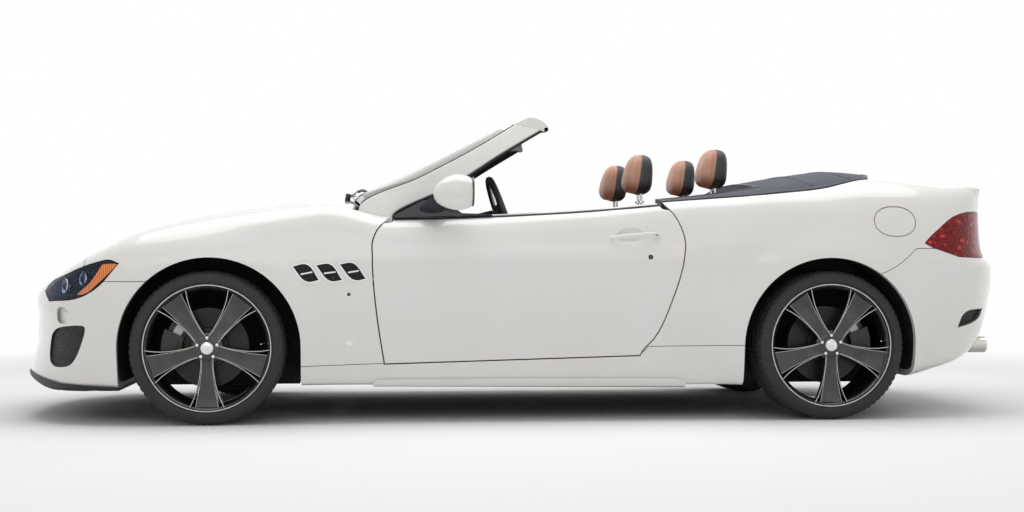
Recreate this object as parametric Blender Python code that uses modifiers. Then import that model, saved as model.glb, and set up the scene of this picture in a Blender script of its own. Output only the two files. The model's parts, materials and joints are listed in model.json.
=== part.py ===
"""Open two-door, four-seat touring car with its soft top folded away, in metres, nose towards -X, +Z up.

The origin is on the ground, midway along the car. Places along the car are axle shares: -1 is the nose,
0 the front axle, 1 the rear axle and 2 the tail. Heights are shares of the belt height, and places across
the car are shares of its half width. The left side of the car is the -Y side.
"""

import math

import bmesh
import bpy
import numpy as np
from mathutils import Matrix, Vector

# Driving dimensions
WHEELBASE = 2.942
FRONT_OVERHANG = 0.945
REAR_OVERHANG = 1.043
HALF_WIDTH = 0.9575
BELT_HEIGHT = 1.0
FRONT_TRACK = 1.59
REAR_TRACK = 1.57

# Panels and gaps
PANEL = 0.03
SHUT_GAP = 0.006
SEAT_GAP = 0.0003
OVERRUN = 0.4

# Wheels and tyres
TYRE_RADIUS = 0.356
RIM_SEAT_RADIUS = 0.2794
RIM_LIP_RADIUS = 0.296
RIM_WALL = 0.012
FRONT_TYRE_WIDTH = 0.255
REAR_TYRE_WIDTH = 0.295
TREAD_ROUND = 0.03
SPOKE_COUNT = 5
SPOKE_HUB_WIDTH = 0.062
SPOKE_RIM_WIDTH = 0.13
SPOKE_DEPTH = 0.034
HUB_RADIUS = 0.08
SPINDLE_RADIUS = 0.03
BORE_CLEARANCE = 0.0009
BORE_SIDES = 12
DISC_RADIUS = 0.19
DISC_THICKNESS = 0.03
DISC_CLEARANCE = 0.006
WHEEL_STEPS = 20

# Wheel arches
ARCH_CLEARANCE = 0.062
ARCH_OFFSET_X = 0.01
LINER_STEP = 0.024
LINER_WALL = 0.012
ARCH_FOOT_INSET = 0.03
ARCH_STEPS = 20
FLARE = 0.018
FLARE_REACH = 0.16

# Windscreen
PILLAR_WALL = 0.052
SCREEN_BOW = 0.06
GLASS = 0.006

# Cabin
DOOR_THICKNESS_PLANE_SHARE = 0.8355
DOOR_LEAF_PLANE_SHARE = 0.886
DOOR_REBATE = 0.02
DOOR_GAP = 0.0065
SEAT_WIDTH = 0.50
FLOOR_THICKNESS = 0.03
STEERING_WHEEL_RADIUS = 0.185
STEERING_RIM_RADIUS = 0.016


FRONT_AXLE_X = FRONT_OVERHANG - (FRONT_OVERHANG + WHEELBASE + REAR_OVERHANG) / 2
REAR_AXLE_X = FRONT_AXLE_X + WHEELBASE
ARCH_RADIUS = TYRE_RADIUS + ARCH_CLEARANCE
SIDES = (("left", -1), ("right", 1))


def along(share):
    """Place along the car of an axle share."""
    if share < 0:
        return FRONT_AXLE_X + share * FRONT_OVERHANG
    if share > 1:
        return REAR_AXLE_X + (share - 1) * REAR_OVERHANG
    return FRONT_AXLE_X + share * WHEELBASE


def up(share):
    return share * BELT_HEIGHT


def out(share):
    return share * HALF_WIDTH


# Body form, each table with its columns named
# axle share, half-width share at the waist
PLAN_SHARES = (
    (-1.0, 0.84), (-0.72, 0.914), (-0.402, 0.950), (0.0, 0.958), (0.177, 0.960), (0.415, 0.956),
    (0.687, 0.961), (0.857, 0.975), (1.0, 0.982), (1.458, 0.972), (1.746, 0.935), (2.0, 0.87),
)
# height share, inset of the side as a share of the half width
INSET_SHARES = (
    (0.1, 0.06), (0.17, 0.045), (0.3, 0.021), (0.45, 0.006), (0.6, 0.0), (0.74, 0.0),
    (0.8, 0.008), (0.9, 0.032), (1.0, 0.064), (1.1, 0.104), (1.2, 0.155),
)
# axle share, height share of the crown on the centre line, and beside it at the fender or belt
TOP_SHARES = (
    (-1.0, 0.575, 0.545), (-0.878, 0.655, 0.625), (-0.72, 0.74, 0.712), (-0.561, 0.82, 0.795),
    (-0.317, 0.915, 0.902), (0.0, 0.99, 0.972), (0.068, 1.028, 1.0), (0.184, 1.07, 1.03),
    (0.235, 1.078, 1.0), (0.287, 1.08, 0.968), (0.461, 1.08, 0.984), (0.622, 1.08, 1.014),
    (0.726, 1.09, 1.045), (0.823, 1.12, 1.074), (0.914, 1.175, 1.104), (1.0, 1.218, 1.126),
    (1.19, 1.24, 1.149), (1.343, 1.222, 1.147), (1.477, 1.188, 1.138), (1.65, 1.165, 1.125),
    (1.842, 1.155, 1.13), (2.0, 1.15, 1.125),
)
# axle share, height share of the underside
BOTTOM_SHARES = (
    (-1.0, 0.215), (-0.783, 0.16), (-0.413, 0.168), (0.143, 0.179), (0.85, 0.167), (1.401, 0.2),
    (1.573, 0.2), (1.765, 0.27), (1.842, 0.33), (2.0, 0.5),
)
# height share, distance of the nose behind the front end as a share of the front overhang
NOSE_SHARES = (
    (0.15, 0.04), (0.215, 0.0), (0.26, 0.004), (0.31, 0.022), (0.4, 0.042), (0.5, 0.04),
    (0.58, 0.024), (0.62, 0.022), (0.7, 0.03), (1.2, 0.06),
)
# height share, distance of the tail ahead of the rear end as a share of the rear overhang
TAIL_SHARES = (
    (0.15, 0.42), (0.2, 0.36), (0.27, 0.17), (0.32, 0.105), (0.37, 0.07), (0.43, 0.047),
    (0.52, 0.025), (0.69, 0.0), (0.73, 0.003), (0.78, 0.04), (0.83, 0.058), (1.01, 0.068),
    (1.1, 0.055), (1.13, 0.03), (1.2, 0.02),
)
# axle share, rounding between side and top as a share of the half width
SHOULDER_SHARES = (
    (-1.0, 0.1), (-0.5, 0.2), (0.0, 0.26), (0.25, 0.14), (0.7, 0.12), (1.2, 0.2), (2.0, 0.12)
)
NOSE_BOW_SHARE = 0.42
TAIL_BOW_SHARE = 0.31
NOSE_BOW_POWER = 2.6
TAIL_BOW_POWER = 2.34
CORNER_ROUND_SHARE = 0.26
SILL_ROUND_SHARE = 0.05
SIDE_TOP_SHARE = 0.84
SPINE_HEIGHT_SHARE = 0.5
SPINE_END_SHARES = (-0.3, 1.42)

# Outlines seen from the side: axle share, height share
DOOR_SHARES = (
    (0.287, 1.3), (0.287, 0.964), (0.266, 0.903), (0.258, 0.842), (0.258, 0.784), (0.259, 0.695),
    (0.266, 0.487), (0.277, 0.281), (0.685, 0.314), (0.689, 0.335), (0.708, 0.397), (0.735, 0.564),
    (0.756, 0.778), (0.758, 0.849), (0.745, 0.968), (0.725, 1.045), (0.725, 1.3),
)
SILL_SHARES = (
    (0.05, 0.08), (0.05, 0.265), (0.144, 0.269), (0.277, 0.281), (0.685, 0.314), (0.692, 0.352),
    (0.92, 0.362), (0.92, 0.08),
)
FENDER_SHARES = (
    (-0.2, 0.269), (-0.2, 0.663), (-0.598, 0.663), (-0.598, 1.4), (0.287, 1.4), (0.287, 0.964),
    (0.266, 0.903),
    (0.258, 0.842), (0.258, 0.784), (0.259, 0.695), (0.266, 0.487), (0.277, 0.281), (0.144, 0.269),
)
FRONT_BUMPER_SHARES = (
    (-1.3, 0.05), (-0.2, 0.05), (-0.2, 0.663), (-0.598, 0.663), (-0.598, 1.4), (-1.3, 1.4)
)
QUARTER_SHARES = (
    (0.692, 0.352), (0.708, 0.397), (0.735, 0.564), (0.756, 0.778), (0.758, 0.849), (0.745, 0.968),
    (0.725, 1.045), (0.725, 1.4), (2.2, 1.4), (2.2, 0.82), (1.403, 0.82), (1.33, 0.755), (1.255, 0.711),
    (1.1, 0.66), (0.92, 0.362),
)
REAR_BUMPER_SHARES = (
    (1.2, 0.05), (1.2, 0.69), (1.255, 0.711), (1.33, 0.755), (1.403, 0.82), (2.2, 0.82), (2.2, 0.05),
)
HEADLAMP_SHARES = (
    (-0.833, 0.616), (-0.8, 0.569), (-0.604, 0.593), (-0.539, 0.626), (-0.42, 0.746), (-0.465, 0.762),
    (-0.53, 0.752), (-0.592, 0.735), (-0.707, 0.692), (-0.805, 0.651),
)
TAILLAMP_SHARES = (
    (1.444, 0.845), (1.48, 0.824), (2.2, 0.83), (2.2, 1.012), (1.813, 1.009), (1.6, 0.973), (1.52, 0.915),
    (1.464, 0.867),
)
# Openings behind each front wheel, and the pocket in each side of the rear bumper
VENT_SHARES = (
    ((0.1315, 0.733), (0.1533, 0.745), (0.175, 0.668), (0.156, 0.659)),
    ((0.168, 0.739), (0.1897, 0.746), (0.211, 0.668), (0.1927, 0.662)),
    ((0.2046, 0.743), (0.2254, 0.751), (0.248, 0.674), (0.2308, 0.666)),
)
REAR_VENT_SHARES = ((1.606, 0.437), (1.635, 0.5), (1.774, 0.529), (1.75, 0.485), (1.703, 0.461))
INTAKE_SHARES = ((-0.79, 0.445), (-0.6, 0.465), (-0.585, 0.44), (-0.63, 0.32), (-0.67, 0.27), (-0.8, 0.26))
# Outlines seen from above, one half: axle share, half-width share
BONNET_SHARES = (
    (-0.794, 0.0), (-0.762, 0.313), (-0.688, 0.522), (-0.593, 0.648), (-0.402, 0.726), (-0.085, 0.752),
    (0.109, 0.742), (0.231, 0.742), (0.211, 0.418), (0.201, 0.0),
)
COWL_SHARES = ((0.201, 0.0), (0.211, 0.418), (0.231, 0.742), (0.237, 0.742), (0.223, 0.4), (0.2165, 0.0))
TONNEAU_SHARES = (
    (0.897, 0.0), (0.897, 0.66), (0.727, 0.66), (0.727, 0.832), (0.907, 0.842), (1.08, 0.8), (1.244, 0.735),
    (1.345, 0.39), (1.395, 0.0),
)
BOOT_SHARES = ((1.416, 0.0), (1.416, 0.7), (2.3, 0.7), (2.3, 0.0))
BOOT_LOWER_SHARE = 0.82
LAMP_INNER_SHARE = 0.52
HINGE_ZONE_SHARES = (0.226, 0.292)


def through(pairs):
    """Smooth curve through (place, value) pairs, flat where the values turn."""
    places, values = np.array(pairs, float).T
    steps = np.diff(places)
    slopes = np.diff(values) / steps
    before, after = slopes[:-1], slopes[1:]
    same_way = before * after > 0
    total = np.where(same_way, before + after, 1)
    tangents = np.concatenate([slopes[:1], np.where(same_way, 2 * before * after / total, 0), slopes[-1:]])

    def value(place):
        place = np.clip(place, places[0], places[-1])
        index = np.clip(np.searchsorted(places, place) - 1, 0, len(steps) - 1)
        t = (place - places[index]) / steps[index]
        rise = values[index + 1] - values[index]
        start, end = tangents[index] * steps[index], tangents[index + 1] * steps[index]
        return values[index] + t * (start + t * (3 * rise - 2 * start - end + t * (start + end - 2 * rise)))

    return value


def lengthwise(table, column, size):
    return through([(along(row[0]), row[column] * size) for row in table])


PLAN = lengthwise(PLAN_SHARES, 1, HALF_WIDTH)
CENTRE_TOP = lengthwise(TOP_SHARES, 1, BELT_HEIGHT)
SIDE_TOP = lengthwise(TOP_SHARES, 2, BELT_HEIGHT)
UNDERSIDE = lengthwise(BOTTOM_SHARES, 1, BELT_HEIGHT)
SHOULDER = lengthwise(SHOULDER_SHARES, 1, HALF_WIDTH)
INSET = through([(up(height), out(inset)) for height, inset in INSET_SHARES])
NOSE = through([(up(height), along(-1) + back * FRONT_OVERHANG) for height, back in NOSE_SHARES])
TAIL = through([(up(height), along(2) - ahead * REAR_OVERHANG) for height, ahead in TAIL_SHARES])


def smooth_max(first, second, width):
    """Larger of two values, blended where they differ by less than the width."""
    overlap = np.maximum(1 - np.abs(first - second) / width, 0)
    return np.maximum(first, second) + width * overlap**3 / 6


def arch_centres():
    return ((FRONT_AXLE_X + ARCH_OFFSET_X, TYRE_RADIUS), (REAR_AXLE_X - ARCH_OFFSET_X, TYRE_RADIUS))


def half_width(x, z):
    """Half width of the body, swelled round each wheel arch."""
    width = PLAN(x) - INSET(z)
    for centre_x, centre_z in arch_centres():
        away = np.hypot(x - centre_x, z - centre_z) - ARCH_RADIUS
        swell = np.clip(1 - away / FLARE_REACH, 0, 1)
        width = width + FLARE * swell**2 * (3 - 2 * swell)
    return width


def top_height(x, y):
    centre = CENTRE_TOP(x)
    return centre + (SIDE_TOP(x) - centre) * (np.abs(y) / out(SIDE_TOP_SHARE)) ** 2


def body_field(x, y, z):
    """Roughly the distance outside the body: under zero within it."""
    across = np.abs(y) / HALF_WIDTH
    nose = NOSE(z) + NOSE_BOW_SHARE * FRONT_OVERHANG * across**NOSE_BOW_POWER - x
    tail = x - TAIL(z) + TAIL_BOW_SHARE * REAR_OVERHANG * across**TAIL_BOW_POWER
    round_plan = smooth_max(np.abs(y) - half_width(x, z), np.maximum(nose, tail), out(CORNER_ROUND_SHARE))
    shoulder = smooth_max(round_plan, z - top_height(x, y), SHOULDER(x))
    return smooth_max(shoulder, UNDERSIDE(x) - z, out(SILL_ROUND_SHARE))


# Rays that meet the body: angles about its spine in degrees, from straight down to straight up
GIRTH_DEGREES = (-90, -55, -27, -23, -19, -10, 0, 9, 16, 21, 25, 29, 34, 42, 56, 73, 90)
NOSE_FAN_DEGREES = (90, 78, 67, 57, 48, 40, 31, 21, 10)
TAIL_FAN_DEGREES = (90, 80, 71, 63, 57, 52, 48, 44, 40, 36, 32, 28, 22, 15, 8)
SPINE_STATIONS = 26
SEARCH_REACH = 1.3
SEARCH_STEPS = 40


def body_rays(coarseness):
    """Origins and directions of rings of rays: a fan at each end and rings along the spine."""
    girth = np.radians(GIRTH_DEGREES[:-1:coarseness] + GIRTH_DEGREES[-1:])
    girth = np.concatenate([girth, (math.pi - girth)[::-1][1:-1]])
    first, last = (along(share) for share in SPINE_END_SHARES)
    nose_fan, tail_fan = (
        np.radians(leans[:-1:coarseness] + leans[-1:]) for leans in (NOSE_FAN_DEGREES, TAIL_FAN_DEGREES)
    )
    starts = [(first, -angle) for angle in nose_fan]
    starts += [(x, 0) for x in np.linspace(first, last, SPINE_STATIONS // coarseness)]
    starts += [(last, angle) for angle in tail_fan[::-1]]
    origins, directions = [], []
    for x, lean in starts:
        count = len(girth)
        origins.append(
            np.column_stack([np.full(count, x), np.zeros(count), np.full(count, up(SPINE_HEIGHT_SHARE))])
        )
        flat = math.cos(lean)
        directions.append(
            np.column_stack([np.full(count, math.sin(lean)), -flat * np.cos(girth), flat * np.sin(girth)])
        )
    return np.array(origins), np.array(directions)


def body_rings(depth, coarseness):
    """Rings of points on the surface that lies the given depth inside the body."""
    origins, directions = body_rays(coarseness)
    near = np.zeros(origins.shape[:2])
    far = np.full(origins.shape[:2], SEARCH_REACH * (FRONT_OVERHANG + HALF_WIDTH))
    for _ in range(SEARCH_STEPS):
        middle = (near + far) / 2
        points = origins + directions * middle[..., None]
        inside = body_field(points[..., 0], points[..., 1], points[..., 2]) < -depth
        near = np.where(inside, middle, near)
        far = np.where(inside, far, middle)
    return origins + directions * near[..., None]


def ring_faces(bm, rings, turned):
    """Faces between closed rings, with a tip at both ends."""
    tips = [bm.verts.new(rings[0].mean(axis=0)), bm.verts.new(rings[-1].mean(axis=0))]
    loops = [[bm.verts.new(point) for point in ring] for ring in rings[1:-1]]
    faces = []
    for i, ahead in enumerate(loops[0]):
        faces.append((tips[0], loops[0][i - 1], ahead))
        faces.append((tips[1], loops[-1][i], loops[-1][i - 1]))
    for one, two in zip(loops, loops[1:]):
        faces += [(one[i], one[i - 1], two[i - 1]) for i in range(len(one))]
        faces += [(one[i], two[i - 1], two[i]) for i in range(len(one))]
    for face in faces:
        bm.faces.new(face[::-1] if turned else face)


# Scene, collections and materials
for old in list(bpy.data.objects):
    bpy.data.objects.remove(old, do_unlink=True)
scene = bpy.context.scene
parts = bpy.data.collections.new("open_touring_car")
cutters = bpy.data.collections.new("cutters")
scene.collection.children.link(parts)
scene.collection.children.link(cutters)

# name: colour, roughness, metallic
FINISHES = {
    "white_paint": ((0.85, 0.84, 0.81), 0.22, 0.1),
    "black_trim": ((0.012, 0.012, 0.014), 0.45, 0.0),
    "navy_canvas": ((0.012, 0.016, 0.035), 0.75, 0.0),
    "glass": ((0.35, 0.33, 0.28), 0.05, 0.0),
    "dark_lens": ((0.03, 0.04, 0.06), 0.12, 0.0),
    "red_lens": ((0.25, 0.008, 0.01), 0.12, 0.0),
    "black_leather": ((0.018, 0.018, 0.02), 0.5, 0.0),
    "tan_leather": ((0.42, 0.2, 0.11), 0.5, 0.0),
    "gunmetal": ((0.07, 0.068, 0.066), 0.32, 0.8),
    "tyre_rubber": ((0.016, 0.016, 0.017), 0.8, 0.0),
    "cast_metal": ((0.3, 0.3, 0.31), 0.45, 0.9),
    "steel": ((0.55, 0.55, 0.56), 0.3, 1.0),
    "underbody": ((0.03, 0.03, 0.032), 0.8, 0.0),
}


def material(name):
    found = bpy.data.materials.get(name)
    if found:
        return found
    colour, roughness, metallic = FINISHES[name]
    made = bpy.data.materials.new(name)
    made.use_nodes = True
    shader = made.node_tree.nodes["Principled BSDF"]
    shader.inputs["Base Color"].default_value = (*colour, 1)
    shader.inputs["Roughness"].default_value = roughness
    shader.inputs["Metallic"].default_value = metallic
    return made


def part(name, mesh, finish):
    """Sub-part of the car."""
    obj = bpy.data.objects.new(name, mesh)
    parts.objects.link(obj)
    mesh.materials.clear()
    mesh.materials.append(material(finish))
    return obj


def cutter(name, mesh):
    """Helper that shapes sub-parts and isn't one itself."""
    obj = bpy.data.objects.new(name, mesh)
    cutters.objects.link(obj)
    obj.hide_render = True
    obj.display_type = "WIRE"
    return obj


def boolean(obj, other, operation):
    """Cut, join or trim. The exact solver loses the near-level faces of these faceted forms."""
    modifier = obj.modifiers.new(other.name, "BOOLEAN")
    modifier.operation = operation
    modifier.object = other
    modifier.solver = "MANIFOLD"
    return obj


def cut(obj, *others):
    for other in others:
        boolean(obj, other, "DIFFERENCE")
    return obj


def join(obj, *others):
    for other in others:
        boolean(obj, other, "UNION")
    return obj


def within(obj, other):
    return boolean(obj, other, "INTERSECT")


def finish_mesh(bm, name):
    bmesh.ops.recalc_face_normals(bm, faces=bm.faces)
    mesh = bpy.data.meshes.new(name)
    bm.to_mesh(mesh)
    bm.free()
    return mesh


def box_mesh(name, low, high):
    bm = bmesh.new()
    bmesh.ops.create_cube(bm, size=1)
    low, high = Vector(low), Vector(high)
    bmesh.ops.scale(bm, vec=high - low, verts=bm.verts)
    bmesh.ops.translate(bm, vec=(low + high) / 2, verts=bm.verts)
    return finish_mesh(bm, name)


def cylinder_mesh(name, centre, axis, radius, length, steps, end_radius=None):
    """Cylinder or cone about a centre point along an axis."""
    bm = bmesh.new()
    bmesh.ops.create_cone(
        bm, cap_ends=True, segments=steps, radius1=radius,
        radius2=radius if end_radius is None else end_radius,
        depth=length,
    )
    turn = Vector((0, 0, 1)).rotation_difference(Vector(axis)).to_matrix().to_4x4()
    bmesh.ops.transform(bm, matrix=Matrix.Translation(centre) @ turn, verts=bm.verts)
    return finish_mesh(bm, name)


def loft_mesh(name, sections):
    """Closed solid through equal loops of points, capped at both ends."""
    bm = bmesh.new()
    loops = [[bm.verts.new(point) for point in section] for section in sections]
    for one, two in zip(loops, loops[1:]):
        for i in range(len(one)):
            bm.faces.new((one[i - 1], one[i], two[i], two[i - 1]))
    bm.faces.new(loops[0])
    bm.faces.new(loops[-1])
    return finish_mesh(bm, name)


def side_prism(name, points, low_y, high_y):
    """Solid whose outline is seen from the side, as (x, z) points."""
    return loft_mesh(name, [[(x, y, z) for x, z in points] for y in (low_y, high_y)])


def top_prism(name, points, low_z, high_z):
    """Solid whose outline is seen from above, as (x, y) points."""
    return loft_mesh(name, [[(x, y, z) for x, y in points] for z in (low_z, high_z)])


def side_points(shares):
    return [(along(place), up(height)) for place, height in shares]


def top_points(shares):
    """Both halves of an outline that is given for one side."""
    half = [(along(place), out(across)) for place, across in shares]
    return half + [(x, -y) for x, y in half[::-1] if y > 0]


def grown(points, distance):
    """Outline moved outwards by a distance, or inwards where it is negative."""
    area = sum(a[0] * b[1] - b[0] * a[1] for a, b in zip(points, points[1:] + points[:1]))
    side = distance if area > 0 else -distance
    moved = []
    for before, here, after in zip(points[-1:] + points[:-1], points, points[1:] + points[:1]):
        back = Vector((here[0] - before[0], here[1] - before[1])).normalized()
        ahead = Vector((after[0] - here[0], after[1] - here[1])).normalized()
        normal = Vector((back.y + ahead.y, -back.x - ahead.x)).normalized()
        reach = side / max(normal.dot(Vector((ahead.y, -ahead.x))), 0.3)
        moved.append((here[0] + normal.x * reach, here[1] + normal.y * reach))
    return moved


def span(sign, inner, outer):
    """Low and high y of a stretch on one side of the car."""
    return sorted((sign * inner, sign * outer))


# Body surface: the skin, its inside and the core that fits under it
HALF_GAP = SHUT_GAP / 2
FAR_SIDE = HALF_WIDTH + OVERRUN


def body_mesh(name, *layers):
    """Closed surfaces at the given depths, the second one turned to face inwards."""
    bm = bmesh.new()
    for number, (depth, coarseness) in enumerate(layers):
        ring_faces(bm, body_rings(depth, coarseness), number % 2 == 1)
    mesh = bpy.data.meshes.new(name)
    bm.to_mesh(mesh)
    bm.free()
    return mesh


skin_mesh = body_mesh("skin", (0, 1), (PANEL, 2))
solid_mesh = body_mesh("solid", (0, 1))
core = cutter("core", body_mesh("core", (PANEL + SEAT_GAP, 2)))

def arch_outline(centre_x, centre_z, foot_inset):
    """Arch opening: an arc over the wheel with its sides running down past the ground."""
    turns = [math.pi * i / ARCH_STEPS for i in range(ARCH_STEPS + 1)]
    arc = [
        (centre_x + ARCH_RADIUS * math.cos(turn), centre_z + ARCH_RADIUS * math.sin(turn)) for turn in turns
    ]
    return arc + [(centre_x - ARCH_RADIUS + foot_inset, -OVERRUN), (centre_x + ARCH_RADIUS, -OVERRUN)]


front_arch, rear_arch = [
    cutter(f"{end}_arch", side_prism(end, arch_outline(x, z, inset), -FAR_SIDE, FAR_SIDE))
    for end, (x, z), inset in zip(("front", "rear"), arch_centres(), (ARCH_FOOT_INSET, 0))
]


def side_cutters(name, points, inner):
    """Side-view outline on both sides of the car, beyond a width."""
    return [
        cutter(f"{name}_{side}", side_prism(name, points, *span(sign, inner, FAR_SIDE))) for side,
        sign in SIDES
    ]


def panel(name, finish, keep, *removed):
    """Piece of the skin inside one outline."""
    obj = part(name, skin_mesh.copy(), finish)
    within(obj, keep)
    return cut(obj, *removed)


door_points = side_points(DOOR_SHARES)
sill_points = side_points(SILL_SHARES)
bonnet_points = top_points(BONNET_SHARES)
cowl_points = top_points(COWL_SHARES)
tonneau_points = top_points(TONNEAU_SHARES)
boot_points = top_points(BOOT_SHARES)
CUT_INNER_SHARE = 0.5
CUT_INNER = out(CUT_INNER_SHARE)
ROOF_SHARE = 1.6
ROOF = up(ROOF_SHARE)
NOSE_LOW_SHARE = 0.6
NOSE_LOW = up(NOSE_LOW_SHARE)
DECK_LOW_SHARE = 0.95
DECK_LOW = up(DECK_LOW_SHARE)
# The bonnet swings up and forwards as it opens, so its front edge leans forwards by this much of its rise
BONNET_LEAN = 0.4
BONNET_LEAN_SHARES = (-0.59, -0.085)
BONNET_EDGE_SHARE = 0.7


def bonnet_prism(name, margin):
    """Bonnet outline from above, its front edge leaning forwards as it rises, its twisted sides split alike."""
    full, none = (along(share) for share in BONNET_LEAN_SHARES)
    sections = []
    for z in (NOSE_LOW, ROOF):
        rise = z - up(BONNET_EDGE_SHARE)
        sections.append(
            [(x - BONNET_LEAN * rise * min(max((none - x) / (none - full), 0), 1), y, z)
             for x, y in grown(bonnet_points, margin)]
        )
    bm = bmesh.new()
    bm.from_mesh(loft_mesh(name, sections))
    bmesh.ops.triangulate(bm, faces=bm.faces, quad_method="FIXED")
    return finish_mesh(bm, name)


headlamp_points = side_points(HEADLAMP_SHARES)
taillamp_points = side_points(TAILLAMP_SHARES)
LAMP_INNER = out(LAMP_INNER_SHARE)
headlamp_gaps = side_cutters("headlamp_gap", grown(headlamp_points, SEAT_GAP), LAMP_INNER - SEAT_GAP)
taillamp_gaps = side_cutters("taillamp_gap", grown(taillamp_points, SEAT_GAP), LAMP_INNER - SEAT_GAP)
taillamp_shut_gaps = side_cutters(
    "taillamp_shut_gap", grown(taillamp_points, SHUT_GAP), LAMP_INNER - SHUT_GAP
)
bonnet_gap = cutter("bonnet_gap", bonnet_prism("bonnet_gap", HALF_GAP))
cowl_gap = cutter(
    "cowl_gap", top_prism("cowl_gap", grown(cowl_points, SEAT_GAP - HALF_GAP), NOSE_LOW, ROOF)
)
tonneau_gap = cutter(
    "tonneau_gap", top_prism("tonneau_gap", grown(tonneau_points, HALF_GAP), DECK_LOW, ROOF)
)
boot_gap = cutter(
    "boot_gap", top_prism("boot_gap", grown(boot_points, HALF_GAP), up(BOOT_LOWER_SHARE) - HALF_GAP, ROOF)
)
hinge_zone = cutter(
    "hinge_zone",
    box_mesh(
        "hinge_zone",
        (along(HINGE_ZONE_SHARES[0]), -out(DOOR_THICKNESS_PLANE_SHARE), NOSE_LOW),
        (along(HINGE_ZONE_SHARES[1]), out(DOOR_THICKNESS_PLANE_SHARE), ROOF),
    ),
)

cabin_gap = cutter(
    "cabin_gap",
    top_prism(
        "cabin_gap",
        top_points(((0.0, 0.0), (0.0, DOOR_THICKNESS_PLANE_SHARE), (0.727, DOOR_THICKNESS_PLANE_SHARE),
                    (0.727, 0.7), (0.94, 0.7), (0.94, 0.0))),
        NOSE_LOW,
        ROOF,
    ),
)

# Nose: bumper with its lip, intakes and grille opening
bumper_keep = cutter(
    "front_bumper_keep",
    side_prism(
        "front_bumper_keep", grown(side_points(FRONT_BUMPER_SHARES), -SEAT_GAP / 2), -FAR_SIDE, FAR_SIDE
    ),
)
INTAKE_INNER_SHARE = 0.6
GRILLE_HALF_WIDTH = 0.42
GRILLE_HALF_HEIGHT = 0.125
GRILLE_HEIGHT = 0.475
GRILLE_DEPTH = 0.02
GRILLE_RECESS = 0.05
GRILLE_WIDTH_SHARE = GRILLE_HALF_WIDTH / HALF_WIDTH
GRILLE_BAR = 0.008
GRILLE_BARS = 9
GRILLE_FRAME = 0.018


def oval(half_wide, half_high, power, count):
    """Points of a flattened oval."""
    points = []
    for i in range(count):
        angle = 2 * math.pi * i / count
        c, s = math.cos(angle), math.sin(angle)
        points.append(
            (
                half_wide * math.copysign(abs(c) ** (2 / power), c),
                half_high * math.copysign(abs(s) ** (2 / power), s)
            )
        )
    return points


def nose_prism(name, half_wide, half_high, low_x, high_x):
    loop = oval(half_wide, half_high, 3, 20)
    return loft_mesh(name, [[(x, y, GRILLE_HEIGHT + z) for y, z in loop] for x in (low_x, high_x)])


FRONT_END = along(-1)
grille_hole = cutter(
    "grille_hole",
    nose_prism(
        "grille_hole", GRILLE_HALF_WIDTH, GRILLE_HALF_HEIGHT, FRONT_END - OVERRUN, FRONT_END + OVERRUN
    ),
)
intakes = side_cutters("intake", side_points(INTAKE_SHARES), out(INTAKE_INNER_SHARE))
front_bumper = panel(
    "front_bumper", "white_paint", bumper_keep, front_arch, grille_hole, bonnet_gap,
    *headlamp_gaps, *intakes,
)

# Grille: a rim round the opening and upright bars, bowed like the nose
plate_front = [
    (FRONT_END + GRILLE_RECESS + NOSE_BOW_SHARE * FRONT_OVERHANG * abs(share * GRILLE_WIDTH_SHARE) ** NOSE_BOW_POWER,
     share * GRILLE_HALF_WIDTH)
    for share in np.linspace(-1, 1, GRILLE_BARS)
]
plate_back = [(x + GRILLE_DEPTH, y) for x, y in plate_front[::-1]]
grille = part("grille", top_prism("grille", plate_front + plate_back, 0, BELT_HEIGHT), "black_trim")
grille_keep = cutter(
    "grille_keep",
    nose_prism(
        "grille_keep", GRILLE_HALF_WIDTH - SEAT_GAP, GRILLE_HALF_HEIGHT - SEAT_GAP, FRONT_END - OVERRUN,
        FRONT_END + OVERRUN,
    ),
)
within(grille, grille_keep)
bar_pitch = 2 * (GRILLE_HALF_WIDTH - GRILLE_FRAME) / GRILLE_BARS
slots = bmesh.new()
for i in range(GRILLE_BARS):
    middle = (i - (GRILLE_BARS - 1) / 2) * bar_pitch
    reach = (abs(middle) + bar_pitch / 2) / GRILLE_HALF_WIDTH
    high = GRILLE_HALF_HEIGHT * (1 - reach**3) ** (1 / 3) - GRILLE_FRAME
    made = bmesh.ops.create_cube(slots, size=1)["verts"]
    bmesh.ops.scale(slots, vec=(2 * OVERRUN, bar_pitch - GRILLE_BAR, 2 * high), verts=made)
    bmesh.ops.translate(slots, vec=(FRONT_END, middle, GRILLE_HEIGHT), verts=made)
grille_slots = cutter("grille_slots", finish_mesh(slots, "grille_slots"))
cut(grille, grille_slots)

# Bonnet, cowl, tonneau cover and boot lid
bonnet_keep = cutter("bonnet_keep", bonnet_prism("bonnet_keep", -HALF_GAP))
panel("bonnet", "white_paint", bonnet_keep)
cowl_keep = cutter("cowl_keep", top_prism("cowl_keep", grown(cowl_points, -HALF_GAP), NOSE_LOW, ROOF))
panel("cowl_panel", "black_trim", cowl_keep)
tonneau_keep = cutter(
    "tonneau_keep", top_prism("tonneau_keep", grown(tonneau_points, -HALF_GAP), DECK_LOW, ROOF)
)
panel("tonneau_cover", "navy_canvas", tonneau_keep)
boot_keep = cutter(
    "boot_keep", top_prism(
        "boot_keep", grown(boot_points, -HALF_GAP), up(BOOT_LOWER_SHARE) + HALF_GAP, ROOF
    )
)
panel("boot_lid", "white_paint", boot_keep, *taillamp_shut_gaps)

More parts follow.
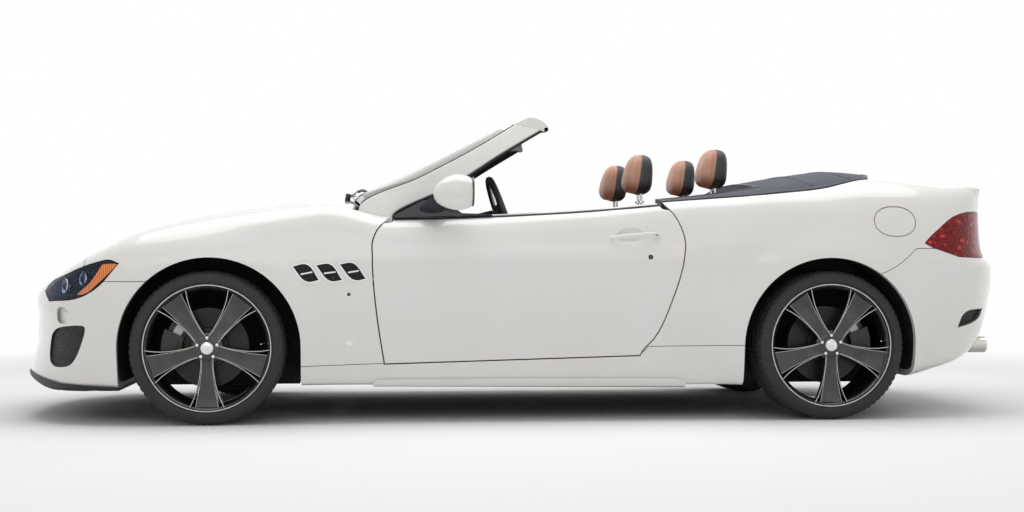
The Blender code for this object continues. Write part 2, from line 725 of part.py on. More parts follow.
# Tail: bumper
rear_bumper_keep = cutter(
    "rear_bumper_keep",
    side_prism(
        "rear_bumper_keep", grown(side_points(REAR_BUMPER_SHARES), -SEAT_GAP / 2), -FAR_SIDE, FAR_SIDE
    ),
)
REAR_VENT_DEPTH = 0.02
under_vent = cutter("under_vent", body_mesh("under_vent", (REAR_VENT_DEPTH, 1)))
rear_vents = side_cutters("rear_vent", side_points(REAR_VENT_SHARES), out(INTAKE_INNER_SHARE))
for pocket in rear_vents:
    cut(pocket, under_vent)
panel("rear_bumper", "white_paint", rear_bumper_keep, rear_arch, *taillamp_gaps, *rear_vents)

# Sides: fenders, doors, sills, quarters and lamps
DOOR_PLANE = out(DOOR_THICKNESS_PLANE_SHARE)
DOOR_LEAF_PLANE = out(DOOR_LEAF_PLANE_SHARE)
SILL_INNER_SHARE = 0.731
SILL_INNER = out(SILL_INNER_SHARE)
FLAP_CENTRE_SHARES = (1.31, 0.95)
FLAP_LENGTH = 0.205
FLAP_HEIGHT = 0.145
FLAP_INNER_SHARE = 0.8
fender_points = side_points(FENDER_SHARES)
quarter_points = side_points(QUARTER_SHARES)
flap_x, flap_z = along(FLAP_CENTRE_SHARES[0]), up(FLAP_CENTRE_SHARES[1])
flap_loop = [(flap_x + x, flap_z + z) for x, z in oval(FLAP_LENGTH / 2, FLAP_HEIGHT / 2, 2.2, 24)]

HANDLE_CENTRE_SHARES = (0.677, 0.876)
HANDLE_LENGTH = 0.235
HANDLE_HEIGHT = 0.03
HANDLE_PROUD = 0.034
HANDLE_GRIP_GAP = 0.018
HANDLE_GRIP_SHARE = 0.62
vent_loops = [side_points(shares) for shares in VENT_SHARES]
handle_x, handle_z = along(HANDLE_CENTRE_SHARES[0]), up(HANDLE_CENTRE_SHARES[1])
handle_outer = cutter("handle_outer", body_mesh("handle_outer", (-HANDLE_PROUD, 1)))
handle_inner = cutter("handle_inner", body_mesh("handle_inner", (-HANDLE_GRIP_GAP, 1)))

for side, sign in SIDES:
    vents = [
        cutter(f"vent_{side}_{number}", side_prism(side, loop, *span(sign, DOOR_PLANE, FAR_SIDE)))
        for number, loop in enumerate(vent_loops)
    ]
    fender_keep = cutter(
        f"fender_keep_{side}", side_prism(
            side, grown(fender_points, -SEAT_GAP / 2), *span(sign, CUT_INNER, FAR_SIDE)
        )
    )
    door_gap = cutter(
        f"door_gap_{side}", side_prism(side, grown(door_points, DOOR_GAP), *span(sign, CUT_INNER, FAR_SIDE))
    )
    headlamp_gap = headlamp_gaps[sign > 0]
    taillamp_gap = taillamp_gaps[sign > 0]
    panel(
        f"fender_{side}", "white_paint", fender_keep, front_arch, bonnet_gap, cowl_gap,
        hinge_zone, door_gap, headlamp_gap, *vents,
    )
    door_keep = cutter(
        f"door_keep_{side}",
        loft_mesh(
            side,
            [[(x, sign * y, z) for x, z in grown(door_points, -inset)]
             for y, inset in (
                 (DOOR_PLANE, DOOR_REBATE), (DOOR_LEAF_PLANE, DOOR_REBATE), (DOOR_LEAF_PLANE + SHUT_GAP, 0),
                 (FAR_SIDE, 0),
             )],
        ),
    )
    door = within(part(f"door_{side}", solid_mesh.copy(), "white_paint"), door_keep)
    bar_loop, grip_loop = (
        [
            (handle_x + x, handle_z + z) for x,
            z in oval(HANDLE_LENGTH / 2 * reach, HANDLE_HEIGHT / 2 * rise, 2.4, 12)
        ]
        for reach, rise in ((1, 1), (HANDLE_GRIP_SHARE, 2))
    )
    bar = cutter(f"handle_{side}", side_prism("bar", bar_loop, *span(sign, DOOR_LEAF_PLANE, FAR_SIDE)))
    grip = cutter(f"grip_{side}", side_prism("grip", grip_loop, *span(sign, DOOR_LEAF_PLANE, FAR_SIDE)))
    cut(within(bar, handle_outer), within(grip, handle_inner))
    join(door, bar)

    sill_keep = cutter(
        f"sill_keep_{side}", side_prism(
            side, grown(sill_points, -SEAT_GAP / 2), *span(sign, SILL_INNER, FAR_SIDE)
        )
    )
    sill = within(part(f"sill_{side}", solid_mesh.copy(), "white_paint"), sill_keep)
    cut(sill, door_gap, front_arch, rear_arch)

    quarter_keep = cutter(
        f"quarter_keep_{side}", side_prism(
            side, grown(quarter_points, -SEAT_GAP / 2), *span(sign, SEAT_GAP / 2, FAR_SIDE)
        )
    )
    quarter = panel(
        f"quarter_{side}", "white_paint", quarter_keep, rear_arch, tonneau_gap, boot_gap,
        cabin_gap, door_gap, taillamp_gap,
    )

    for lamp, points, finish in (
        ("headlamp", headlamp_points, "dark_lens"), ("taillamp", taillamp_points, "red_lens")
    ):
        lamp_keep = cutter(
            f"{lamp}_keep_{side}", side_prism(lamp, points, *span(sign, LAMP_INNER, FAR_SIDE))
        )
        panel(f"{lamp}_{side}", finish, lamp_keep)

# Upright posts of the body side, behind each door's edges
PILLAR_TOP_SHARE = 0.93
PILLAR_TOP = up(PILLAR_TOP_SHARE)
POST_OUTER = DOOR_PLANE - SEAT_GAP
HINGE_POST_SHARES = (0.226, 0.2915)
LATCH_POST_SHARES = (0.722, 0.772)
POST_FOOT_SHARE = 0.22
POST_FOOT = up(POST_FOOT_SHARE)
PAD_LENGTH = 0.09
PAD_WIDTH = 0.06
PAD_HEIGHT = 0.012
PAD_SHARES = (0.22, 0.78)
PAD_OUT_SHARE = 0.86

for side, sign in SIDES:
    sill = bpy.data.objects[f"sill_{side}"]
    for name, (start, end) in (("hinge_post", HINGE_POST_SHARES), ("latch_post", LATCH_POST_SHARES)):
        low_y, high_y = span(sign, SILL_INNER, POST_OUTER)
        post = box_mesh(name, (along(start), low_y, POST_FOOT), (along(end), high_y, PILLAR_TOP))
        join(sill, cutter(f"{name}_{side}", post))
    for number, share in enumerate(PAD_SHARES):
        middle, foot = along(share), UNDERSIDE(along(share))
        pad = box_mesh(
            "pad",
            (middle - PAD_LENGTH / 2, sign * out(PAD_OUT_SHARE) - PAD_WIDTH / 2, foot - PAD_HEIGHT),
            (middle + PAD_LENGTH / 2, sign * out(PAD_OUT_SHARE) + PAD_WIDTH / 2, foot + PAD_LENGTH),
        )
        join(sill, cutter(f"jacking_pad_{side}_{number}", pad))

# Windscreen: pillars that lean in towards the header, and curved glass between them
PILLAR_FOOT_OUT_SHARE = 0.8345
PILLAR_HEAD_OUT_SHARE = 0.66
# share of the pillar's length: axle share and height share of its upper edge, then of its lower edge
PILLAR_SHARES = (
    (
        0.0, 0.231, 0.9303, 0.290, 0.9303
    ), (0.12, 0.237, 1.020, 0.290, 0.968), (0.4, 0.334, 1.160, 0.385, 1.118),
    (0.7, 0.425, 1.305, 0.468, 1.277), (1.0, 0.492, 1.428, 0.536, 1.398),
)
# axle share and height share round the header's section
HEADER_SHARES = (
    (0.482, 1.405), (0.503, 1.447), (0.518, 1.462), (0.536, 1.45), (0.549, 1.42), (0.546, 1.396),
    (0.5, 1.392),
)
HEADER_BOW = 0.05
HEADER_CROWN = 0.02
HEADER_STEPS = 9
PILLAR_UPRIGHT_SHARE = 0.1


def pillar_mesh(sign, margin):
    """Pillar on one side, grown inwards and rearwards by a margin."""
    sections = []
    for share, front, front_up, rear, rear_up in PILLAR_SHARES:
        lean = max(share - PILLAR_UPRIGHT_SHARE, 0) / (1 - PILLAR_UPRIGHT_SHARE)
        outer = out(PILLAR_FOOT_OUT_SHARE + (PILLAR_HEAD_OUT_SHARE - PILLAR_FOOT_OUT_SHARE) * lean)
        outline = (
            (along(front) - margin, up(front_up) + margin), (along(rear) + margin, up(rear_up) - margin)
        )
        sections.append(
            [(x, sign * outer, z) for x, z in outline]
            + [(x, sign * (outer - PILLAR_WALL - margin), z) for x, z in outline[::-1]]
        )
    return loft_mesh("pillar", sections)


def header_mesh(margin):
    sections = []
    outline = grown([(along(place), up(height)) for place, height in HEADER_SHARES], margin)
    for share in np.linspace(-1, 1, HEADER_STEPS):
        lift = 1 - share**2
        y = share * (out(PILLAR_HEAD_OUT_SHARE) + margin)
        sections.append([(x - HEADER_BOW * lift, y, z + HEADER_CROWN * lift) for x, z in outline])
    return loft_mesh("header", sections)


frame = part("windscreen_frame", pillar_mesh(-1, 0), "white_paint")
join(frame, cutter("pillar_right", pillar_mesh(1, 0)), cutter("header", header_mesh(0)))

# share up the glass: axle share, height share, half-width share of its edge, bow forwards and bow upwards
GLASS_SHARES = (
    (0.242, 1.015, 0.79, 1.0, 0.9), (0.33, 1.142, 0.74, 0.95, 0.7), (0.42, 1.288, 0.68, 0.9, 0.5),
    (0.494, 1.412, 0.62, 0.84, 0.36),
)
GLASS_STEPS = 10
glass_sections = []
for place, height, edge, ahead, above in GLASS_SHARES:
    section = []
    for across in np.linspace(-1, 1, GLASS_STEPS):
        swell = SCREEN_BOW * (1 - across**2)
        section.append((along(place) - swell * ahead, across * out(edge), up(height) + swell * above))
    glass_sections.append(section + [(x + GLASS / 2, y, z - GLASS) for x, y, z in section[::-1]])
screen = part("windscreen_glass", loft_mesh("windscreen_glass", glass_sections), "glass")
cut(
    screen,
    cutter("pillar_gap_left", pillar_mesh(-1, SEAT_GAP)),
    cutter("pillar_gap_right", pillar_mesh(1, SEAT_GAP)),
    cutter("header_gap", header_mesh(SEAT_GAP)),
)

# Underbody: floor, bulkheads, rails and stops, trimmed to fit under the skin
FLOOR_LOW_SHARE = 0.2
FLOOR_LOW = up(FLOOR_LOW_SHARE)
FLOOR_TOP = FLOOR_LOW + FLOOR_THICKNESS
WALL = 0.028
CABIN_HALF = SILL_INNER - SEAT_GAP
RAIL_OUTER_SHARE = 0.46
RAIL_WIDTH = 0.07
RAIL_SHARES = (0.42, 0.54)
BOOT_FLOOR_SHARE = 0.5
REAR_HALF_SHARE = 0.62
FIREWALL_SHARE = 0.2225
REAR_WALL_SHARE = 0.905
FLOOR_END_SHARE = 0.835
NOSE_BEAM_SHARE = -0.66
TAIL_BEAM_SHARE = 1.76
FIREWALL_X = along(FIREWALL_SHARE)
REAR_WALL_X = along(REAR_WALL_SHARE)
FLOOR_END_X = along(FLOOR_END_SHARE)
NOSE_BEAM_X = along(NOSE_BEAM_SHARE)
TAIL_BEAM_X = along(TAIL_BEAM_SHARE)
BOOT_FLOOR = up(BOOT_FLOOR_SHARE)
rear_half = out(REAR_HALF_SHARE)
rail_outer = out(RAIL_OUTER_SHARE)
rail_low, rail_high = (up(share) for share in RAIL_SHARES)
FIREWALL_CUT_SHARE = 1.3
TOP = up(FIREWALL_CUT_SHARE)
TAIL_PANEL_TOP_SHARE = 0.78
NOSE_BEAM_SHARES = (0.24, 0.6)

# name: low corner, high corner
underbody_boxes = {
    "floor": ((FIREWALL_X, -CABIN_HALF, FLOOR_LOW), (FLOOR_END_X, CABIN_HALF, FLOOR_TOP)),
    "rear_floor": ((FLOOR_END_X - WALL, -rear_half, FLOOR_LOW), (REAR_WALL_X + WALL, rear_half, FLOOR_TOP)),
    "firewall": ((FIREWALL_X, -CABIN_HALF, FLOOR_LOW), (FIREWALL_X + WALL, CABIN_HALF, TOP)),
    "rear_bulkhead": ((REAR_WALL_X, -rear_half, FLOOR_LOW), (REAR_WALL_X + WALL, rear_half, TOP)),
    "boot_floor": (
        (REAR_WALL_X, -rear_half, BOOT_FLOOR), (TAIL_BEAM_X + WALL, rear_half, BOOT_FLOOR + WALL)
    ),
    "tail_panel": (
        (TAIL_BEAM_X, -rear_half, rail_low), (TAIL_BEAM_X + WALL, rear_half, up(TAIL_PANEL_TOP_SHARE))
    ),
    "nose_beam": (
        (NOSE_BEAM_X, -rear_half, up(NOSE_BEAM_SHARES[0])),
        (NOSE_BEAM_X + WALL, rear_half, up(NOSE_BEAM_SHARES[1]))
    ),
}
for side, sign in SIDES:
    low_y, high_y = span(sign, rail_outer - RAIL_WIDTH, rail_outer)
    underbody_boxes[f"front_rail_{side}"] = (
        (NOSE_BEAM_X, low_y, rail_low), (FIREWALL_X + WALL, high_y, rail_high)
    )
    underbody_boxes[f"bonnet_stop_{side}"] = (
        (NOSE_BEAM_X, low_y, rail_low), (NOSE_BEAM_X + 2 * WALL, high_y, TOP)
    )
    low_y, high_y = span(sign, rear_half - RAIL_WIDTH, rear_half)
    underbody_boxes[f"boot_stop_{side}"] = (
        (TAIL_BEAM_X, low_y, BOOT_FLOOR), (TAIL_BEAM_X + WALL, high_y, TOP)
    )
    underbody_boxes[f"rear_rail_{side}"] = (
        (REAR_WALL_X, low_y, rail_low), (TAIL_BEAM_X + WALL, high_y, rail_high)
    )
floor_name, *other_names = underbody_boxes
floor_pan = part("floor_pan", box_mesh(floor_name, *underbody_boxes[floor_name]), "underbody")
join(floor_pan, *(cutter(name, box_mesh(name, *underbody_boxes[name])) for name in other_names))
within(floor_pan, core)

# Wheelhouse liners
sill_gaps = side_cutters("sill_gap", grown(sill_points, SEAT_GAP), SILL_INNER - SEAT_GAP)
LINER_RADIUS = ARCH_RADIUS + LINER_STEP
LINER_LOW_SHARE = 0.3
LINER_LOW = up(LINER_LOW_SHARE)
LINER_STEPS = 12


def liner_mesh(centre_x, centre_z, inner, outer):
    turns = [math.pi * i / LINER_STEPS for i in range(LINER_STEPS + 1)]
    arcs = [
        [(centre_x + radius * math.cos(turn), centre_z + radius * math.sin(turn)) for turn in turns]
        for radius in (LINER_RADIUS, LINER_RADIUS + LINER_WALL)
    ]
    inner_arc, outer_arc = arcs
    ends = [[(outer_arc[i][0], LINER_LOW), (inner_arc[i][0], LINER_LOW)] for i in (-1, 0)]
    outline = outer_arc + ends[0] + inner_arc[::-1] + ends[1][::-1]
    return side_prism("liner", outline, inner, outer)


for end, (x, z), inner_share in zip(("front", "rear"), arch_centres(), (0.5, REAR_HALF_SHARE + 0.003)):
    for side, sign in SIDES:
        liner = part(
            f"{end}_liner_{side}", liner_mesh(x, z, *span(sign, out(inner_share), FAR_SIDE)), "black_trim"
        )
        cut(within(liner, core), sill_gaps[sign > 0])

# Cabin: dashboard with the column shroud, console and seats
DASH_SHARES = (
    (0.245, 0.74), (0.245, 0.985), (0.3, 1.005), (0.355, 0.99), (0.39, 0.95), (0.395, 0.88), (0.375, 0.72),
    (0.34, 0.62), (0.28, 0.62),
)
STEERING_SIDE_SHARE = -0.386
STEERING_CENTRE_SHARES = (0.4765, 0.998)
STEERING_LEAN = math.radians(19)
COLUMN_RADIUS = 0.045
COLUMN_LENGTH = 0.3
STEERING_HUB_RADIUS = 0.055
STEERING_HUB_DEPTH = 0.05
STEERING_SPOKE_WIDTH = 0.03
STEERING_SPOKE_DEPTH = 0.014
steering_centre = Vector(
    (along(STEERING_CENTRE_SHARES[0]), out(STEERING_SIDE_SHARE), up(STEERING_CENTRE_SHARES[1]))
)
steering_axis = Vector((math.cos(STEERING_LEAN), 0, math.sin(STEERING_LEAN)))

dashboard = part(
    "dashboard", side_prism("dashboard", side_points(DASH_SHARES), -CABIN_HALF, CABIN_HALF), "black_leather"
)
shroud_end = steering_centre - steering_axis * (STEERING_HUB_DEPTH / 2 + SEAT_GAP)
shroud = cylinder_mesh(
    "shroud", shroud_end - steering_axis * COLUMN_LENGTH / 2, steering_axis, COLUMN_RADIUS, COLUMN_LENGTH,
    12
)
join(dashboard, cutter("column_shroud", shroud))

CONSOLE_SHARES = (
    (0.345, 0.0), (0.345, 0.61), (0.37, 0.615), (0.41, 0.57), (0.5, 0.55), (0.56, 0.58), (0.65, 0.6),
    (0.66, 0.56), (0.66, 0.0),
)
CONSOLE_HALF = 0.1
console_points = [(along(place), max(up(height), FLOOR_TOP + SEAT_GAP)) for place, height in CONSOLE_SHARES]
part(
    "centre_console", side_prism("centre_console", console_points, -CONSOLE_HALF, CONSOLE_HALF),
    "black_leather"
)

# Seat sections seen from the side, from the front of the cushion round to the back: axle share, height share
FRONT_SEAT_SHARES = (
    (0.475, 0.36), (0.465, 0.49), (0.485, 0.53), (0.55, 0.5), (0.63, 0.485), (0.665, 0.56), (0.69, 0.8),
    (0.705, 1.04), (0.72, 1.07), (0.738, 1.05), (0.735, 0.86), (0.712, 0.58), (0.68, 0.4), (0.66, 0.36),
)
REAR_SEAT_SHARES = (
    (0.755, 0.34), (0.745, 0.5), (0.765, 0.54), (0.82, 0.5), (0.838, 0.56), (0.845, 0.8), (0.848, 1.04),
    (0.856, 1.08), (0.8995, 1.07), (0.902, 0.8), (0.902, 0.34),
)
# centre axle share, centre height share, half length, half height, half width of each headrest
FRONT_HEADREST = (0.7005, 1.205, 0.078, 0.1, 0.125)
REAR_HEADREST = (0.842, 1.23, 0.078, 0.1, 0.125)
HEADREST_OUT_SHARE = 0.386
HEADREST_LEAN = math.radians(-9)
POST_RADIUS = 0.008
POST_SPACING = 0.07
SEAT_BASE_SHARES = (0.49, 0.66)
SEAT_BASE_HALF = 0.2
SEAT_BASE_TOP_SHARE = 0.42
REAR_BASE_SHARES = (0.77, 0.9)
POST_FOOT_SHARES = {"front": 0.95, "rear": 1.0}
POST_BACK_SHARE = 0.6
SEAT_BEVEL = 0.03
HEADREST_BEVEL = 0.045
rear_seat_half = rear_half - SHUT_GAP


def bevelled(obj, width, segments=1):
    modifier = obj.modifiers.new("rounding", "BEVEL")
    modifier.width = width
    modifier.segments = segments
    modifier.limit_method = "ANGLE"
    return obj


def headrest(name, sign, shares, foot_share):
    """Headrest block on two posts that reach down into the seat back."""
    place, height, half_long, half_high, half_wide = shares
    centre = Vector((along(place), sign * out(HEADREST_OUT_SHARE), up(height)))
    pieces = [
        cutter(
            f"{name}_pad",
            box_mesh("pad", (-half_long, -half_wide, -half_high), (half_long, half_wide, half_high))
        )
    ]
    pieces[0].location = centre
    pieces[0].rotation_euler = (0, -HEADREST_LEAN, 0)
    bevelled(pieces[0], HEADREST_BEVEL)
    foot = up(foot_share)
    for number in (-1, 1):
        post = cylinder_mesh(
            "post", (
                along(foot_place(place, shares)), centre.y + number * POST_SPACING, (foot + centre.z) / 2
            ), (0, 0, 1),
            POST_RADIUS, centre.z - foot, 8,
        )
        pieces.append(cutter(f"{name}_post_{number + 1}", post))
    return pieces


def foot_place(place, shares):
    """Place along the car where a headrest's posts stand: behind its middle, over the seat back."""
    return place + POST_BACK_SHARE * shares[2] / WHEELBASE


for side, sign in SIDES:
    seat_points = side_points(FRONT_SEAT_SHARES)
    middle = sign * out(HEADREST_OUT_SHARE)
    seat = part(
        f"front_seat_{side}",
        side_prism("seat", seat_points, middle - SEAT_WIDTH / 2, middle + SEAT_WIDTH / 2),
        "black_leather",
    )
    bevelled(seat, SEAT_BEVEL)
    base = box_mesh(
        "base", (along(SEAT_BASE_SHARES[0]), middle - SEAT_BASE_HALF, FLOOR_TOP + SEAT_GAP),
        (along(SEAT_BASE_SHARES[1]), middle + SEAT_BASE_HALF, up(SEAT_BASE_TOP_SHARE)),
    )
    join(
        seat, cutter(f"seat_base_{side}", base),
        *headrest(f"front_headrest_{side}", sign, FRONT_HEADREST, POST_FOOT_SHARES["front"])
    )
rear_seats = part(
    "rear_seats", side_prism(
        "rear_seats", side_points(REAR_SEAT_SHARES), -rear_seat_half, rear_seat_half
    ), "black_leather"
)
bevelled(rear_seats, SEAT_BEVEL)
rear_base = box_mesh(
    "rear_base", (along(REAR_BASE_SHARES[0]), -rear_seat_half, FLOOR_TOP + SEAT_GAP), (
        along(REAR_BASE_SHARES[1]), rear_seat_half, up(SEAT_BASE_TOP_SHARE)
    )
)
join(rear_seats, cutter("rear_base", rear_base))
for side, sign in SIDES:
    join(rear_seats, *headrest(f"rear_headrest_{side}", sign, REAR_HEADREST, POST_FOOT_SHARES["rear"]))

# Steering wheel: rim, hub and three spokes
def torus_mesh(radius, thickness, steps, sides):
    bm = bmesh.new()
    rings = []
    for i in range(steps):
        turn = 2 * math.pi * i / steps
        ring = []
        for j in range(sides):
            lean = 2 * math.pi * j / sides
            reach = radius + thickness * math.cos(lean)
            ring.append(
                bm.verts.new((reach * math.cos(turn), reach * math.sin(turn), thickness * math.sin(lean)))
            )
        rings.append(ring)
    for i in range(steps):
        for j in range(sides):
            bm.faces.new((rings[i - 1][j - 1], rings[i][j - 1], rings[i][j], rings[i - 1][j]))
    return finish_mesh(bm, "torus")


steering_turn = Vector((0, 0, 1)).rotation_difference(steering_axis).to_matrix().to_4x4()
steering_matrix = Matrix.Translation(steering_centre) @ steering_turn
steering_wheel = part(
    "steering_wheel", torus_mesh(STEERING_WHEEL_RADIUS, STEERING_RIM_RADIUS, 16, 5), "black_leather"
)
steering_wheel.matrix_world = steering_matrix
hub = cutter(
    "steering_hub",
    cylinder_mesh("hub", (0, 0, 0), (0, 0, 1), STEERING_HUB_RADIUS, STEERING_HUB_DEPTH, 12)
)
hub.matrix_world = steering_matrix
join(steering_wheel, hub)
for number, degrees in enumerate((0, 180, 270)):
    spoke = cutter(
        f"steering_spoke_{number}",
        box_mesh(
            "spoke", (0, -STEERING_SPOKE_WIDTH / 2, -STEERING_SPOKE_DEPTH / 2),
            (STEERING_WHEEL_RADIUS, STEERING_SPOKE_WIDTH / 2, STEERING_SPOKE_DEPTH / 2),
        ),
    )
    spoke.matrix_world = steering_matrix @ Matrix.Rotation(math.radians(degrees + 90), 4, "Z")
    join(steering_wheel, spoke)

# Engine block behind the front axle
ENGINE_SHARES = (0.03, 0.195)
ENGINE_HALF = 0.29
ENGINE_HEIGHT_SHARES = (0.32, 0.86)
engine = part(
    "engine",
    box_mesh(
        "engine", (along(ENGINE_SHARES[0]), -ENGINE_HALF, up(ENGINE_HEIGHT_SHARES[0])),
        (along(ENGINE_SHARES[1]), ENGINE_HALF, up(ENGINE_HEIGHT_SHARES[1])),
    ),
    "cast_metal",
)
MOUNT_LENGTH = 0.06
for side, sign in SIDES:
    low_y, high_y = span(sign, ENGINE_HALF - WALL, rail_outer - RAIL_WIDTH - SEAT_GAP)
    mount_x = along(sum(ENGINE_SHARES) / 2)
    bracket = box_mesh(
        "bracket", (mount_x - MOUNT_LENGTH, low_y, rail_low + WALL), (
            mount_x + MOUNT_LENGTH, high_y, rail_high - WALL
        )
    )
    join(engine, cutter(f"engine_bracket_{side}", bracket))

# Axles. Places across a wheel are measured outwards from its own middle
FRONT_WHEEL_Y = FRONT_TRACK / 2
REAR_WHEEL_Y = REAR_TRACK / 2
KINGPIN_INSET = 0.05
KINGPIN_RADIUS = 0.028
KINGPIN_SHARES = (0.2, 0.53)
kingpin_y = FRONT_WHEEL_Y - KINGPIN_INSET
ARM_HALF = 0.03
ARM_THICKNESS = 0.028
ARM_SHARES = (0.245, 0.385)
BEAM_HALF = 0.09
BEAM_LOW_SHARE = 0.2
BEAM_LOW = up(BEAM_LOW_SHARE)
BEAM_HEIGHT = 0.09
SPINDLE_END = 0.09
CALIPER_RADII = (0.12, 0.2)
CALIPER_HALF_ANGLE = math.radians(24)
CALIPER_WALL = 0.03
STRUT_HALF = 0.022


def axle(name, axle_x, post_y, beam_half_width, finish):
    """Cross-beam with upper and lower arms that reach to the wheel carriers."""
    beam = part(
        name,
        box_mesh(
            "beam", (axle_x - BEAM_HALF, -beam_half_width, BEAM_LOW),
            (axle_x + BEAM_HALF, beam_half_width, BEAM_LOW + BEAM_HEIGHT),
        ),
        finish,
    )
    for side, sign in SIDES:
        low_y, high_y = span(sign, beam_half_width - RAIL_WIDTH, beam_half_width)
        tower = box_mesh(
            "tower", (axle_x - ARM_HALF, low_y, BEAM_LOW),
            (axle_x + ARM_HALF, high_y, rail_low - SEAT_GAP),
        )
        pieces = [cutter(f"{name}_tower_{side}", tower)]
        for number, share in enumerate(ARM_SHARES):
            low_y, high_y = span(sign, beam_half_width - ARM_HALF, post_y - KINGPIN_RADIUS - SEAT_GAP)
            arm = box_mesh(
                "arm", (axle_x - ARM_HALF / 2, low_y, up(share)), (
                    axle_x + ARM_HALF / 2, high_y, up(share) + ARM_THICKNESS
                )
            )
            pieces.append(cutter(f"{name}_arm_{side}_{number}", arm))
        join(beam, *pieces)
    return beam


def carrier_pieces(name, sign, axle_x, wheel_y, post_y, caliper_side):
    """Wheel carrier: upright, boss, spindle and the caliper that straddles the disc."""
    post_low, post_high = (up(share) for share in KINGPIN_SHARES)
    post = cylinder_mesh(
        "post", (
            axle_x, sign * post_y, (post_low + post_high) / 2
        ), (0, 0, 1), KINGPIN_RADIUS, post_high - post_low, BORE_SIDES
    )
    start, end = sign * post_y, sign * (wheel_y + SPINDLE_END)
    spindle = cylinder_mesh(
        "spindle", (
            axle_x, (start + end) / 2, TYRE_RADIUS
        ), (0, 1, 0), SPINDLE_RADIUS, abs(end - start), BORE_SIDES
    )
    inner_face, outer_face = wheel_y - DISC_CLEARANCE, wheel_y + DISC_THICKNESS + DISC_CLEARANCE
    angles = np.linspace(-CALIPER_HALF_ANGLE, CALIPER_HALF_ANGLE, 5)

    def sector(low_radius, high_radius, low_y, high_y, label):
        loop = [(low_radius, angle) for angle in angles] + [(high_radius, angle) for angle in angles[::-1]]
        points = [
            (axle_x + caliper_side * radius * math.cos(angle), TYRE_RADIUS + radius * math.sin(angle))
            for radius, angle in loop
        ]
        return cutter(
            f"{name}_{label}", side_prism("sector", points, *sorted((sign * low_y, sign * high_y)))
        )

    low_radius, high_radius = CALIPER_RADII
    caliper = sector(
        low_radius, high_radius + CALIPER_WALL / 2, inner_face - CALIPER_WALL, outer_face + CALIPER_WALL,
        "caliper"
    )
    slot_centre = (axle_x, sign * (inner_face + outer_face) / 2, TYRE_RADIUS)
    slot = cylinder_mesh("slot", slot_centre, (0, 1, 0), high_radius, outer_face - inner_face, WHEEL_STEPS)
    cut(caliper, cutter(f"{name}_caliper_slot", slot))
    strut_ends = sorted(
        (axle_x - caliper_side * KINGPIN_RADIUS / 3, axle_x + caliper_side * (low_radius + CALIPER_WALL))
    )
    strut_inner, strut_outer = span(sign, inner_face - CALIPER_WALL * 3 / 4, inner_face - CALIPER_WALL / 4)
    strut = box_mesh(
        "strut", (strut_ends[0], strut_inner, TYRE_RADIUS - STRUT_HALF),
        (strut_ends[1], strut_outer, TYRE_RADIUS + STRUT_HALF),
    )
    return post, [cutter(f"{name}_spindle", spindle), cutter(f"{name}_strut", strut), caliper]


axle("front_subframe", FRONT_AXLE_X, kingpin_y, rail_outer, "cast_metal")
for side, sign in SIDES:
    post, pieces = carrier_pieces(f"front_{side}", sign, FRONT_AXLE_X, FRONT_WHEEL_Y, kingpin_y, -1)
    join(part(f"knuckle_{side}", post, "steel"), *pieces)
axle("rear_axle", REAR_AXLE_X, REAR_WHEEL_Y - KINGPIN_INSET, rear_half, "cast_metal")
for side, sign in SIDES:
    post, pieces = carrier_pieces(
        f"rear_{side}", sign, REAR_AXLE_X, REAR_WHEEL_Y, REAR_WHEEL_Y - KINGPIN_INSET, 1
    )
    join(part(f"rear_upright_{side}", post, "steel"), *pieces)

# Wheels: barrel, five spokes, hub and brake disc, made once for each axle
def turned_mesh(name, profile, steps, phase):
    """Ring turned about its own Z axis from a closed (radius, height) profile."""
    bm = bmesh.new()
    verts = [bm.verts.new((r * math.cos(phase), r * math.sin(phase), z)) for r, z in profile]
    for i in range(len(verts)):
        bm.edges.new((verts[i - 1], verts[i]))
    mesh = bpy.data.meshes.new(name)
    bm.to_mesh(mesh)
    bm.free()
    guide = cutter(name, mesh)
    screw = guide.modifiers.new("turn", "SCREW")
    screw.steps = screw.render_steps = steps
    screw.use_merge_vertices = True
    screw.merge_threshold = 1e-5
    bpy.context.view_layer.update()
    made = bpy.data.meshes.new_from_object(guide.evaluated_get(bpy.context.evaluated_depsgraph_get()))
    bm = bmesh.new()
    bm.from_mesh(made)
    bmesh.ops.remove_doubles(bm, verts=bm.verts, dist=1e-6)
    bpy.data.objects.remove(guide)
    return finish_mesh(bm, name)


RIM_MARGIN = 0.012
SPOKE_INSET = 0.001
LIP_WIDTH = 0.012
BEAD_WIDTH = 0.02
HUB_BACK = 0.03
FACE_DROP = 0.004
flat_phase = math.pi / WHEEL_STEPS
flat_reach = 1 / math.cos(flat_phase)


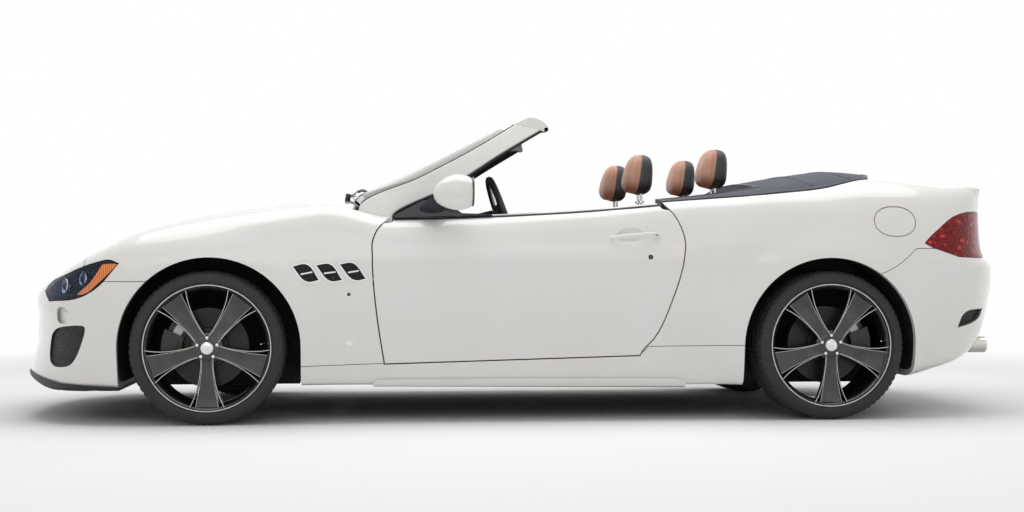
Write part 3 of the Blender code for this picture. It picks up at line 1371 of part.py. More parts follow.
def rim_object(name, tyre_width):
    half = tyre_width / 2 - RIM_MARGIN
    inner = RIM_SEAT_RADIUS - RIM_WALL
    profile = [
        (RIM_LIP_RADIUS, half), (RIM_LIP_RADIUS, half - LIP_WIDTH), (RIM_SEAT_RADIUS, half - BEAD_WIDTH),
        (RIM_SEAT_RADIUS, BEAD_WIDTH - half), (RIM_LIP_RADIUS, LIP_WIDTH - half), (RIM_LIP_RADIUS, -half),
        (inner, -half), (inner, half - BEAD_WIDTH), (RIM_LIP_RADIUS - RIM_WALL, half),
    ]
    rim = cutter(name, turned_mesh(name, profile, WHEEL_STEPS, flat_phase))
    face = half - FACE_DROP
    hub_mesh = cylinder_mesh(
        "hub", (0, 0, (HUB_BACK + face) / 2 - DISC_THICKNESS / 4), (0, 0, 1), HUB_RADIUS,
        face - HUB_BACK + DISC_THICKNESS / 2, 10
    )
    disc = cylinder_mesh(
        "disc", (0, 0, DISC_THICKNESS / 2), (0, 0, 1), DISC_RADIUS, DISC_THICKNESS, WHEEL_STEPS
    )
    join(rim, cutter(f"{name}_hub", hub_mesh))
    for number in range(SPOKE_COUNT):
        sections = []
        # share of the way out, width share, how far the face lies behind the hub's
        for share, widening, drop in ((0.5, 0, 0), (0.62, 0.35, 1), (1.0, 1, -0.6)):
            reach = HUB_RADIUS + (inner - HUB_RADIUS) * (share * 2 - 1) if share > 0.5 else HUB_RADIUS * share
            wide = (SPOKE_HUB_WIDTH + (SPOKE_RIM_WIDTH - SPOKE_HUB_WIDTH) * widening) / 2
            top = face - drop * FACE_DROP
            if share == 1.0:
                reach = math.sqrt((RIM_SEAT_RADIUS / flat_reach - SPOKE_INSET) ** 2 - wide**2)
            sections.append(
                [
                    (reach, -wide, top), (reach, wide, top), (reach, wide, top - SPOKE_DEPTH),
                    (reach, -wide, top - SPOKE_DEPTH)
                ]
            )
        spoke = cutter(f"{name}_spoke_{number}", loft_mesh("spoke", sections))
        spoke.rotation_euler = (0, 0, 2 * math.pi * number / SPOKE_COUNT - math.pi / 2)
        join(rim, spoke)
    join(rim, cutter(f"{name}_disc", disc))
    bore = cylinder_mesh(
        "bore", (0, 0, SPINDLE_END / 2 - OVERRUN / 2 + SEAT_GAP / 2), (0, 0, 1),
        SPINDLE_RADIUS + BORE_CLEARANCE, SPINDLE_END + OVERRUN + SEAT_GAP, BORE_SIDES
    )
    cut(rim, cutter(f"{name}_bore", bore))
    return rim


def tyre_mesh(name, tyre_width):
    half = tyre_width / 2
    bead = half - RIM_MARGIN - BEAD_WIDTH - SEAT_GAP
    upper = [
        (RIM_SEAT_RADIUS + SEAT_GAP, bead), (RIM_LIP_RADIUS + TREAD_ROUND / 6, bead + LIP_WIDTH / 2),
        (RIM_LIP_RADIUS + TREAD_ROUND, half), (TYRE_RADIUS * flat_reach, half - TREAD_ROUND),
    ]
    return turned_mesh(name, upper + [(r, -w) for r, w in upper[::-1]], WHEEL_STEPS, flat_phase)


for end, axle_x, wheel_y, tyre_width in (
    (
        "front", FRONT_AXLE_X, FRONT_WHEEL_Y, FRONT_TYRE_WIDTH
    ), ("rear", REAR_AXLE_X, REAR_WHEEL_Y, REAR_TYRE_WIDTH)
):
    template = rim_object(f"{end}_rim_template", tyre_width)
    bpy.context.view_layer.update()
    rim_mesh = bpy.data.meshes.new_from_object(
        template.evaluated_get(bpy.context.evaluated_depsgraph_get())
    )
    tread_mesh = tyre_mesh(f"{end}_tyre", tyre_width)
    for side, sign in SIDES:
        for name, mesh, finish in (
            (f"{end}_wheel_{side}", rim_mesh, "gunmetal"),
            (f"{end}_tyre_{side}", tread_mesh, "tyre_rubber")
        ):
            wheel = part(name, mesh.copy(), finish)
            wheel.location = (axle_x, sign * wheel_y, TYRE_RADIUS)
            wheel.rotation_euler = (math.pi / 2, 0, math.pi if sign > 0 else 0)

# Exhaust: silencer and two tips on each side
SILENCER_SHARES = (1.56, 1.74)
SILENCER_OUT_SHARES = (0.30, 0.62)
SILENCER_HEIGHT_SHARES = (0.29, 0.4197)
TIP_RADIUS = 0.042
TIP_WALL = 0.005
TIP_SIDES = 10
TIP_NOTCH = 0.012
TIP_HEIGHT_SHARE = 0.335
TIP_OUT_SHARES = (0.42, 0.52)
TIP_END_SHARE = 1.9
silencer_low = (along(SILENCER_SHARES[0]), -out(SILENCER_OUT_SHARES[1]), up(SILENCER_HEIGHT_SHARES[0]))
silencer_high = (along(SILENCER_SHARES[1]), out(SILENCER_OUT_SHARES[1]), up(SILENCER_HEIGHT_SHARES[1]))
exhaust = within(part("exhaust", box_mesh("silencer", silencer_low, silencer_high), "steel"), core)
rear_bumper = bpy.data.objects["rear_bumper"]
for side, sign in SIDES:
    for number, share in enumerate(TIP_OUT_SHARES):
        start, end = along(SILENCER_SHARES[1]) - WALL, along(TIP_END_SHARE)
        place = (start + (end - start) / 2, sign * out(share), up(TIP_HEIGHT_SHARE))
        tip = cutter(
            f"tip_{side}_{number}",
            cylinder_mesh("tip", place, (1, 0, 0), TIP_RADIUS, end - start, TIP_SIDES)
        )
        inside = cutter(
            f"tip_hole_{side}_{number}",
            cylinder_mesh(
                "hole", (place[0] + WALL, place[1], place[2]), (1, 0, 0), TIP_RADIUS - TIP_WALL,
                end - start, TIP_SIDES
            ),
        )
        join(exhaust, tip)
        cut(exhaust, inside)
        notch = cylinder_mesh(
            "notch", place, (1, 0, 0), TIP_RADIUS + TIP_NOTCH, end - start + WALL, TIP_SIDES
        )
        cut(rear_bumper, cutter(f"tip_notch_{side}_{number}", notch))

# Mirrors, carried on the doors
MIRROR_CENTRE_SHARES = (0.388, 1.012, 1.079)
MIRROR_HALF_LENGTH = 0.106
MIRROR_HALF_WIDTH = 0.085
MIRROR_HALF_HEIGHT = 0.084
MIRROR_FLAT_SHARE = 0.72
FOOT_SHARES = ((0.3, 0.92), (0.33, 1.02), (0.36, 1.06), (0.385, 1.06), (0.365, 0.92))
FOOT_OUT_SHARES = (0.85, 0.94)
over_skin = cutter("over_skin", body_mesh("over_skin", (-SEAT_GAP, 1)))
for side, sign in SIDES:
    bm = bmesh.new()
    bmesh.ops.create_uvsphere(bm, u_segments=12, v_segments=8, radius=1)
    bmesh.ops.scale(bm, vec=(MIRROR_HALF_LENGTH, MIRROR_HALF_WIDTH, MIRROR_HALF_HEIGHT), verts=bm.verts)
    centre = Vector(
        (along(MIRROR_CENTRE_SHARES[0]), sign * out(MIRROR_CENTRE_SHARES[1]), up(MIRROR_CENTRE_SHARES[2]))
    )
    bmesh.ops.translate(bm, vec=centre, verts=bm.verts)
    mirror = part(f"mirror_{side}", finish_mesh(bm, "mirror"), "white_paint")
    foot = side_prism(
        "foot", side_points(FOOT_SHARES), *span(sign, out(FOOT_OUT_SHARES[0]), out(FOOT_OUT_SHARES[1]))
    )
    back_x = centre.x + MIRROR_HALF_LENGTH * MIRROR_FLAT_SHARE
    trim = box_mesh(
        "trim", (back_x, centre.y - OVERRUN, centre.z - OVERRUN),
        (back_x + OVERRUN, centre.y + OVERRUN, centre.z + OVERRUN)
    )
    join(mirror, cutter(f"mirror_foot_{side}", foot))
    cut(mirror, cutter(f"mirror_back_{side}", trim), over_skin)

# Fuel flap in the left quarter, lying in a recess that its thickness fits
FLAP_THICKNESS = 0.012
FLAP_INNER = out(FLAP_INNER_SHARE)
under_flap = cutter("under_flap", body_mesh("under_flap", (FLAP_THICKNESS, 1)))
flap_gap = cutter("flap_gap", side_prism("flap_gap", grown(flap_loop, HALF_GAP), -FAR_SIDE, -FLAP_INNER))
recess_floor = cutter("recess_floor", body_mesh("recess_floor", (FLAP_THICKNESS + SEAT_GAP, 1)))
cut(flap_gap, recess_floor)
cut(bpy.data.objects["quarter_left"], flap_gap)
flap_keep = cutter(
    "flap_keep", side_prism("flap_keep", grown(flap_loop, -HALF_GAP), -FAR_SIDE, -FLAP_INNER)
)
fuel_flap = within(part("fuel_flap", solid_mesh.copy(), "white_paint"), flap_keep)
cut(fuel_flap, under_flap)
bpy.context.view_layer.update()
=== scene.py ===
"""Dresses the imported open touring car: painted panels, wheels, lamps, glass, cabin and stage.

Everything is in metres in the car's own frame, nose towards -X, left side towards -Y, origin on the ground.
Places along the car are axle shares: -1 the nose, 0 the front axle, 1 the rear axle, 2 the tail.
"""

import json
import math

import bmesh
import bpy
import numpy as np
from mathutils import Matrix, Vector

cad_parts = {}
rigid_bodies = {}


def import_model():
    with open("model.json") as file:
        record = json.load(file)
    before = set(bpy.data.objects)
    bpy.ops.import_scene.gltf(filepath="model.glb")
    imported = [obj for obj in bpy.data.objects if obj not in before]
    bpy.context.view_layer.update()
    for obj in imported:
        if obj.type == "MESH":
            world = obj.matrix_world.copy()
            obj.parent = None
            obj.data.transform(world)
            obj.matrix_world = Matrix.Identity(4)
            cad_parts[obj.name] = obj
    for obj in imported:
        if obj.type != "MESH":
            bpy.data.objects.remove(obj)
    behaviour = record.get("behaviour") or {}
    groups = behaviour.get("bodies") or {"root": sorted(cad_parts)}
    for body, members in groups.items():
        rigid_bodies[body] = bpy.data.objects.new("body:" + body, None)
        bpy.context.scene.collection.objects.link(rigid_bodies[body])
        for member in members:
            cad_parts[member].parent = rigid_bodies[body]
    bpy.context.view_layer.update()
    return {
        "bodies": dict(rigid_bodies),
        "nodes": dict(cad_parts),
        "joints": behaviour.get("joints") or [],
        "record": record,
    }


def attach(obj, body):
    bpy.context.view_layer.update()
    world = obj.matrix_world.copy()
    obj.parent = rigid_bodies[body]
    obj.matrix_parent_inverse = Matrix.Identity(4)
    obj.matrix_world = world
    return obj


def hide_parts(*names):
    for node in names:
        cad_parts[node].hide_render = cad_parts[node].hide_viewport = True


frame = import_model()

bl_info = {
    "name": "Open touring car", "version": (1, 0, 0), "blender": (4, 5, 0),
    "location": "3D View > Sidebar > Touring car",
    "description": "Dresses the packed frame of an open touring car", "category": "Object"
}

# Driving dimensions of the body, as in the part
WHEELBASE = 2.942
FRONT_OVERHANG = 0.945
REAR_OVERHANG = 1.043
HALF_WIDTH = 0.9575
BELT_HEIGHT = 1.0
FRONT_AXLE_X = FRONT_OVERHANG - (FRONT_OVERHANG + WHEELBASE + REAR_OVERHANG) / 2
REAR_AXLE_X = FRONT_AXLE_X + WHEELBASE
FRONT_WHEEL_Y = 0.795
REAR_WHEEL_Y = 0.785
TYRE_RADIUS = 0.356
ARCH_RADIUS = 0.418
ARCH_OFFSET_X = 0.01
FLARE = 0.018
FLARE_REACH = 0.16
SIDES = (("left", -1), ("right", 1))
FAR = 1.4
ROOF = 1.6


def along(share):
    """Place along the car of an axle share."""
    if share < 0:
        return FRONT_AXLE_X + share * FRONT_OVERHANG
    if share > 1:
        return REAR_AXLE_X + (share - 1) * REAR_OVERHANG
    return FRONT_AXLE_X + share * WHEELBASE


def up(share):
    return share * BELT_HEIGHT


def out(share):
    return share * HALF_WIDTH


# Body form
# axle share, half-width share at the waist
PLAN_SHARES = (
    (-1.0, 0.84), (-0.72, 0.914), (-0.402, 0.950), (0.0, 0.958), (0.177, 0.960), (0.415, 0.956),
    (0.687, 0.961), (0.857, 0.975), (1.0, 0.982), (1.458, 0.972), (1.746, 0.935), (2.0, 0.87)
)
# height share, inset of the side as a share of the half width
INSET_SHARES = (
    (0.1, 0.06), (0.17, 0.045), (0.3, 0.021), (0.45, 0.006), (0.6, 0.0), (0.74, 0.0), (0.8, 0.008),
    (0.9, 0.032), (1.0, 0.064), (1.1, 0.104), (1.2, 0.155)
)
# axle share, height share of the crown on the centre line, and beside it at the fender or belt
TOP_SHARES = (
    (-1.0, 0.575, 0.545), (-0.878, 0.655, 0.625), (-0.72, 0.74, 0.712), (-0.561, 0.82, 0.795),
    (-0.317, 0.915, 0.902), (0.0, 0.99, 0.972), (0.068, 1.028, 1.0), (0.184, 1.07, 1.03), (0.235, 1.078, 1.0),
    (0.287, 1.08, 0.968), (0.461, 1.08, 0.984), (0.622, 1.08, 1.014), (0.726, 1.09, 1.045),
    (0.823, 1.12, 1.074), (0.914, 1.175, 1.104), (1.0, 1.218, 1.126), (1.19, 1.24, 1.149),
    (1.343, 1.222, 1.147), (1.477, 1.188, 1.138), (1.65, 1.165, 1.125), (1.842, 1.155, 1.13),
    (2.0, 1.15, 1.125)
)
# axle share, height share of the underside
BOTTOM_SHARES = (
    (-1.0, 0.215), (-0.783, 0.16), (-0.413, 0.168), (0.143, 0.179), (0.85, 0.167), (1.401, 0.2), (1.573, 0.2),
    (1.765, 0.27), (1.842, 0.33), (2.0, 0.5)
)
# height share, distance of the nose behind the front end as a share of the front overhang
NOSE_SHARES = (
    (0.15, 0.04), (0.215, 0.0), (0.26, 0.004), (0.31, 0.022), (0.4, 0.042), (0.5, 0.04), (0.58, 0.024),
    (0.62, 0.022), (0.7, 0.03), (1.2, 0.06)
)
# height share, distance of the tail ahead of the rear end as a share of the rear overhang
TAIL_SHARES = (
    (0.15, 0.42), (0.2, 0.36), (0.27, 0.17), (0.32, 0.105), (0.37, 0.07), (0.43, 0.047), (0.52, 0.025),
    (0.69, 0.0), (0.73, 0.003), (0.78, 0.04), (0.83, 0.058), (1.01, 0.068), (1.1, 0.055), (1.13, 0.03),
    (1.2, 0.02)
)
# axle share, rounding between side and top as a share of the half width
SHOULDER_SHARES = ((-1.0, 0.1), (-0.5, 0.2), (0.0, 0.26), (0.25, 0.14), (0.7, 0.12), (1.2, 0.2), (2.0, 0.12))
NOSE_BOW_SHARE = 0.42
TAIL_BOW_SHARE = 0.31
NOSE_BOW_POWER = 2.6
TAIL_BOW_POWER = 2.34
CORNER_ROUND_SHARE = 0.26
SILL_ROUND_SHARE = 0.05
SIDE_TOP_SHARE = 0.84
SPINE_HEIGHT_SHARE = 0.5
SPINE_END_SHARES = (-0.3, 1.42)
PANEL = 0.03

# The waist line pressed along the flanks: place and height at its front and rear ends
WAIST_LINE = ((-1.0, 0.757), (1.25, 0.852))
WAIST_REACH = 0.13
WAIST_FADE = 0.25


def through(pairs):
    """Smooth curve through (place, value) pairs, flat where the values turn."""
    places, values = np.array(pairs, float).T
    steps = np.diff(places)
    slopes = np.diff(values) / steps
    before, after = slopes[:-1], slopes[1:]
    same_way = before * after > 0
    total = np.where(same_way, before + after, 1)
    tangents = np.concatenate([slopes[:1], np.where(same_way, 2 * before * after / total, 0), slopes[-1:]])

    def value(place):
        place = np.clip(place, places[0], places[-1])
        index = np.clip(np.searchsorted(places, place) - 1, 0, len(steps) - 1)
        t = (place - places[index]) / steps[index]
        rise = values[index + 1] - values[index]
        start, end = tangents[index] * steps[index], tangents[index + 1] * steps[index]
        return values[index] + t * (start + t * (3 * rise - 2 * start - end + t * (start + end - 2 * rise)))

    return value


def lengthwise(table, column, size):
    return through([(along(row[0]), row[column] * size) for row in table])


PLAN = lengthwise(PLAN_SHARES, 1, HALF_WIDTH)
CENTRE_TOP = lengthwise(TOP_SHARES, 1, BELT_HEIGHT)
SIDE_TOP = lengthwise(TOP_SHARES, 2, BELT_HEIGHT)
UNDERSIDE = lengthwise(BOTTOM_SHARES, 1, BELT_HEIGHT)
SHOULDER = lengthwise(SHOULDER_SHARES, 1, HALF_WIDTH)
INSET = through([(up(height), out(inset)) for height, inset in INSET_SHARES])
NOSE = through([(up(height), along(-1) + back * FRONT_OVERHANG) for height, back in NOSE_SHARES])
TAIL = through([(up(height), along(2) - ahead * REAR_OVERHANG) for height, ahead in TAIL_SHARES])


def smooth_max(first, second, width):
    """Larger of two values, blended where they differ by less than the width."""
    overlap = np.maximum(1 - np.abs(first - second) / width, 0)
    return np.maximum(first, second) + width * overlap**3 / 6


def waist_rise(x, z):
    """Height of the pressed waist line over the flank, in metres."""
    (start, low), (end, high) = WAIST_LINE
    line = low + (high - low) * (x - start) / (end - start)
    fade = np.clip((x - start) / WAIST_FADE, 0, 1) * np.clip((end - x) / WAIST_FADE, 0, 1)
    return fade * np.maximum(1 - np.abs(z - line) / WAIST_REACH, 0)


def half_width(x, z):
    """Half width of the body, swelled round each wheel arch and raised along the waist line."""
    width = PLAN(x) - INSET(z)
    for centre_x in (FRONT_AXLE_X + ARCH_OFFSET_X, REAR_AXLE_X - ARCH_OFFSET_X):
        away = np.hypot(x - centre_x, z - TYRE_RADIUS) - ARCH_RADIUS
        swell = np.clip(1 - away / FLARE_REACH, 0, 1)
        width = width + FLARE * swell**2 * (3 - 2 * swell)
    return width + body_settings().waist_height * waist_rise(x, z)


def top_height(x, y):
    centre = CENTRE_TOP(x)
    return centre + (SIDE_TOP(x) - centre) * (np.abs(y) / out(SIDE_TOP_SHARE)) ** 2


def body_field(x, y, z):
    """Roughly the distance outside the body: under zero within it."""
    across = np.abs(y) / HALF_WIDTH
    nose = NOSE(z) + NOSE_BOW_SHARE * FRONT_OVERHANG * across**NOSE_BOW_POWER - x
    tail = x - TAIL(z) + TAIL_BOW_SHARE * REAR_OVERHANG * across**TAIL_BOW_POWER
    round_plan = smooth_max(np.abs(y) - half_width(x, z), np.maximum(nose, tail), out(CORNER_ROUND_SHARE))
    shoulder = smooth_max(round_plan, z - top_height(x, y), SHOULDER(x))
    return smooth_max(shoulder, UNDERSIDE(x) - z, out(SILL_ROUND_SHARE))


def field_normals(points):
    """Outward directions of the body form at some points."""
    step = 1e-4
    axes = np.eye(3) * step
    change = [body_field(*(points + axis).T) - body_field(*(points - axis).T) for axis in axes]
    normals = np.column_stack(change)
    return normals / np.maximum(np.linalg.norm(normals, axis=1, keepdims=True), 1e-12)


# first angle, last angle, step between rays about the spine, all in degrees
GIRTH_STRETCHES = ((-90, -34, 4), (-34, 8, 1.5), (8, 24, 0.7), (24, 44, 1.4), (44, 91, 2.6))
FAN_LEANS = 34
SPINE_RINGS = 150
SEARCH_STEPS = 30


def body_rings(depth, coarseness=1):
    """Rings of points on the surface that lies the given depth inside the body."""
    girth = np.concatenate([np.arange(low, high, step * coarseness) for low, high, step in GIRTH_STRETCHES])
    girth = np.radians(np.append(girth[girth < 90], 90))
    girth = np.concatenate([girth, (math.pi - girth)[::-1][1:-1]])
    first, last = (along(share) for share in SPINE_END_SHARES)
    fan = np.radians(np.linspace(90, 2.5, FAN_LEANS // coarseness))
    starts = [(first, -angle) for angle in fan]
    starts += [(x, 0) for x in np.linspace(first, last, SPINE_RINGS // coarseness)]
    starts += [(last, angle) for angle in fan[::-1]]
    places, leans = np.array(starts).T
    origins = np.zeros((len(places), len(girth), 3))
    origins[..., 0] = places[:, None]
    origins[..., 2] = up(SPINE_HEIGHT_SHARE)
    flat = np.cos(leans)[:, None]
    directions = np.stack(
        [np.repeat(np.sin(leans)[:, None], len(girth), 1), -flat * np.cos(girth), flat * np.sin(girth)],
        axis=-1
    )
    near = np.zeros(origins.shape[:2])
    far = np.full(origins.shape[:2], 2 * FAR)
    for _ in range(SEARCH_STEPS):
        middle = (near + far) / 2
        points = origins + directions * middle[..., None]
        inside = body_field(points[..., 0], points[..., 1], points[..., 2]) < -depth
        near = np.where(inside, middle, near)
        far = np.where(inside, far, middle)
    return origins + directions * near[..., None]


def ring_faces(bm, rings, turned):
    """Faces between closed rings, with a tip at both ends."""
    tips = [bm.verts.new(rings[0].mean(axis=0)), bm.verts.new(rings[-1].mean(axis=0))]
    loops = [[bm.verts.new(point) for point in ring] for ring in rings[1:-1]]
    faces = []
    for i, ahead in enumerate(loops[0]):
        faces.append((tips[0], loops[0][i - 1], ahead))
        faces.append((tips[1], loops[-1][i], loops[-1][i - 1]))
    for one, two in zip(loops, loops[1:]):
        faces += [(one[i], one[i - 1], two[i - 1]) for i in range(len(one))]
        faces += [(one[i], two[i - 1], two[i]) for i in range(len(one))]
    for face in faces:
        bm.faces.new(face[::-1] if turned else face)


def body_mesh(name, *layers):
    """Closed surfaces at (depth, coarseness) layers, every second one turned to face inwards."""
    bm = bmesh.new()
    for number, (depth, coarseness) in enumerate(layers):
        ring_faces(bm, body_rings(depth, coarseness), number % 2 == 1)
    return mesh_of(bm, name)


# Mesh making
def round_angles(count):
    return np.linspace(0, 2 * math.pi, count, False)


def mesh_of(bm, name, tidy=False):
    if tidy:
        bmesh.ops.recalc_face_normals(bm, faces=bm.faces)
    mesh = bpy.data.meshes.new(name)
    bm.to_mesh(mesh)
    bm.free()
    return mesh


def loft(name, sections, closed=False):
    """Skin through equal loops of points, capped at its ends unless it closes on itself."""
    bm = bmesh.new()
    loops = [[bm.verts.new(point) for point in section] for section in sections]
    pairs = list(zip(loops, loops[1:]))
    if closed:
        pairs.append((loops[-1], loops[0]))
    for one, two in pairs:
        for i in range(len(one)):
            bm.faces.new((one[i - 1], one[i], two[i], two[i - 1]))
    if not closed:
        bm.faces.new(loops[0])
        bm.faces.new(loops[-1])
    return mesh_of(bm, name, tidy=True)


def side_prism(points, low_y, high_y):
    return loft("side_prism", [[(x, y, z) for x, z in points] for y in (low_y, high_y)])


def flank_prism(points, sign, inner):
    """Prism across one side of the car, from a distance off the centre line outwards."""
    return side_prism(points, *span(sign, inner, FAR))


def top_prism(points, low_z, high_z):
    return loft("top_prism", [[(x, y, z) for x, y in points] for z in (low_z, high_z)])


def block(low, high):
    (x0, y0, z0), (x1, y1, z1) = low, high
    return loft("block", [[(x0, y0, z), (x1, y0, z), (x1, y1, z), (x0, y1, z)] for z in (z0, z1)])


def rod(start, end, radius, end_radius=None, steps=24):
    """Round bar between two points."""
    start, end = Vector(start), Vector(end)
    turn = Vector((0, 0, 1)).rotation_difference(end - start).to_matrix()
    sections = []
    for centre, size in ((start, radius), (end, radius if end_radius is None else end_radius)):
        ring = [(size * math.cos(a), size * math.sin(a), 0) for a in round_angles(steps)]
        sections.append([centre + turn @ Vector(point) for point in ring])
    return loft("rod", sections)


def turned(profile, steps, closed=True, groove=None):
    """Ring turned about its own Z axis from (radius, height) points. groove(i, j) lowers a point's radius."""
    bm = bmesh.new()
    rings = []
    for i in range(steps):
        angle = 2 * math.pi * i / steps
        ring = []
        for j, (radius, height) in enumerate(profile):
            reach = radius - (groove(i, j) if groove else 0)
            ring.append(bm.verts.new((reach * math.cos(angle), reach * math.sin(angle), height)))
        rings.append(ring)
    count = len(profile)
    for i in range(steps):
        for j in range(count if closed else count - 1):
            k = (j + 1) % count
            bm.faces.new((rings[i - 1][j], rings[i][j], rings[i][k], rings[i - 1][k]))
    return mesh_of(bm, "turned", tidy=True)


def tube(path, radius, sides=10, squash=1.0):
    """Closed pipe along a list of points."""
    points = [Vector(point) for point in path]
    sections = []
    side = None
    for i, point in enumerate(points):
        ahead = (points[min(i + 1, len(points) - 1)] - points[max(i - 1, 0)]).normalized()
        if side is None:
            side = ahead.cross(Vector((0, 0, 1) if abs(ahead.z) < 0.9 else (1, 0, 0))).normalized()
        side = (side - ahead * side.dot(ahead)).normalized()
        other = ahead.cross(side)
        sections.append([
            point + side * radius * math.cos(a) + other * radius * squash * math.sin(a)
            for a in round_angles(sides)
        ])
    return loft("tube", sections)


def pooled(*meshes):
    """One mesh that holds several, with their material numbers kept."""
    bm = bmesh.new()
    for mesh in meshes:
        bm.from_mesh(mesh)
    return mesh_of(bm, "pooled")


def numbered(mesh, number):
    """The mesh with every face on that material slot."""
    mesh.polygons.foreach_set("material_index", np.full(len(mesh.polygons), number, np.int32))
    return mesh


def moved(mesh, matrix):
    mesh.transform(matrix)
    if matrix.determinant() < 0:
        mesh.flip_normals()
    return mesh


def eased(points, steps=5, corner=38, closed=True):
    """Outline with smooth curves through its gentle turns and its sharp corners kept."""
    spots = [Vector(point) for point in points]
    count = len(spots)
    tangents = []
    for i, here in enumerate(spots):
        back, ahead = here - spots[i - 1], spots[(i + 1) % count] - here
        sharp = back.angle(ahead, 0) > math.radians(corner) or (not closed and i in (0, count - 1))
        tangents.append(
            None if sharp
            else (back.normalized() / back.length + ahead.normalized() / ahead.length).normalized()
        )
    made = []
    for i in range(count if closed else count - 1):
        j = (i + 1) % count
        start, end = spots[i], spots[j]
        span = (end - start).length
        chord = (end - start).normalized()
        first, last = (tangents[k] if tangents[k] is not None else chord for k in (i, j))
        for t in np.linspace(0, 1, steps, False):
            made.append(
                start * (2 * t**3 - 3 * t**2 + 1)
                + end * (3 * t**2 - 2 * t**3)
                + first * span * (t**3 - 2 * t**2 + t)
                + last * span * (t**3 - t**2)
            )
    if not closed:
        made.append(spots[-1])
    return [tuple(point) for point in made]


def softened(points, rounds=3, share=0.22):
    """Outline with its corners cut round after round, so that they turn smoothly."""
    for _ in range(rounds):
        cut = []
        for here, ahead in zip(points, points[1:] + points[:1]):
            for part in (share, 1 - share):
                cut.append(tuple(a + (b - a) * part for a, b in zip(here, ahead)))
        points = cut
    return points


def grown(points, distance):
    """Outline moved outwards by a distance, or inwards where it is negative."""
    area = sum(a[0] * b[1] - b[0] * a[1] for a, b in zip(points, points[1:] + points[:1]))
    side = distance if area > 0 else -distance
    moved_points = []
    for before, here, after in zip(points[-1:] + points[:-1], points, points[1:] + points[:1]):
        back = Vector((here[0] - before[0], here[1] - before[1])).normalized()
        ahead = Vector((after[0] - here[0], after[1] - here[1])).normalized()
        normal = Vector((back.y + ahead.y, -back.x - ahead.x)).normalized()
        reach = side / max(normal.dot(Vector((ahead.y, -ahead.x))), 0.3)
        moved_points.append((here[0] + normal.x * reach, here[1] + normal.y * reach))
    return moved_points


def oval(half_wide, half_high, power, count):
    """Points of a flattened oval about the origin."""
    points = []
    for angle in round_angles(count):
        c, s = math.cos(angle), math.sin(angle)
        points.append((
            half_wide * math.copysign(abs(c) ** (2 / power), c),
            half_high * math.copysign(abs(s) ** (2 / power), s)
        ))
    return points


def shifted(points, x, z):
    return [(px + x, pz + z) for px, pz in points]


def span(sign, inner, outer):
    """Low and high y of a stretch on one side of the car."""
    return sorted((sign * inner, sign * outer))


def carve(mesh, *steps):
    """The mesh after a list of (operation, mesh) cuts, joins and trims."""
    holder = bpy.data.objects.new("carving", mesh)
    bpy.context.scene.collection.objects.link(holder)
    tools = []
    for operation, other in steps:
        tool = bpy.data.objects.new("tool", other)
        bpy.context.scene.collection.objects.link(tool)
        tools.append(tool)
        modifier = holder.modifiers.new(operation, "BOOLEAN")
        modifier.operation = operation
        modifier.object = tool
        modifier.solver = "MANIFOLD"
    bpy.context.view_layer.update()
    made = bpy.data.meshes.new_from_object(holder.evaluated_get(bpy.context.evaluated_depsgraph_get()))
    for obj in [holder] + tools:
        bpy.data.objects.remove(obj)
    if not made.polygons:
        raise RuntimeError("a carved piece has nothing left of it")
    return made


def less(*meshes):
    return [("DIFFERENCE", mesh) for mesh in meshes]


def shared(mesh):
    return ("INTERSECT", mesh)


def worked(mesh, *modifiers):
    """The mesh after (type, settings) modifiers."""
    holder = bpy.data.objects.new("working", mesh)
    bpy.context.scene.collection.objects.link(holder)
    for kind, settings in modifiers:
        modifier = holder.modifiers.new(kind, kind)
        for name, value in settings.items():
            setattr(modifier, name, value)
    bpy.context.view_layer.update()
    made = bpy.data.meshes.new_from_object(holder.evaluated_get(bpy.context.evaluated_depsgraph_get()))
    bpy.data.objects.remove(holder)
    return made


def rounded(mesh, width, segments=2, angle=30):
    return worked(
        mesh,
        (
            "BEVEL",
            {
                "width": width, "segments": segments, "limit_method": "ANGLE",
                "angle_limit": math.radians(angle)
            }
        )
    )


def smoothed(mesh, levels=2):
    return worked(mesh, ("SUBSURF", {"levels": levels, "render_levels": levels}))


def shade(mesh, angle=32):
    """Smooth shading that breaks at edges sharper than the angle."""
    mesh.shade_smooth()
    mesh.set_sharp_from_angle(angle=math.radians(angle))
    return mesh


def skin_shade(mesh, depths=(0.0,)):
    """Shading of a carved panel: its outer faces take the normals of the body form itself."""
    shade(mesh)
    loops = len(mesh.loops)
    corners = np.empty(loops * 3)
    mesh.corner_normals.foreach_get("vector", corners)
    corners = corners.reshape(-1, 3)
    index = np.empty(loops, np.int32)
    mesh.loops.foreach_get("vertex_index", index)
    points = np.empty(len(mesh.vertices) * 3)
    mesh.vertices.foreach_get("co", points)
    points = points.reshape(-1, 3)
    normals = field_normals(points)
    distance = body_field(*points.T)
    faces = np.empty(len(mesh.polygons) * 3)
    mesh.polygons.foreach_get("normal", faces)
    sizes = np.empty(len(mesh.polygons), np.int32)
    mesh.polygons.foreach_get("loop_total", sizes)
    face_of_loop = np.repeat(faces.reshape(-1, 3), sizes, axis=0)
    agree = (face_of_loop * normals[index]).sum(axis=1) > 0.8
    near = np.zeros(len(points), bool)
    for depth in depths:
        near |= np.abs(distance + depth) < 0.002
    chosen = agree & near[index]
    corners[chosen] = normals[index][chosen]
    mesh.normals_split_custom_set(corners.tolist())
    return mesh


def dressed(mesh, finishes):
    """Gives the mesh its finishes, with every face's number kept."""
    numbers = np.empty(len(mesh.polygons), np.int32)
    mesh.polygons.foreach_get("material_index", numbers)
    mesh.materials.clear()
    for finish in finishes:
        mesh.materials.append(finish_named(finish))
    mesh.polygons.foreach_set("material_index", np.minimum(numbers, len(finishes) - 1))


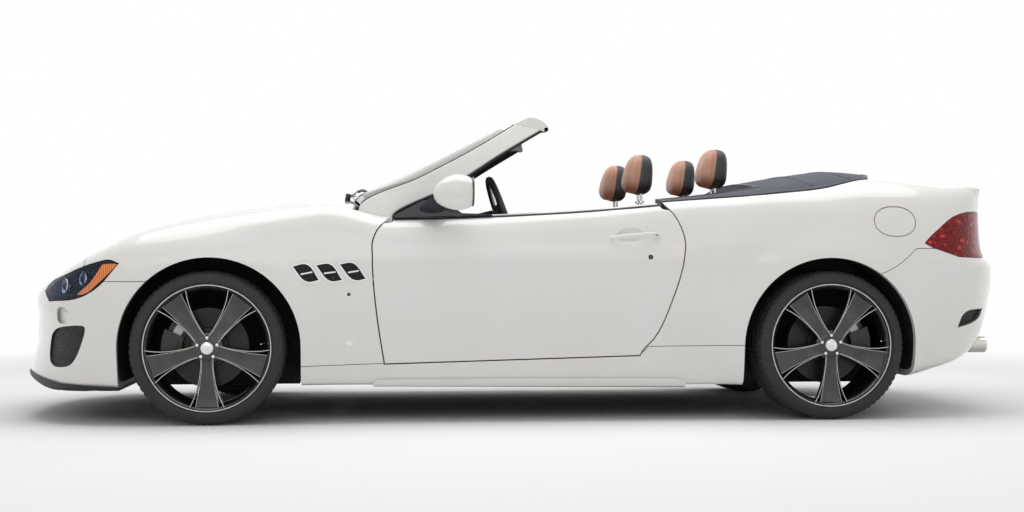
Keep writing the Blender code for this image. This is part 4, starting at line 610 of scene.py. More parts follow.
def piece(name, mesh, finishes, body="chassis", replaces=()):
    """Puts a finished piece in the scene, on the body it rides on."""
    obj = bpy.data.objects.new(name, mesh)
    bpy.context.scene.collection.objects.link(obj)
    dressed(mesh, finishes)
    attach(obj, body)
    if replaces:
        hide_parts(*replaces)
    return obj


# Finishes
class Value:
    """A shader socket that takes part in Python sums."""

    def __init__(self, finish, socket):
        self.finish = finish
        self.socket = socket

    def maths(self, operation, first, second=0.0):
        return self.finish.node("ShaderNodeMath", {"operation": operation}, {0: first, 1: second})

    def __add__(self, other):
        return self.maths("ADD", self, other)

    def __radd__(self, other):
        return self.maths("ADD", other, self)

    def __sub__(self, other):
        return self.maths("SUBTRACT", self, other)

    def __rsub__(self, other):
        return self.maths("SUBTRACT", other, self)

    def __mul__(self, other):
        return self.maths("MULTIPLY", self, other)

    def __rmul__(self, other):
        return self.maths("MULTIPLY", other, self)

    def sine(self):
        return self.maths("SINE", self)

    def larger(self, other):
        return self.maths("MAXIMUM", self, other)


class Finish:
    """A named material with its nodes."""

    def __init__(self, name, colour, roughness, **fixed):
        self.material = bpy.data.materials.new(name)
        self.material.use_nodes = True
        self.tree = self.material.node_tree
        self.shader = self.tree.nodes["Principled BSDF"]
        self.material.diffuse_color = (*colour, 1)
        self.shader.inputs["Base Color"].default_value = (*colour, 1)
        self.shader.inputs["Roughness"].default_value = roughness
        for socket, value in fixed.items():
            self.shader.inputs[socket.replace("_", " ").title().replace("Ior", "IOR")].default_value = value

    def node(self, kind, settings, inputs, output=0):
        """A node with its settings made first, then the values or links of its sockets."""
        made = self.tree.nodes.new(kind)
        for name, value in settings.items():
            if name == "stops":
                ramp = made.color_ramp
                while len(ramp.elements) < len(value):
                    ramp.elements.new(0.5)
                for element, (place, colour) in zip(ramp.elements, value):
                    element.position = place
                    element.color = (*colour, 1)
            else:
                setattr(made, name, value)
        for key, value in inputs.items():
            self.join(value, made.inputs[key])
        return Value(self, made.outputs[output])

    def join(self, value, socket):
        if isinstance(value, Value):
            self.tree.links.new(value.socket, socket)
        elif isinstance(value, tuple) and socket.type == "RGBA":
            socket.default_value = (*value, 1)
        else:
            socket.default_value = value

    def feed(self, socket, value):
        self.join(value, self.shader.inputs[socket])
        return self

    def place(self, scale=(1, 1, 1)):
        """Place on the piece, stretched by a scale."""
        spot = self.node("ShaderNodeTexCoord", {}, {}, "Object")
        return self.node("ShaderNodeVectorMath", {"operation": "MULTIPLY"}, {0: spot, 1: scale})

    def axis(self, place, axis):
        return self.node("ShaderNodeSeparateXYZ", {}, {0: place}, axis)

    def noise(self, place, scale, detail=2.0, rough=0.5):
        return self.node(
            "ShaderNodeTexNoise", {}, {"Vector": place, "Scale": scale, "Detail": detail, "Roughness": rough}
        )

    def cells(self, place, scale, feature="F1", output="Distance"):
        return self.node(
            "ShaderNodeTexVoronoi", {"feature": feature}, {"Vector": place, "Scale": scale}, output
        )

    def spread(self, value, low, high, to_low=0.0, to_high=1.0):
        return self.node(
            "ShaderNodeMapRange", {},
            {"Value": value, "From Min": low, "From Max": high, "To Min": to_low, "To Max": to_high}
        )

    def blend(self, first, second, factor):
        return self.node("ShaderNodeMix", {"data_type": "RGBA"}, {0: factor, 6: first, 7: second}, 2)

    def bump(self, height, strength, distance):
        self.feed(
            "Normal",
            self.node("ShaderNodeBump", {}, {"Height": height, "Strength": strength, "Distance": distance})
        )
        return self


def pearl_paint():
    """Pearl white lacquer with a fine flake and the least ripple."""
    settings = body_settings()
    colour = tuple(settings.paint_colour)
    finish = Finish(
        "pearl_paint", colour, settings.paint_roughness, coat_weight=1.0, coat_roughness=0.03,
        specular_ior_level=0.5
    )
    place = finish.place()
    flake = finish.cells(place, 1400, output="Color")
    warm = tuple(channel * shade for channel, shade in zip(colour, (0.985, 0.96, 0.92)))
    drift = finish.spread(finish.noise(place, 3.0, 3), 0.35, 0.65)
    finish.feed("Base Color", finish.blend(colour, warm, drift * 0.6 + finish.axis(flake, 0) * 0.12))
    finish.feed("Roughness", finish.noise(place, 40, 2) * 0.06 + (settings.paint_roughness - 0.03))
    return finish.bump(finish.noise(place, 18, 1), 0.01, 0.001)


def dark_mesh():
    """Black openwork behind the openings: hexagon wires, with painted shade for the hollows between them."""
    finish = Finish("dark_mesh", (0.01, 0.01, 0.01), 0.5)
    place = finish.place()
    wire = finish.spread(finish.cells(place, 130, "DISTANCE_TO_EDGE"), 0.06, 0.14)
    # The middle of each hexagon is painted near black as the shade in the hole between the wires.
    finish.feed("Base Color", finish.blend((0.02, 0.02, 0.022), (0.001, 0.001, 0.001), wire))
    finish.feed("Roughness", wire * 0.5 + 0.35)
    return finish.bump(1 - wire, 0.6, 0.004)


# Finishes that drift between two colours: colour, roughness, other fixed values, the two colours and the drift,
# then the roughness's drift, share and base, and the bump's pattern, strength and distance. A drift is a
# noise's (scale, detail), spread between limits where two more follow. None stands for the colour's own drift.
PLAIN_FINISHES = {
    # plastic trim with a fine moulded grain
    "moulded_black": (
        (0.012, 0.012, 0.013), 0.45, {}, (0.009, 0.009, 0.01), (0.02, 0.02, 0.022), (60, 2),
        ((30, 3), 0.16, 0.38), (("cells", 900), 0.12, 0.0006)
    ),
    # polished lacquer with dust-fine streaks
    "gloss_black": (
        (0.008, 0.008, 0.009), 0.12, {"coat_weight": 0.6, "coat_roughness": 0.04},
        (0.006, 0.006, 0.007), (0.013, 0.013, 0.015), (8, 2), ((55, 3), 0.1, 0.08), None
    ),
    # matt rubber of the door and glass seals
    "rubber_seal": (
        (0.012, 0.013, 0.02), 0.55, {}, (0.008, 0.009, 0.016), (0.02, 0.022, 0.036), (25, 3),
        ((120, 2), 0.2, 0.42), None
    ),
    # polished metal of the vent frames, sensors and bare seats
    "bright_metal": (
        (0.72, 0.72, 0.73), 0.12, {"metallic": 1.0}, (0.62, 0.62, 0.63), (0.8, 0.8, 0.81), (20, 2),
        ((90, 3), 0.14, 0.06), None
    ),
    # bright edges of the spokes and the rim lip
    "machined_edge": (
        (0.5, 0.49, 0.48), 0.24, {"metallic": 1.0}, (0.3, 0.295, 0.29), (0.62, 0.61, 0.6), (35, 3),
        ((160, 2), 0.2, 0.14), None
    ),
    # cast and lacquered calipers, bare of lettering
    "caliper_silver": (
        (0.45, 0.45, 0.46), 0.42, {"metallic": 0.55, "coat_weight": 0.3, "coat_roughness": 0.2},
        (0.36, 0.36, 0.37), (0.55, 0.55, 0.56), (45, 4), ((90, 3), 0.25, 0.3), (("cells", 500), 0.25, 0.0006)
    ),
    # mirror metal inside the lamps
    "lamp_chrome": (
        (0.7, 0.72, 0.76), 0.1, {"metallic": 1.0}, (0.3, 0.32, 0.38), (0.8, 0.82, 0.86), (30, 2),
        ((60, 2), 0.2, 0.04), None
    ),
    # dark instrument faces
    "dial_face": (
        (0.01, 0.01, 0.012), 0.3, {"coat_weight": 0.6}, (0.006, 0.006, 0.008), (0.02, 0.03, 0.05), (20, 2),
        None, None
    ),
    # grey cast alloy of the engine block, stained by use
    "cast_alloy": (
        (0.16, 0.16, 0.165), 0.55, {"metallic": 0.7}, (0.17, 0.17, 0.175), (0.05, 0.047, 0.043),
        (8, 5, 0.4, 0.66), (None, 0.3, 0.42), (("cells", 320), 0.3, 0.001)
    ),
    # blackened steel of the carriers behind the wheels
    "dark_steel": (
        (0.05, 0.05, 0.052), 0.5, {"metallic": 0.7}, (0.045, 0.045, 0.047), (0.07, 0.045, 0.03),
        (26, 4, 0.56, 0.7), (None, 0.3, 0.42), (("noise", 140, 3), 0.2, 0.001)
    ),
    # sprayed coating of the floor and wheel houses, dusted with road grit
    "underseal": (
        (0.014, 0.014, 0.015), 0.85, {}, (0.01, 0.01, 0.011), (0.035, 0.033, 0.03), (35, 5, 0.5, 0.75),
        (None, 0.1, 0.8), (("noise", 300, 3), 0.5, 0.0015)
    ),
}


def plain_finish(name):
    """A finish from its row in the table."""
    colour, roughness, fixed, first, second, drift, rough, bump = PLAIN_FINISHES[name]
    finish = Finish(name, colour, roughness, **fixed)
    place = finish.place()

    def drifting(scale, detail, *limits):
        noise = finish.noise(place, scale, detail)
        return finish.spread(noise, *limits) if limits else noise

    colour_drift = drifting(*drift)
    finish.feed("Base Color", finish.blend(first, second, colour_drift))
    if rough:
        own, share, base = rough
        finish.feed("Roughness", (drifting(*own) if own else colour_drift) * share + base)
    if bump:
        (pattern, *values), strength, distance = bump
        finish.bump(getattr(finish, pattern)(place, *values), strength, distance)
    return finish


def finish_named(name):
    """The material of a finish, made the first time that it is asked for."""
    if name not in FINISHES_MADE:
        made = FINISH_MAKERS[name]() if name in FINISH_MAKERS else plain_finish(name)
        FINISHES_MADE[name] = made.material
    return FINISHES_MADE[name]


FINISHES_MADE = {}


# Outlines seen from the side: axle share, height share
DOOR_SHARES = (
    (0.287, 1.3), (0.287, 0.964), (0.266, 0.903), (0.258, 0.842), (0.258, 0.784), (0.259, 0.695),
    (0.266, 0.487), (0.277, 0.281), (0.685, 0.314), (0.689, 0.335), (0.708, 0.397), (0.735, 0.564),
    (0.756, 0.778), (0.758, 0.849), (0.745, 0.968), (0.725, 1.045), (0.725, 1.3)
)
SILL_SHARES = (
    (0.0, 0.02), (0.0, 0.265), (0.144, 0.269), (0.277, 0.281), (0.685, 0.314), (0.7, 0.355), (1.0, 0.362),
    (1.0, 0.02)
)
FENDER_SHARES = ((-0.21, 0.2), (-0.21, 0.663), (-0.598, 0.663), (-0.598, 1.4), (0.3, 1.4), (0.3, 0.2))
FRONT_BUMPER_SHARES = ((-1.3, 0.05), (-0.2, 0.05), (-0.2, 0.663), (-0.598, 0.663), (-0.598, 1.4), (-1.3, 1.4))
QUARTER_SHARES = ((0.68, 0.3), (0.68, 1.4), (2.2, 1.4), (2.2, 0.3))
REAR_BUMPER_SHARES = (
    (1.15, 0.05), (1.15, 0.675), (1.255, 0.711), (1.33, 0.755), (1.403, 0.82), (2.2, 0.82), (2.2, 0.05)
)
HEADLAMP_SHARES = (
    (-0.833, 0.616), (-0.8, 0.569), (-0.604, 0.593), (-0.539, 0.626), (-0.42, 0.746), (-0.465, 0.762),
    (-0.53, 0.752), (-0.592, 0.735), (-0.707, 0.692), (-0.805, 0.651)
)
AMBER_SHARES = (
    (-0.5, 0.742), (-0.44, 0.744), (-0.425, 0.742), (-0.52, 0.655), (-0.6, 0.603), (-0.63, 0.603),
    (-0.56, 0.66)
)
# axle share and height share of the middle, radius
REFLECTORS = ((-0.70, 0.640, 0.034), (-0.60, 0.675, 0.03))
TAILLAMP_SHARES = (
    (1.444, 0.845), (1.48, 0.824), (2.2, 0.83), (2.2, 1.012), (1.813, 1.009), (1.6, 0.973), (1.52, 0.915),
    (1.464, 0.867)
)
LIP_SHARES = ((-1.2, 0.0), (-1.2, 0.226), (-0.93, 0.226), (-0.72, 0.19), (-0.38, 0.174), (-0.38, 0.0))
INTAKE_SHARES = (
    (-0.79, 0.445), (-0.6, 0.465), (-0.585, 0.44), (-0.63, 0.32), (-0.67, 0.27), (-0.76, 0.262), (-0.8, 0.3)
)
# Outlines seen from above, one half: axle share, half-width share
BONNET_SHARES = (
    (-0.794, 0.0), (-0.762, 0.313), (-0.688, 0.522), (-0.593, 0.648), (-0.402, 0.726), (-0.085, 0.752),
    (0.109, 0.742), (0.231, 0.742), (0.211, 0.418), (0.201, 0.0)
)
COWL_SHARES = ((0.201, 0.0), (0.211, 0.418), (0.231, 0.742), (0.237, 0.742), (0.223, 0.4), (0.2165, 0.0))
TONNEAU_SHARES = (
    (0.897, 0.0), (0.897, 0.66), (0.727, 0.66), (0.727, 0.832), (0.907, 0.842), (1.08, 0.8), (1.244, 0.735),
    (1.345, 0.39), (1.395, 0.0)
)
BOOT_SHARES = ((1.416, 0.0), (1.416, 0.7), (2.3, 0.7), (2.3, 0.0))
CABIN_SHARES = ((0.0, 0.0), (0.0, 0.8355), (0.727, 0.8355), (0.727, 0.7), (0.94, 0.7), (0.94, 0.0))
BOOT_LOWER_SHARE = 0.82
LAMP_INNER = out(0.52)
INTAKE_INNER = out(0.6)
DOOR_PLANE = out(0.8355)
DOOR_LEAF_PLANE = out(0.886)
DOOR_REBATE = 0.02
SILL_INNER = out(0.731)
BONNET_LEAN = 0.4
BONNET_LEAN_SHARES = (-0.59, -0.085)
BONNET_EDGE_SHARE = 0.7
GRILLE_HALF_WIDTH = 0.42
GRILLE_HALF_HEIGHT = 0.125
GRILLE_HEIGHT = 0.475
GRILLE_BARS = 11
EXHAUST_OUT_SHARES = (0.42, 0.52)
EXHAUST_HEIGHT = up(0.335)
FLAP_PLACE = (along(1.31), up(0.95))
FLAP_SIZE = (0.205, 0.145)

# Vents behind the front wheel, as (x, z) corners on the flank
VENTS = (
    ((-1.133, 0.733), (-1.069, 0.745), (-1.005, 0.668), (-1.061, 0.659)),
    ((-1.026, 0.739), (-0.962, 0.746), (-0.899, 0.668), (-0.953, 0.662)),
    ((-0.918, 0.743), (-0.857, 0.751), (-0.79, 0.674), (-0.841, 0.666))
)
PARKING_SENSOR = (-0.872, 0.603)
DOOR_LOCK = (0.545, 0.777)
BADGE_SEAT = (-0.868, 0.374)
HANDLE = ((0.353, 0.868), (0.592, 0.880))
MARKER_LAMP = ((-2.23, 0.545), (-2.166, 0.466))
REAR_VENT = ((2.055, 0.437), (2.085, 0.5), (2.23, 0.529), (2.205, 0.485), (2.156, 0.461))
BELT_SPAN = (along(0.2905), along(0.7235))
BELT_STEPS = 30
BELT_OUT_SHARE = 0.865
# section of the belt seal and spot of its bright line: distance out and height from the flank's upper edge
BELT_SECTION = (
    (0.006, -0.019), (0.004, 0.001), (-0.004, 0.006), (-0.02, 0.007), (-0.032, 0.004), (-0.03, -0.008)
)
BELT_LINE_SPOT = (0.006, -0.0205)
BUTTON_RADIUS = 0.0085
SKIRT_LINE = ((-0.76, 0.19), (-0.74, 0.206), (-0.171, 0.207), (0.66, 0.203), (0.72, 0.19))


def side_points(shares, ease=5):
    points = [(along(place), up(height)) for place, height in shares]
    return eased(points, ease) if ease else points


def top_points(shares, ease=5):
    """Both halves of an outline that is given for one side."""
    half = [(along(place), out(across)) for place, across in shares]
    if ease:
        half = eased(half, ease, closed=False)
    return half + [(x, -y) for x, y in half[::-1] if y > 1e-6]


def bonnet_prism(margin):
    """Bonnet outline seen from above, its front edge leaning forwards as it rises."""
    full, none = (along(share) for share in BONNET_LEAN_SHARES)
    sections = []
    for z in (up(0.6), ROOF):
        rise = z - up(BONNET_EDGE_SHARE)
        sections.append([
            (x - BONNET_LEAN * rise * min(max((none - x) / (none - full), 0), 1), y, z)
            for x, y in grown(top_points(BONNET_SHARES), margin)
        ])
    return loft("bonnet_prism", sections)


def nose_prism(half_wide, half_high, low_x, high_x):
    loop = oval(half_wide, half_high, 3, 64)
    return loft("nose_prism", [[(x, y, GRILLE_HEIGHT + z) for y, z in loop] for x in (low_x, high_x)])


def arch_prism(x, radius, foot_inset):
    turns = np.linspace(0, math.pi, 73)
    arc = [(x + radius * math.cos(turn), TYRE_RADIUS + radius * math.sin(turn)) for turn in turns]
    return side_prism(arc + [(x - radius + foot_inset, -FAR), (x + radius, -FAR)], -FAR, FAR)


FRONT_ARCH = (FRONT_AXLE_X + ARCH_OFFSET_X, ARCH_RADIUS, 0.03)
REAR_ARCH = (REAR_AXLE_X - ARCH_OFFSET_X, ARCH_RADIUS, 0.0)


def lamp_prism(shares, sign, margin, inner_margin=0.0):
    return flank_prism(grown(side_points(shares), margin), sign, LAMP_INNER - inner_margin)


def door_prism(sign, margin):
    return flank_prism(grown(side_points(DOOR_SHARES), margin), sign, out(0.5))


BODY_LAYERS = {}


def body_layer(*layers):
    """Body form with the given layers, made once and copied after that."""
    if layers not in BODY_LAYERS:
        BODY_LAYERS[layers] = body_mesh("body_layer", *layers)
    return BODY_LAYERS[layers].copy()


def skin():
    return body_layer((0, 1), (PANEL, 2))


def solid():
    return body_layer((0, 1))


def raised(height, depth=0.004):
    """Thin shell that stands a height over the body form and reaches a depth into it."""
    return body_layer((-height, 1), (depth, 1))


def painted(node, mesh, body="chassis"):
    """Painted panel that stands for a node."""
    skin_shade(mesh)
    return piece(f"{node}_dressed", mesh, ("pearl_paint",), body, (node,))


# Sizes and colours that a user would change
class TouringBody(bpy.types.PropertyGroup):
    """Paint and panel lines"""

    paint_colour: bpy.props.FloatVectorProperty(
        name="Paint", description="Colour of the body paint", subtype="COLOR", size=3, min=0, max=1,
        default=(0.8, 0.795, 0.78)
    )
    paint_roughness: bpy.props.FloatProperty(
        name="Paint roughness", description="Roughness of the paint under its lacquer", default=0.3, min=0,
        max=1
    )
    shut_gap: bpy.props.FloatProperty(
        name="Shut gap", description="Gap round the doors and lids", default=0.006, unit="LENGTH"
    )
    seam: bpy.props.FloatProperty(
        name="Seam", description="Line between panels that are bolted together", default=0.003, unit="LENGTH"
    )
    waist_height: bpy.props.FloatProperty(
        name="Waist line", description="Height of the line pressed along the flanks", default=0.007,
        unit="LENGTH"
    )


def body_settings():
    return bpy.context.scene.touring_body


class TOURING_OT_nose(bpy.types.Operator):
    """Makes the front bumper with its intakes, lip and marker recesses"""

    bl_idname = "touring.nose"
    bl_label = "Nose"

    def execute(self, context):
        seam, gap = body_settings().seam, body_settings().shut_gap
        keep = side_prism(grown(side_points(FRONT_BUMPER_SHARES, 0), -seam / 2), -FAR, FAR)
        cuts = [arch_prism(*FRONT_ARCH), bonnet_prism(gap / 2)]
        cuts.append(nose_prism(GRILLE_HALF_WIDTH, GRILLE_HALF_HEIGHT, along(-1) - FAR, along(-1) + 0.5))
        intake = softened(side_points(INTAKE_SHARES, 0))
        marker_low, marker_high = MARKER_LAMP
        marker = oval(
            abs(marker_high[0] - marker_low[0]) / 2, abs(marker_low[1] - marker_high[1]) / 2, 2.6, 32
        )
        marker = shifted(marker, (marker_low[0] + marker_high[0]) / 2, (marker_low[1] + marker_high[1]) / 2)
        for _, sign in SIDES:
            cuts.append(lamp_prism(HEADLAMP_SHARES, sign, seam / 2))
            cuts.append(flank_prism(intake, sign, INTAKE_INNER))
            dimple = body_layer((0.026, 1))
            cuts.append(carve(flank_prism(marker, sign, INTAKE_INNER), ("DIFFERENCE", dimple)))
        mesh = carve(skin(), shared(keep), *less(*cuts))
        painted("front_bumper", mesh)
        for side, sign in SIDES:
            rim = flank_prism(grown(intake, 0.012), sign, INTAKE_INNER - 0.02)
            lining = carve(body_layer((0.012, 1), (0.034, 2)), shared(rim))
            piece(f"intake_mesh_{side}", shade(lining), ("dark_mesh",))
            lens = carve(
                body_layer((0.021, 1), (0.0255, 1)),
                shared(flank_prism(grown(shifted(marker, 0.004, -0.012), -0.009), sign, INTAKE_INNER))
            )
            piece(f"marker_lens_{side}", skin_shade(lens, (0.021,)), ("pearl_paint",))
        lip_low = side_points(LIP_SHARES, 0)
        lip = carve(
            body_layer((-0.009, 1), (0.03, 2)), shared(side_prism(lip_low, -FAR, FAR)),
            *less(arch_prism(*FRONT_ARCH))
        )
        piece("front_lip", skin_shade(lip, (-0.009,)), ("moulded_black",))
        return {"FINISHED"}


class TOURING_OT_lids(bpy.types.Operator):
    """Makes the bonnet, the boot lid with its spoiler edge, and the cowl"""

    bl_idname = "touring.lids"
    bl_label = "Bonnet and boot"

    def execute(self, context):
        gap = body_settings().shut_gap
        painted("bonnet", carve(skin(), shared(bonnet_prism(-gap / 2))), "bonnet")
        low = up(BOOT_LOWER_SHARE)
        boot_keep = top_prism(grown(top_points(BOOT_SHARES, 0), -gap / 2), low + gap / 2, ROOF)
        lamps = [lamp_prism(TAILLAMP_SHARES, sign, gap, gap) for _, sign in SIDES]
        painted("boot_lid", carve(skin(), shared(boot_keep), *less(*lamps)), "boot_lid")
        cowl = carve(skin(), shared(top_prism(grown(top_points(COWL_SHARES), -gap / 2), up(0.6), ROOF)))
        piece("cowl_dressed", skin_shade(cowl), ("moulded_black",), "chassis", ("cowl_panel",))
        return {"FINISHED"}


class TOURING_OT_flanks(bpy.types.Operator):
    """Makes the fenders, doors, sills and quarters of both sides"""

    bl_idname = "touring.flanks"
    bl_label = "Flanks"

    def execute(self, context):
        seam, gap = body_settings().seam, body_settings().shut_gap
        bumper = side_points(FRONT_BUMPER_SHARES, 0)
        rear_bumper = side_points(REAR_BUMPER_SHARES)
        sill_points = side_points(SILL_SHARES, 0)
        low_boot = up(BOOT_LOWER_SHARE)
        for side, sign in SIDES:
            door_gap = door_prism(sign, gap)
            sill_gap = flank_prism(grown(sill_points, seam / 2), sign, out(0.5))
            arch = arch_prism(*FRONT_ARCH)
            cuts = [
                arch, bonnet_prism(gap / 2), door_gap, sill_gap,
                side_prism(grown(bumper, seam / 2), -FAR, FAR),
                top_prism(grown(top_points(COWL_SHARES), -gap / 2 + 0.001), up(0.6), ROOF),
                lamp_prism(HEADLAMP_SHARES, sign, seam / 2),
                block((along(0.226), -DOOR_PLANE, up(0.6)), (along(0.3), DOOR_PLANE, ROOF))
            ]
            for vent in VENTS:
                cuts.append(flank_prism(eased(vent, 6, 100), sign, out(0.85)))
            keep = flank_prism(side_points(FENDER_SHARES, 0), sign, out(0.5))
            painted(f"fender_{side}", carve(skin(), shared(keep), *less(*cuts)))

            leaf = loft(
                "leaf",
                [
                    [(x, sign * y, z) for x, z in grown(side_points(DOOR_SHARES), -inset)]
                    for y, inset in (
                        (DOOR_PLANE, DOOR_REBATE), (DOOR_LEAF_PLANE, DOOR_REBATE), (DOOR_LEAF_PLANE + gap, 0),
                        (FAR, 0)
                    )
                ]
            )
            grip = self.grip_dish(sign)
            painted(f"door_{side}", carve(solid(), shared(leaf), *less(grip)), f"door_{side}")

            sill_keep = flank_prism(grown(sill_points, -seam / 2), sign, SILL_INNER)
            sill = carve(
                solid(), shared(sill_keep), *less(door_gap, arch_prism(*FRONT_ARCH), arch_prism(*REAR_ARCH))
            )
            painted(f"sill_{side}", sill)

            quarter_keep = side_prism(side_points(QUARTER_SHARES, 0), *span(sign, seam / 2, FAR))
            cuts = [
                arch_prism(*REAR_ARCH), door_prism(sign, gap), sill_gap.copy(),
                side_prism(grown(rear_bumper, seam / 2), -FAR, FAR),
                top_prism(grown(top_points(TONNEAU_SHARES), gap / 2), up(0.95), ROOF),
                top_prism(grown(top_points(BOOT_SHARES, 0), gap / 2), low_boot - gap / 2, ROOF),
                top_prism(top_points(CABIN_SHARES, 0), up(0.6), ROOF),
                lamp_prism(TAILLAMP_SHARES, sign, seam / 2)
            ]
            if sign < 0:
                flap = shifted(
                    oval(FLAP_SIZE[0] / 2 + gap / 2, FLAP_SIZE[1] / 2 + gap / 2, 2.2, 64), *FLAP_PLACE
                )
                cuts.append(carve(flank_prism(flap, sign, out(0.8)), ("DIFFERENCE", body_layer((0.0123, 1)))))
            painted(f"quarter_{side}", carve(skin(), shared(quarter_keep), *less(*cuts)))
        flap = shifted(oval(FLAP_SIZE[0] / 2 - gap / 2, FLAP_SIZE[1] / 2 - gap / 2, 2.2, 64), *FLAP_PLACE)
        flap_mesh = carve(body_layer((0, 1), (0.012, 1)), shared(flank_prism(flap, -1, out(0.8))))
        painted("fuel_flap", flap_mesh, "fuel_flap")
        return {"FINISHED"}

    def grip_dish(self, sign):
        """Finger dish behind the door handle."""
        bm = bmesh.new()
        bmesh.ops.create_uvsphere(bm, u_segments=40, v_segments=24, radius=1)
        (x0, z0), (x1, z1) = HANDLE
        x, z = x0 + (x1 - x0) * 0.42, (z0 + z1) / 2 + 0.006
        centre = Vector((x, sign * (skin_y(x, z) + 0.002), z))
        bmesh.ops.scale(bm, vec=(0.068, 0.026, 0.043), verts=bm.verts)
        bmesh.ops.translate(bm, vec=centre, verts=bm.verts)
        return mesh_of(bm, "grip_dish")


class TOURING_OT_tail(bpy.types.Operator):
    """Makes the rear bumper with its side vents and exhaust notches"""

    bl_idname = "touring.tail"
    bl_label = "Tail"

    def execute(self, context):
        seam = body_settings().seam
        keep = side_prism(grown(side_points(REAR_BUMPER_SHARES), -seam / 2), -FAR, FAR)
        cuts = [arch_prism(*REAR_ARCH)]
        vent = eased(REAR_VENT, 6, 70)
        for _, sign in SIDES:
            cuts.append(lamp_prism(TAILLAMP_SHARES, sign, seam / 2))
            pocket = carve(flank_prism(vent, sign, out(0.55)), ("DIFFERENCE", body_layer((0.022, 1))))
            cuts.append(pocket)
            for share in EXHAUST_OUT_SHARES:
                y = sign * out(share)
                cuts.append(
                    rod((along(1.7), y, EXHAUST_HEIGHT), (along(2.2), y, EXHAUST_HEIGHT), 0.054, steps=40)
                )
        plate_recess = carve(
            block((along(1.9), -0.27, 0.56), (along(2.2), 0.27, 0.69)), ("DIFFERENCE", body_layer((0.012, 1)))
        )
        cuts.append(plate_recess)
        painted("rear_bumper", carve(skin(), shared(keep), *less(*cuts)))
        for side, sign in SIDES:
            floor = carve(
                body_layer((0.0205, 1), (0.0225, 1)),
                shared(flank_prism(grown(vent, -0.001), sign, out(0.55)))
            )
            piece(f"rear_vent_mesh_{side}", shade(floor), ("dark_mesh",))
        return {"FINISHED"}


class TouringWheels(bpy.types.PropertyGroup):
    """Wheels and tyres"""

    spoke_count: bpy.props.IntProperty(
        name="Spokes", description="Number of spokes in each wheel", default=5, min=3
    )
    rib_width: bpy.props.FloatProperty(
        name="Rib width", description="Width of the ribs along each spoke", default=0.0075, unit="LENGTH"
    )
    metal_colour: bpy.props.FloatVectorProperty(
        name="Wheel metal", description="Colour of the wheels", subtype="COLOR", size=3, min=0, max=1,
        default=(0.052, 0.05, 0.05)
    )


RIM_LIP_RADIUS = 0.296
RIM_SEAT_RADIUS = 0.2794
RIM_BARREL_RADIUS = 0.268
TYRE_STEPS = 288
GROOVE_SHARES = (0.72, 0.26)
DISC_RADIUS = 0.186
DISC_THICKNESS = 0.03
# caliper's face and body: inner and outer radius, first and last angle, then rows of (y, margin of the outline)
CALIPER_PARTS = (
    (0.133, 0.181, -14, 40, ((-0.050, 0.005), (-0.047, 0.001), (-0.034, 0.0))),
    (0.115, 0.206, -18, 44, ((-0.042, 0.004), (-0.037, 0.0), (0.03, 0.0), (0.034, 0.003)))
)
# radius and height round the room for the disc
CALIPER_SLOT = ((0.05, -0.006), (0.196, -0.006), (0.196, 0.040), (0.05, 0.040))
# share of the way out, half width of the blade, drop of the blade's face, spread of the ribs
SPOKE_STATIONS = (
    (0.0, 0.027, 0.002, 0.027), (0.18, 0.026, 0.008, 0.028), (0.4, 0.031, 0.013, 0.034),
    (0.62, 0.038, 0.014, 0.044), (0.82, 0.047, 0.011, 0.059), (1.0, 0.056, 0.006, 0.078)
)
SPOKE_START = 0.045
NUT_CIRCLE = 0.0475
DISC_HOLE_CIRCLES = (0.112, 0.135, 0.158)
DISC_HOLES = 24
# wheel, axle place, distance of the middle from the centre line, tyre width
AXLES = (("front", FRONT_AXLE_X, FRONT_WHEEL_Y, 0.255), ("rear", REAR_AXLE_X, REAR_WHEEL_Y, 0.295))


def wheel_metal():
    """Dark satin wheel metal, paler where the polished edges catch light."""
    colour = tuple(bpy.context.scene.touring_wheels.metal_colour)
    finish = Finish("wheel_metal", colour, 0.3, metallic=0.85, coat_weight=0.35, coat_roughness=0.1)
    place = finish.place()
    finish.feed("Roughness", finish.noise(place, 70, 3) * 0.16 + 0.22)
    pale = tuple(channel * 1.5 for channel in colour)
    finish.feed("Base Color", finish.blend(colour, pale, finish.spread(finish.noise(place, 9, 3), 0.4, 0.7)))
    return finish.bump(finish.noise(place, 600, 1), 0.05, 0.0004)


def tyre_rubber():
    """Black sidewall and tread rubber, dusted grey where it is worn."""
    finish = Finish("tyre_rubber_worn", (0.02, 0.02, 0.021), 0.75)
    place = finish.place()
    radius = finish.node(
        "ShaderNodeVectorMath", {"operation": "LENGTH"}, {0: finish.place((1, 1, 0))}, "Value"
    )
    dust = finish.spread(finish.noise(place, 28, 4), 0.4, 0.7) * 0.5
    tread = finish.spread(radius, 0.335, 0.352)
    finish.feed(
        "Base Color", finish.blend((0.013, 0.013, 0.014), (0.045, 0.044, 0.042), dust * 0.5 + tread * 0.3)
    )
    rings = (radius * 900).sine() * finish.spread(radius, 0.346, 0.343)
    finish.feed("Roughness", dust * 0.2 + 0.62)
    return finish.bump(rings * 0.4 + finish.noise(place, 500, 2) * 0.5, 0.35, 0.0006)


def disc_iron():
    """Turned brake disc iron with concentric wear marks."""
    finish = Finish("disc_iron", (0.04, 0.039, 0.038), 0.45, metallic=0.8)
    radius = finish.node(
        "ShaderNodeVectorMath", {"operation": "LENGTH"}, {0: finish.place((1, 1, 0))}, "Value"
    )
    marks = (radius * 1500).sine() * 0.5 + 0.5
    finish.feed("Roughness", marks * 0.14 + 0.3)
    finish.feed(
        "Base Color",
        finish.blend((0.02, 0.0195, 0.019), (0.06, 0.058, 0.056), marks * finish.noise(finish.place(), 20, 3))
    )
    return finish.bump(marks, 0.15, 0.0004)


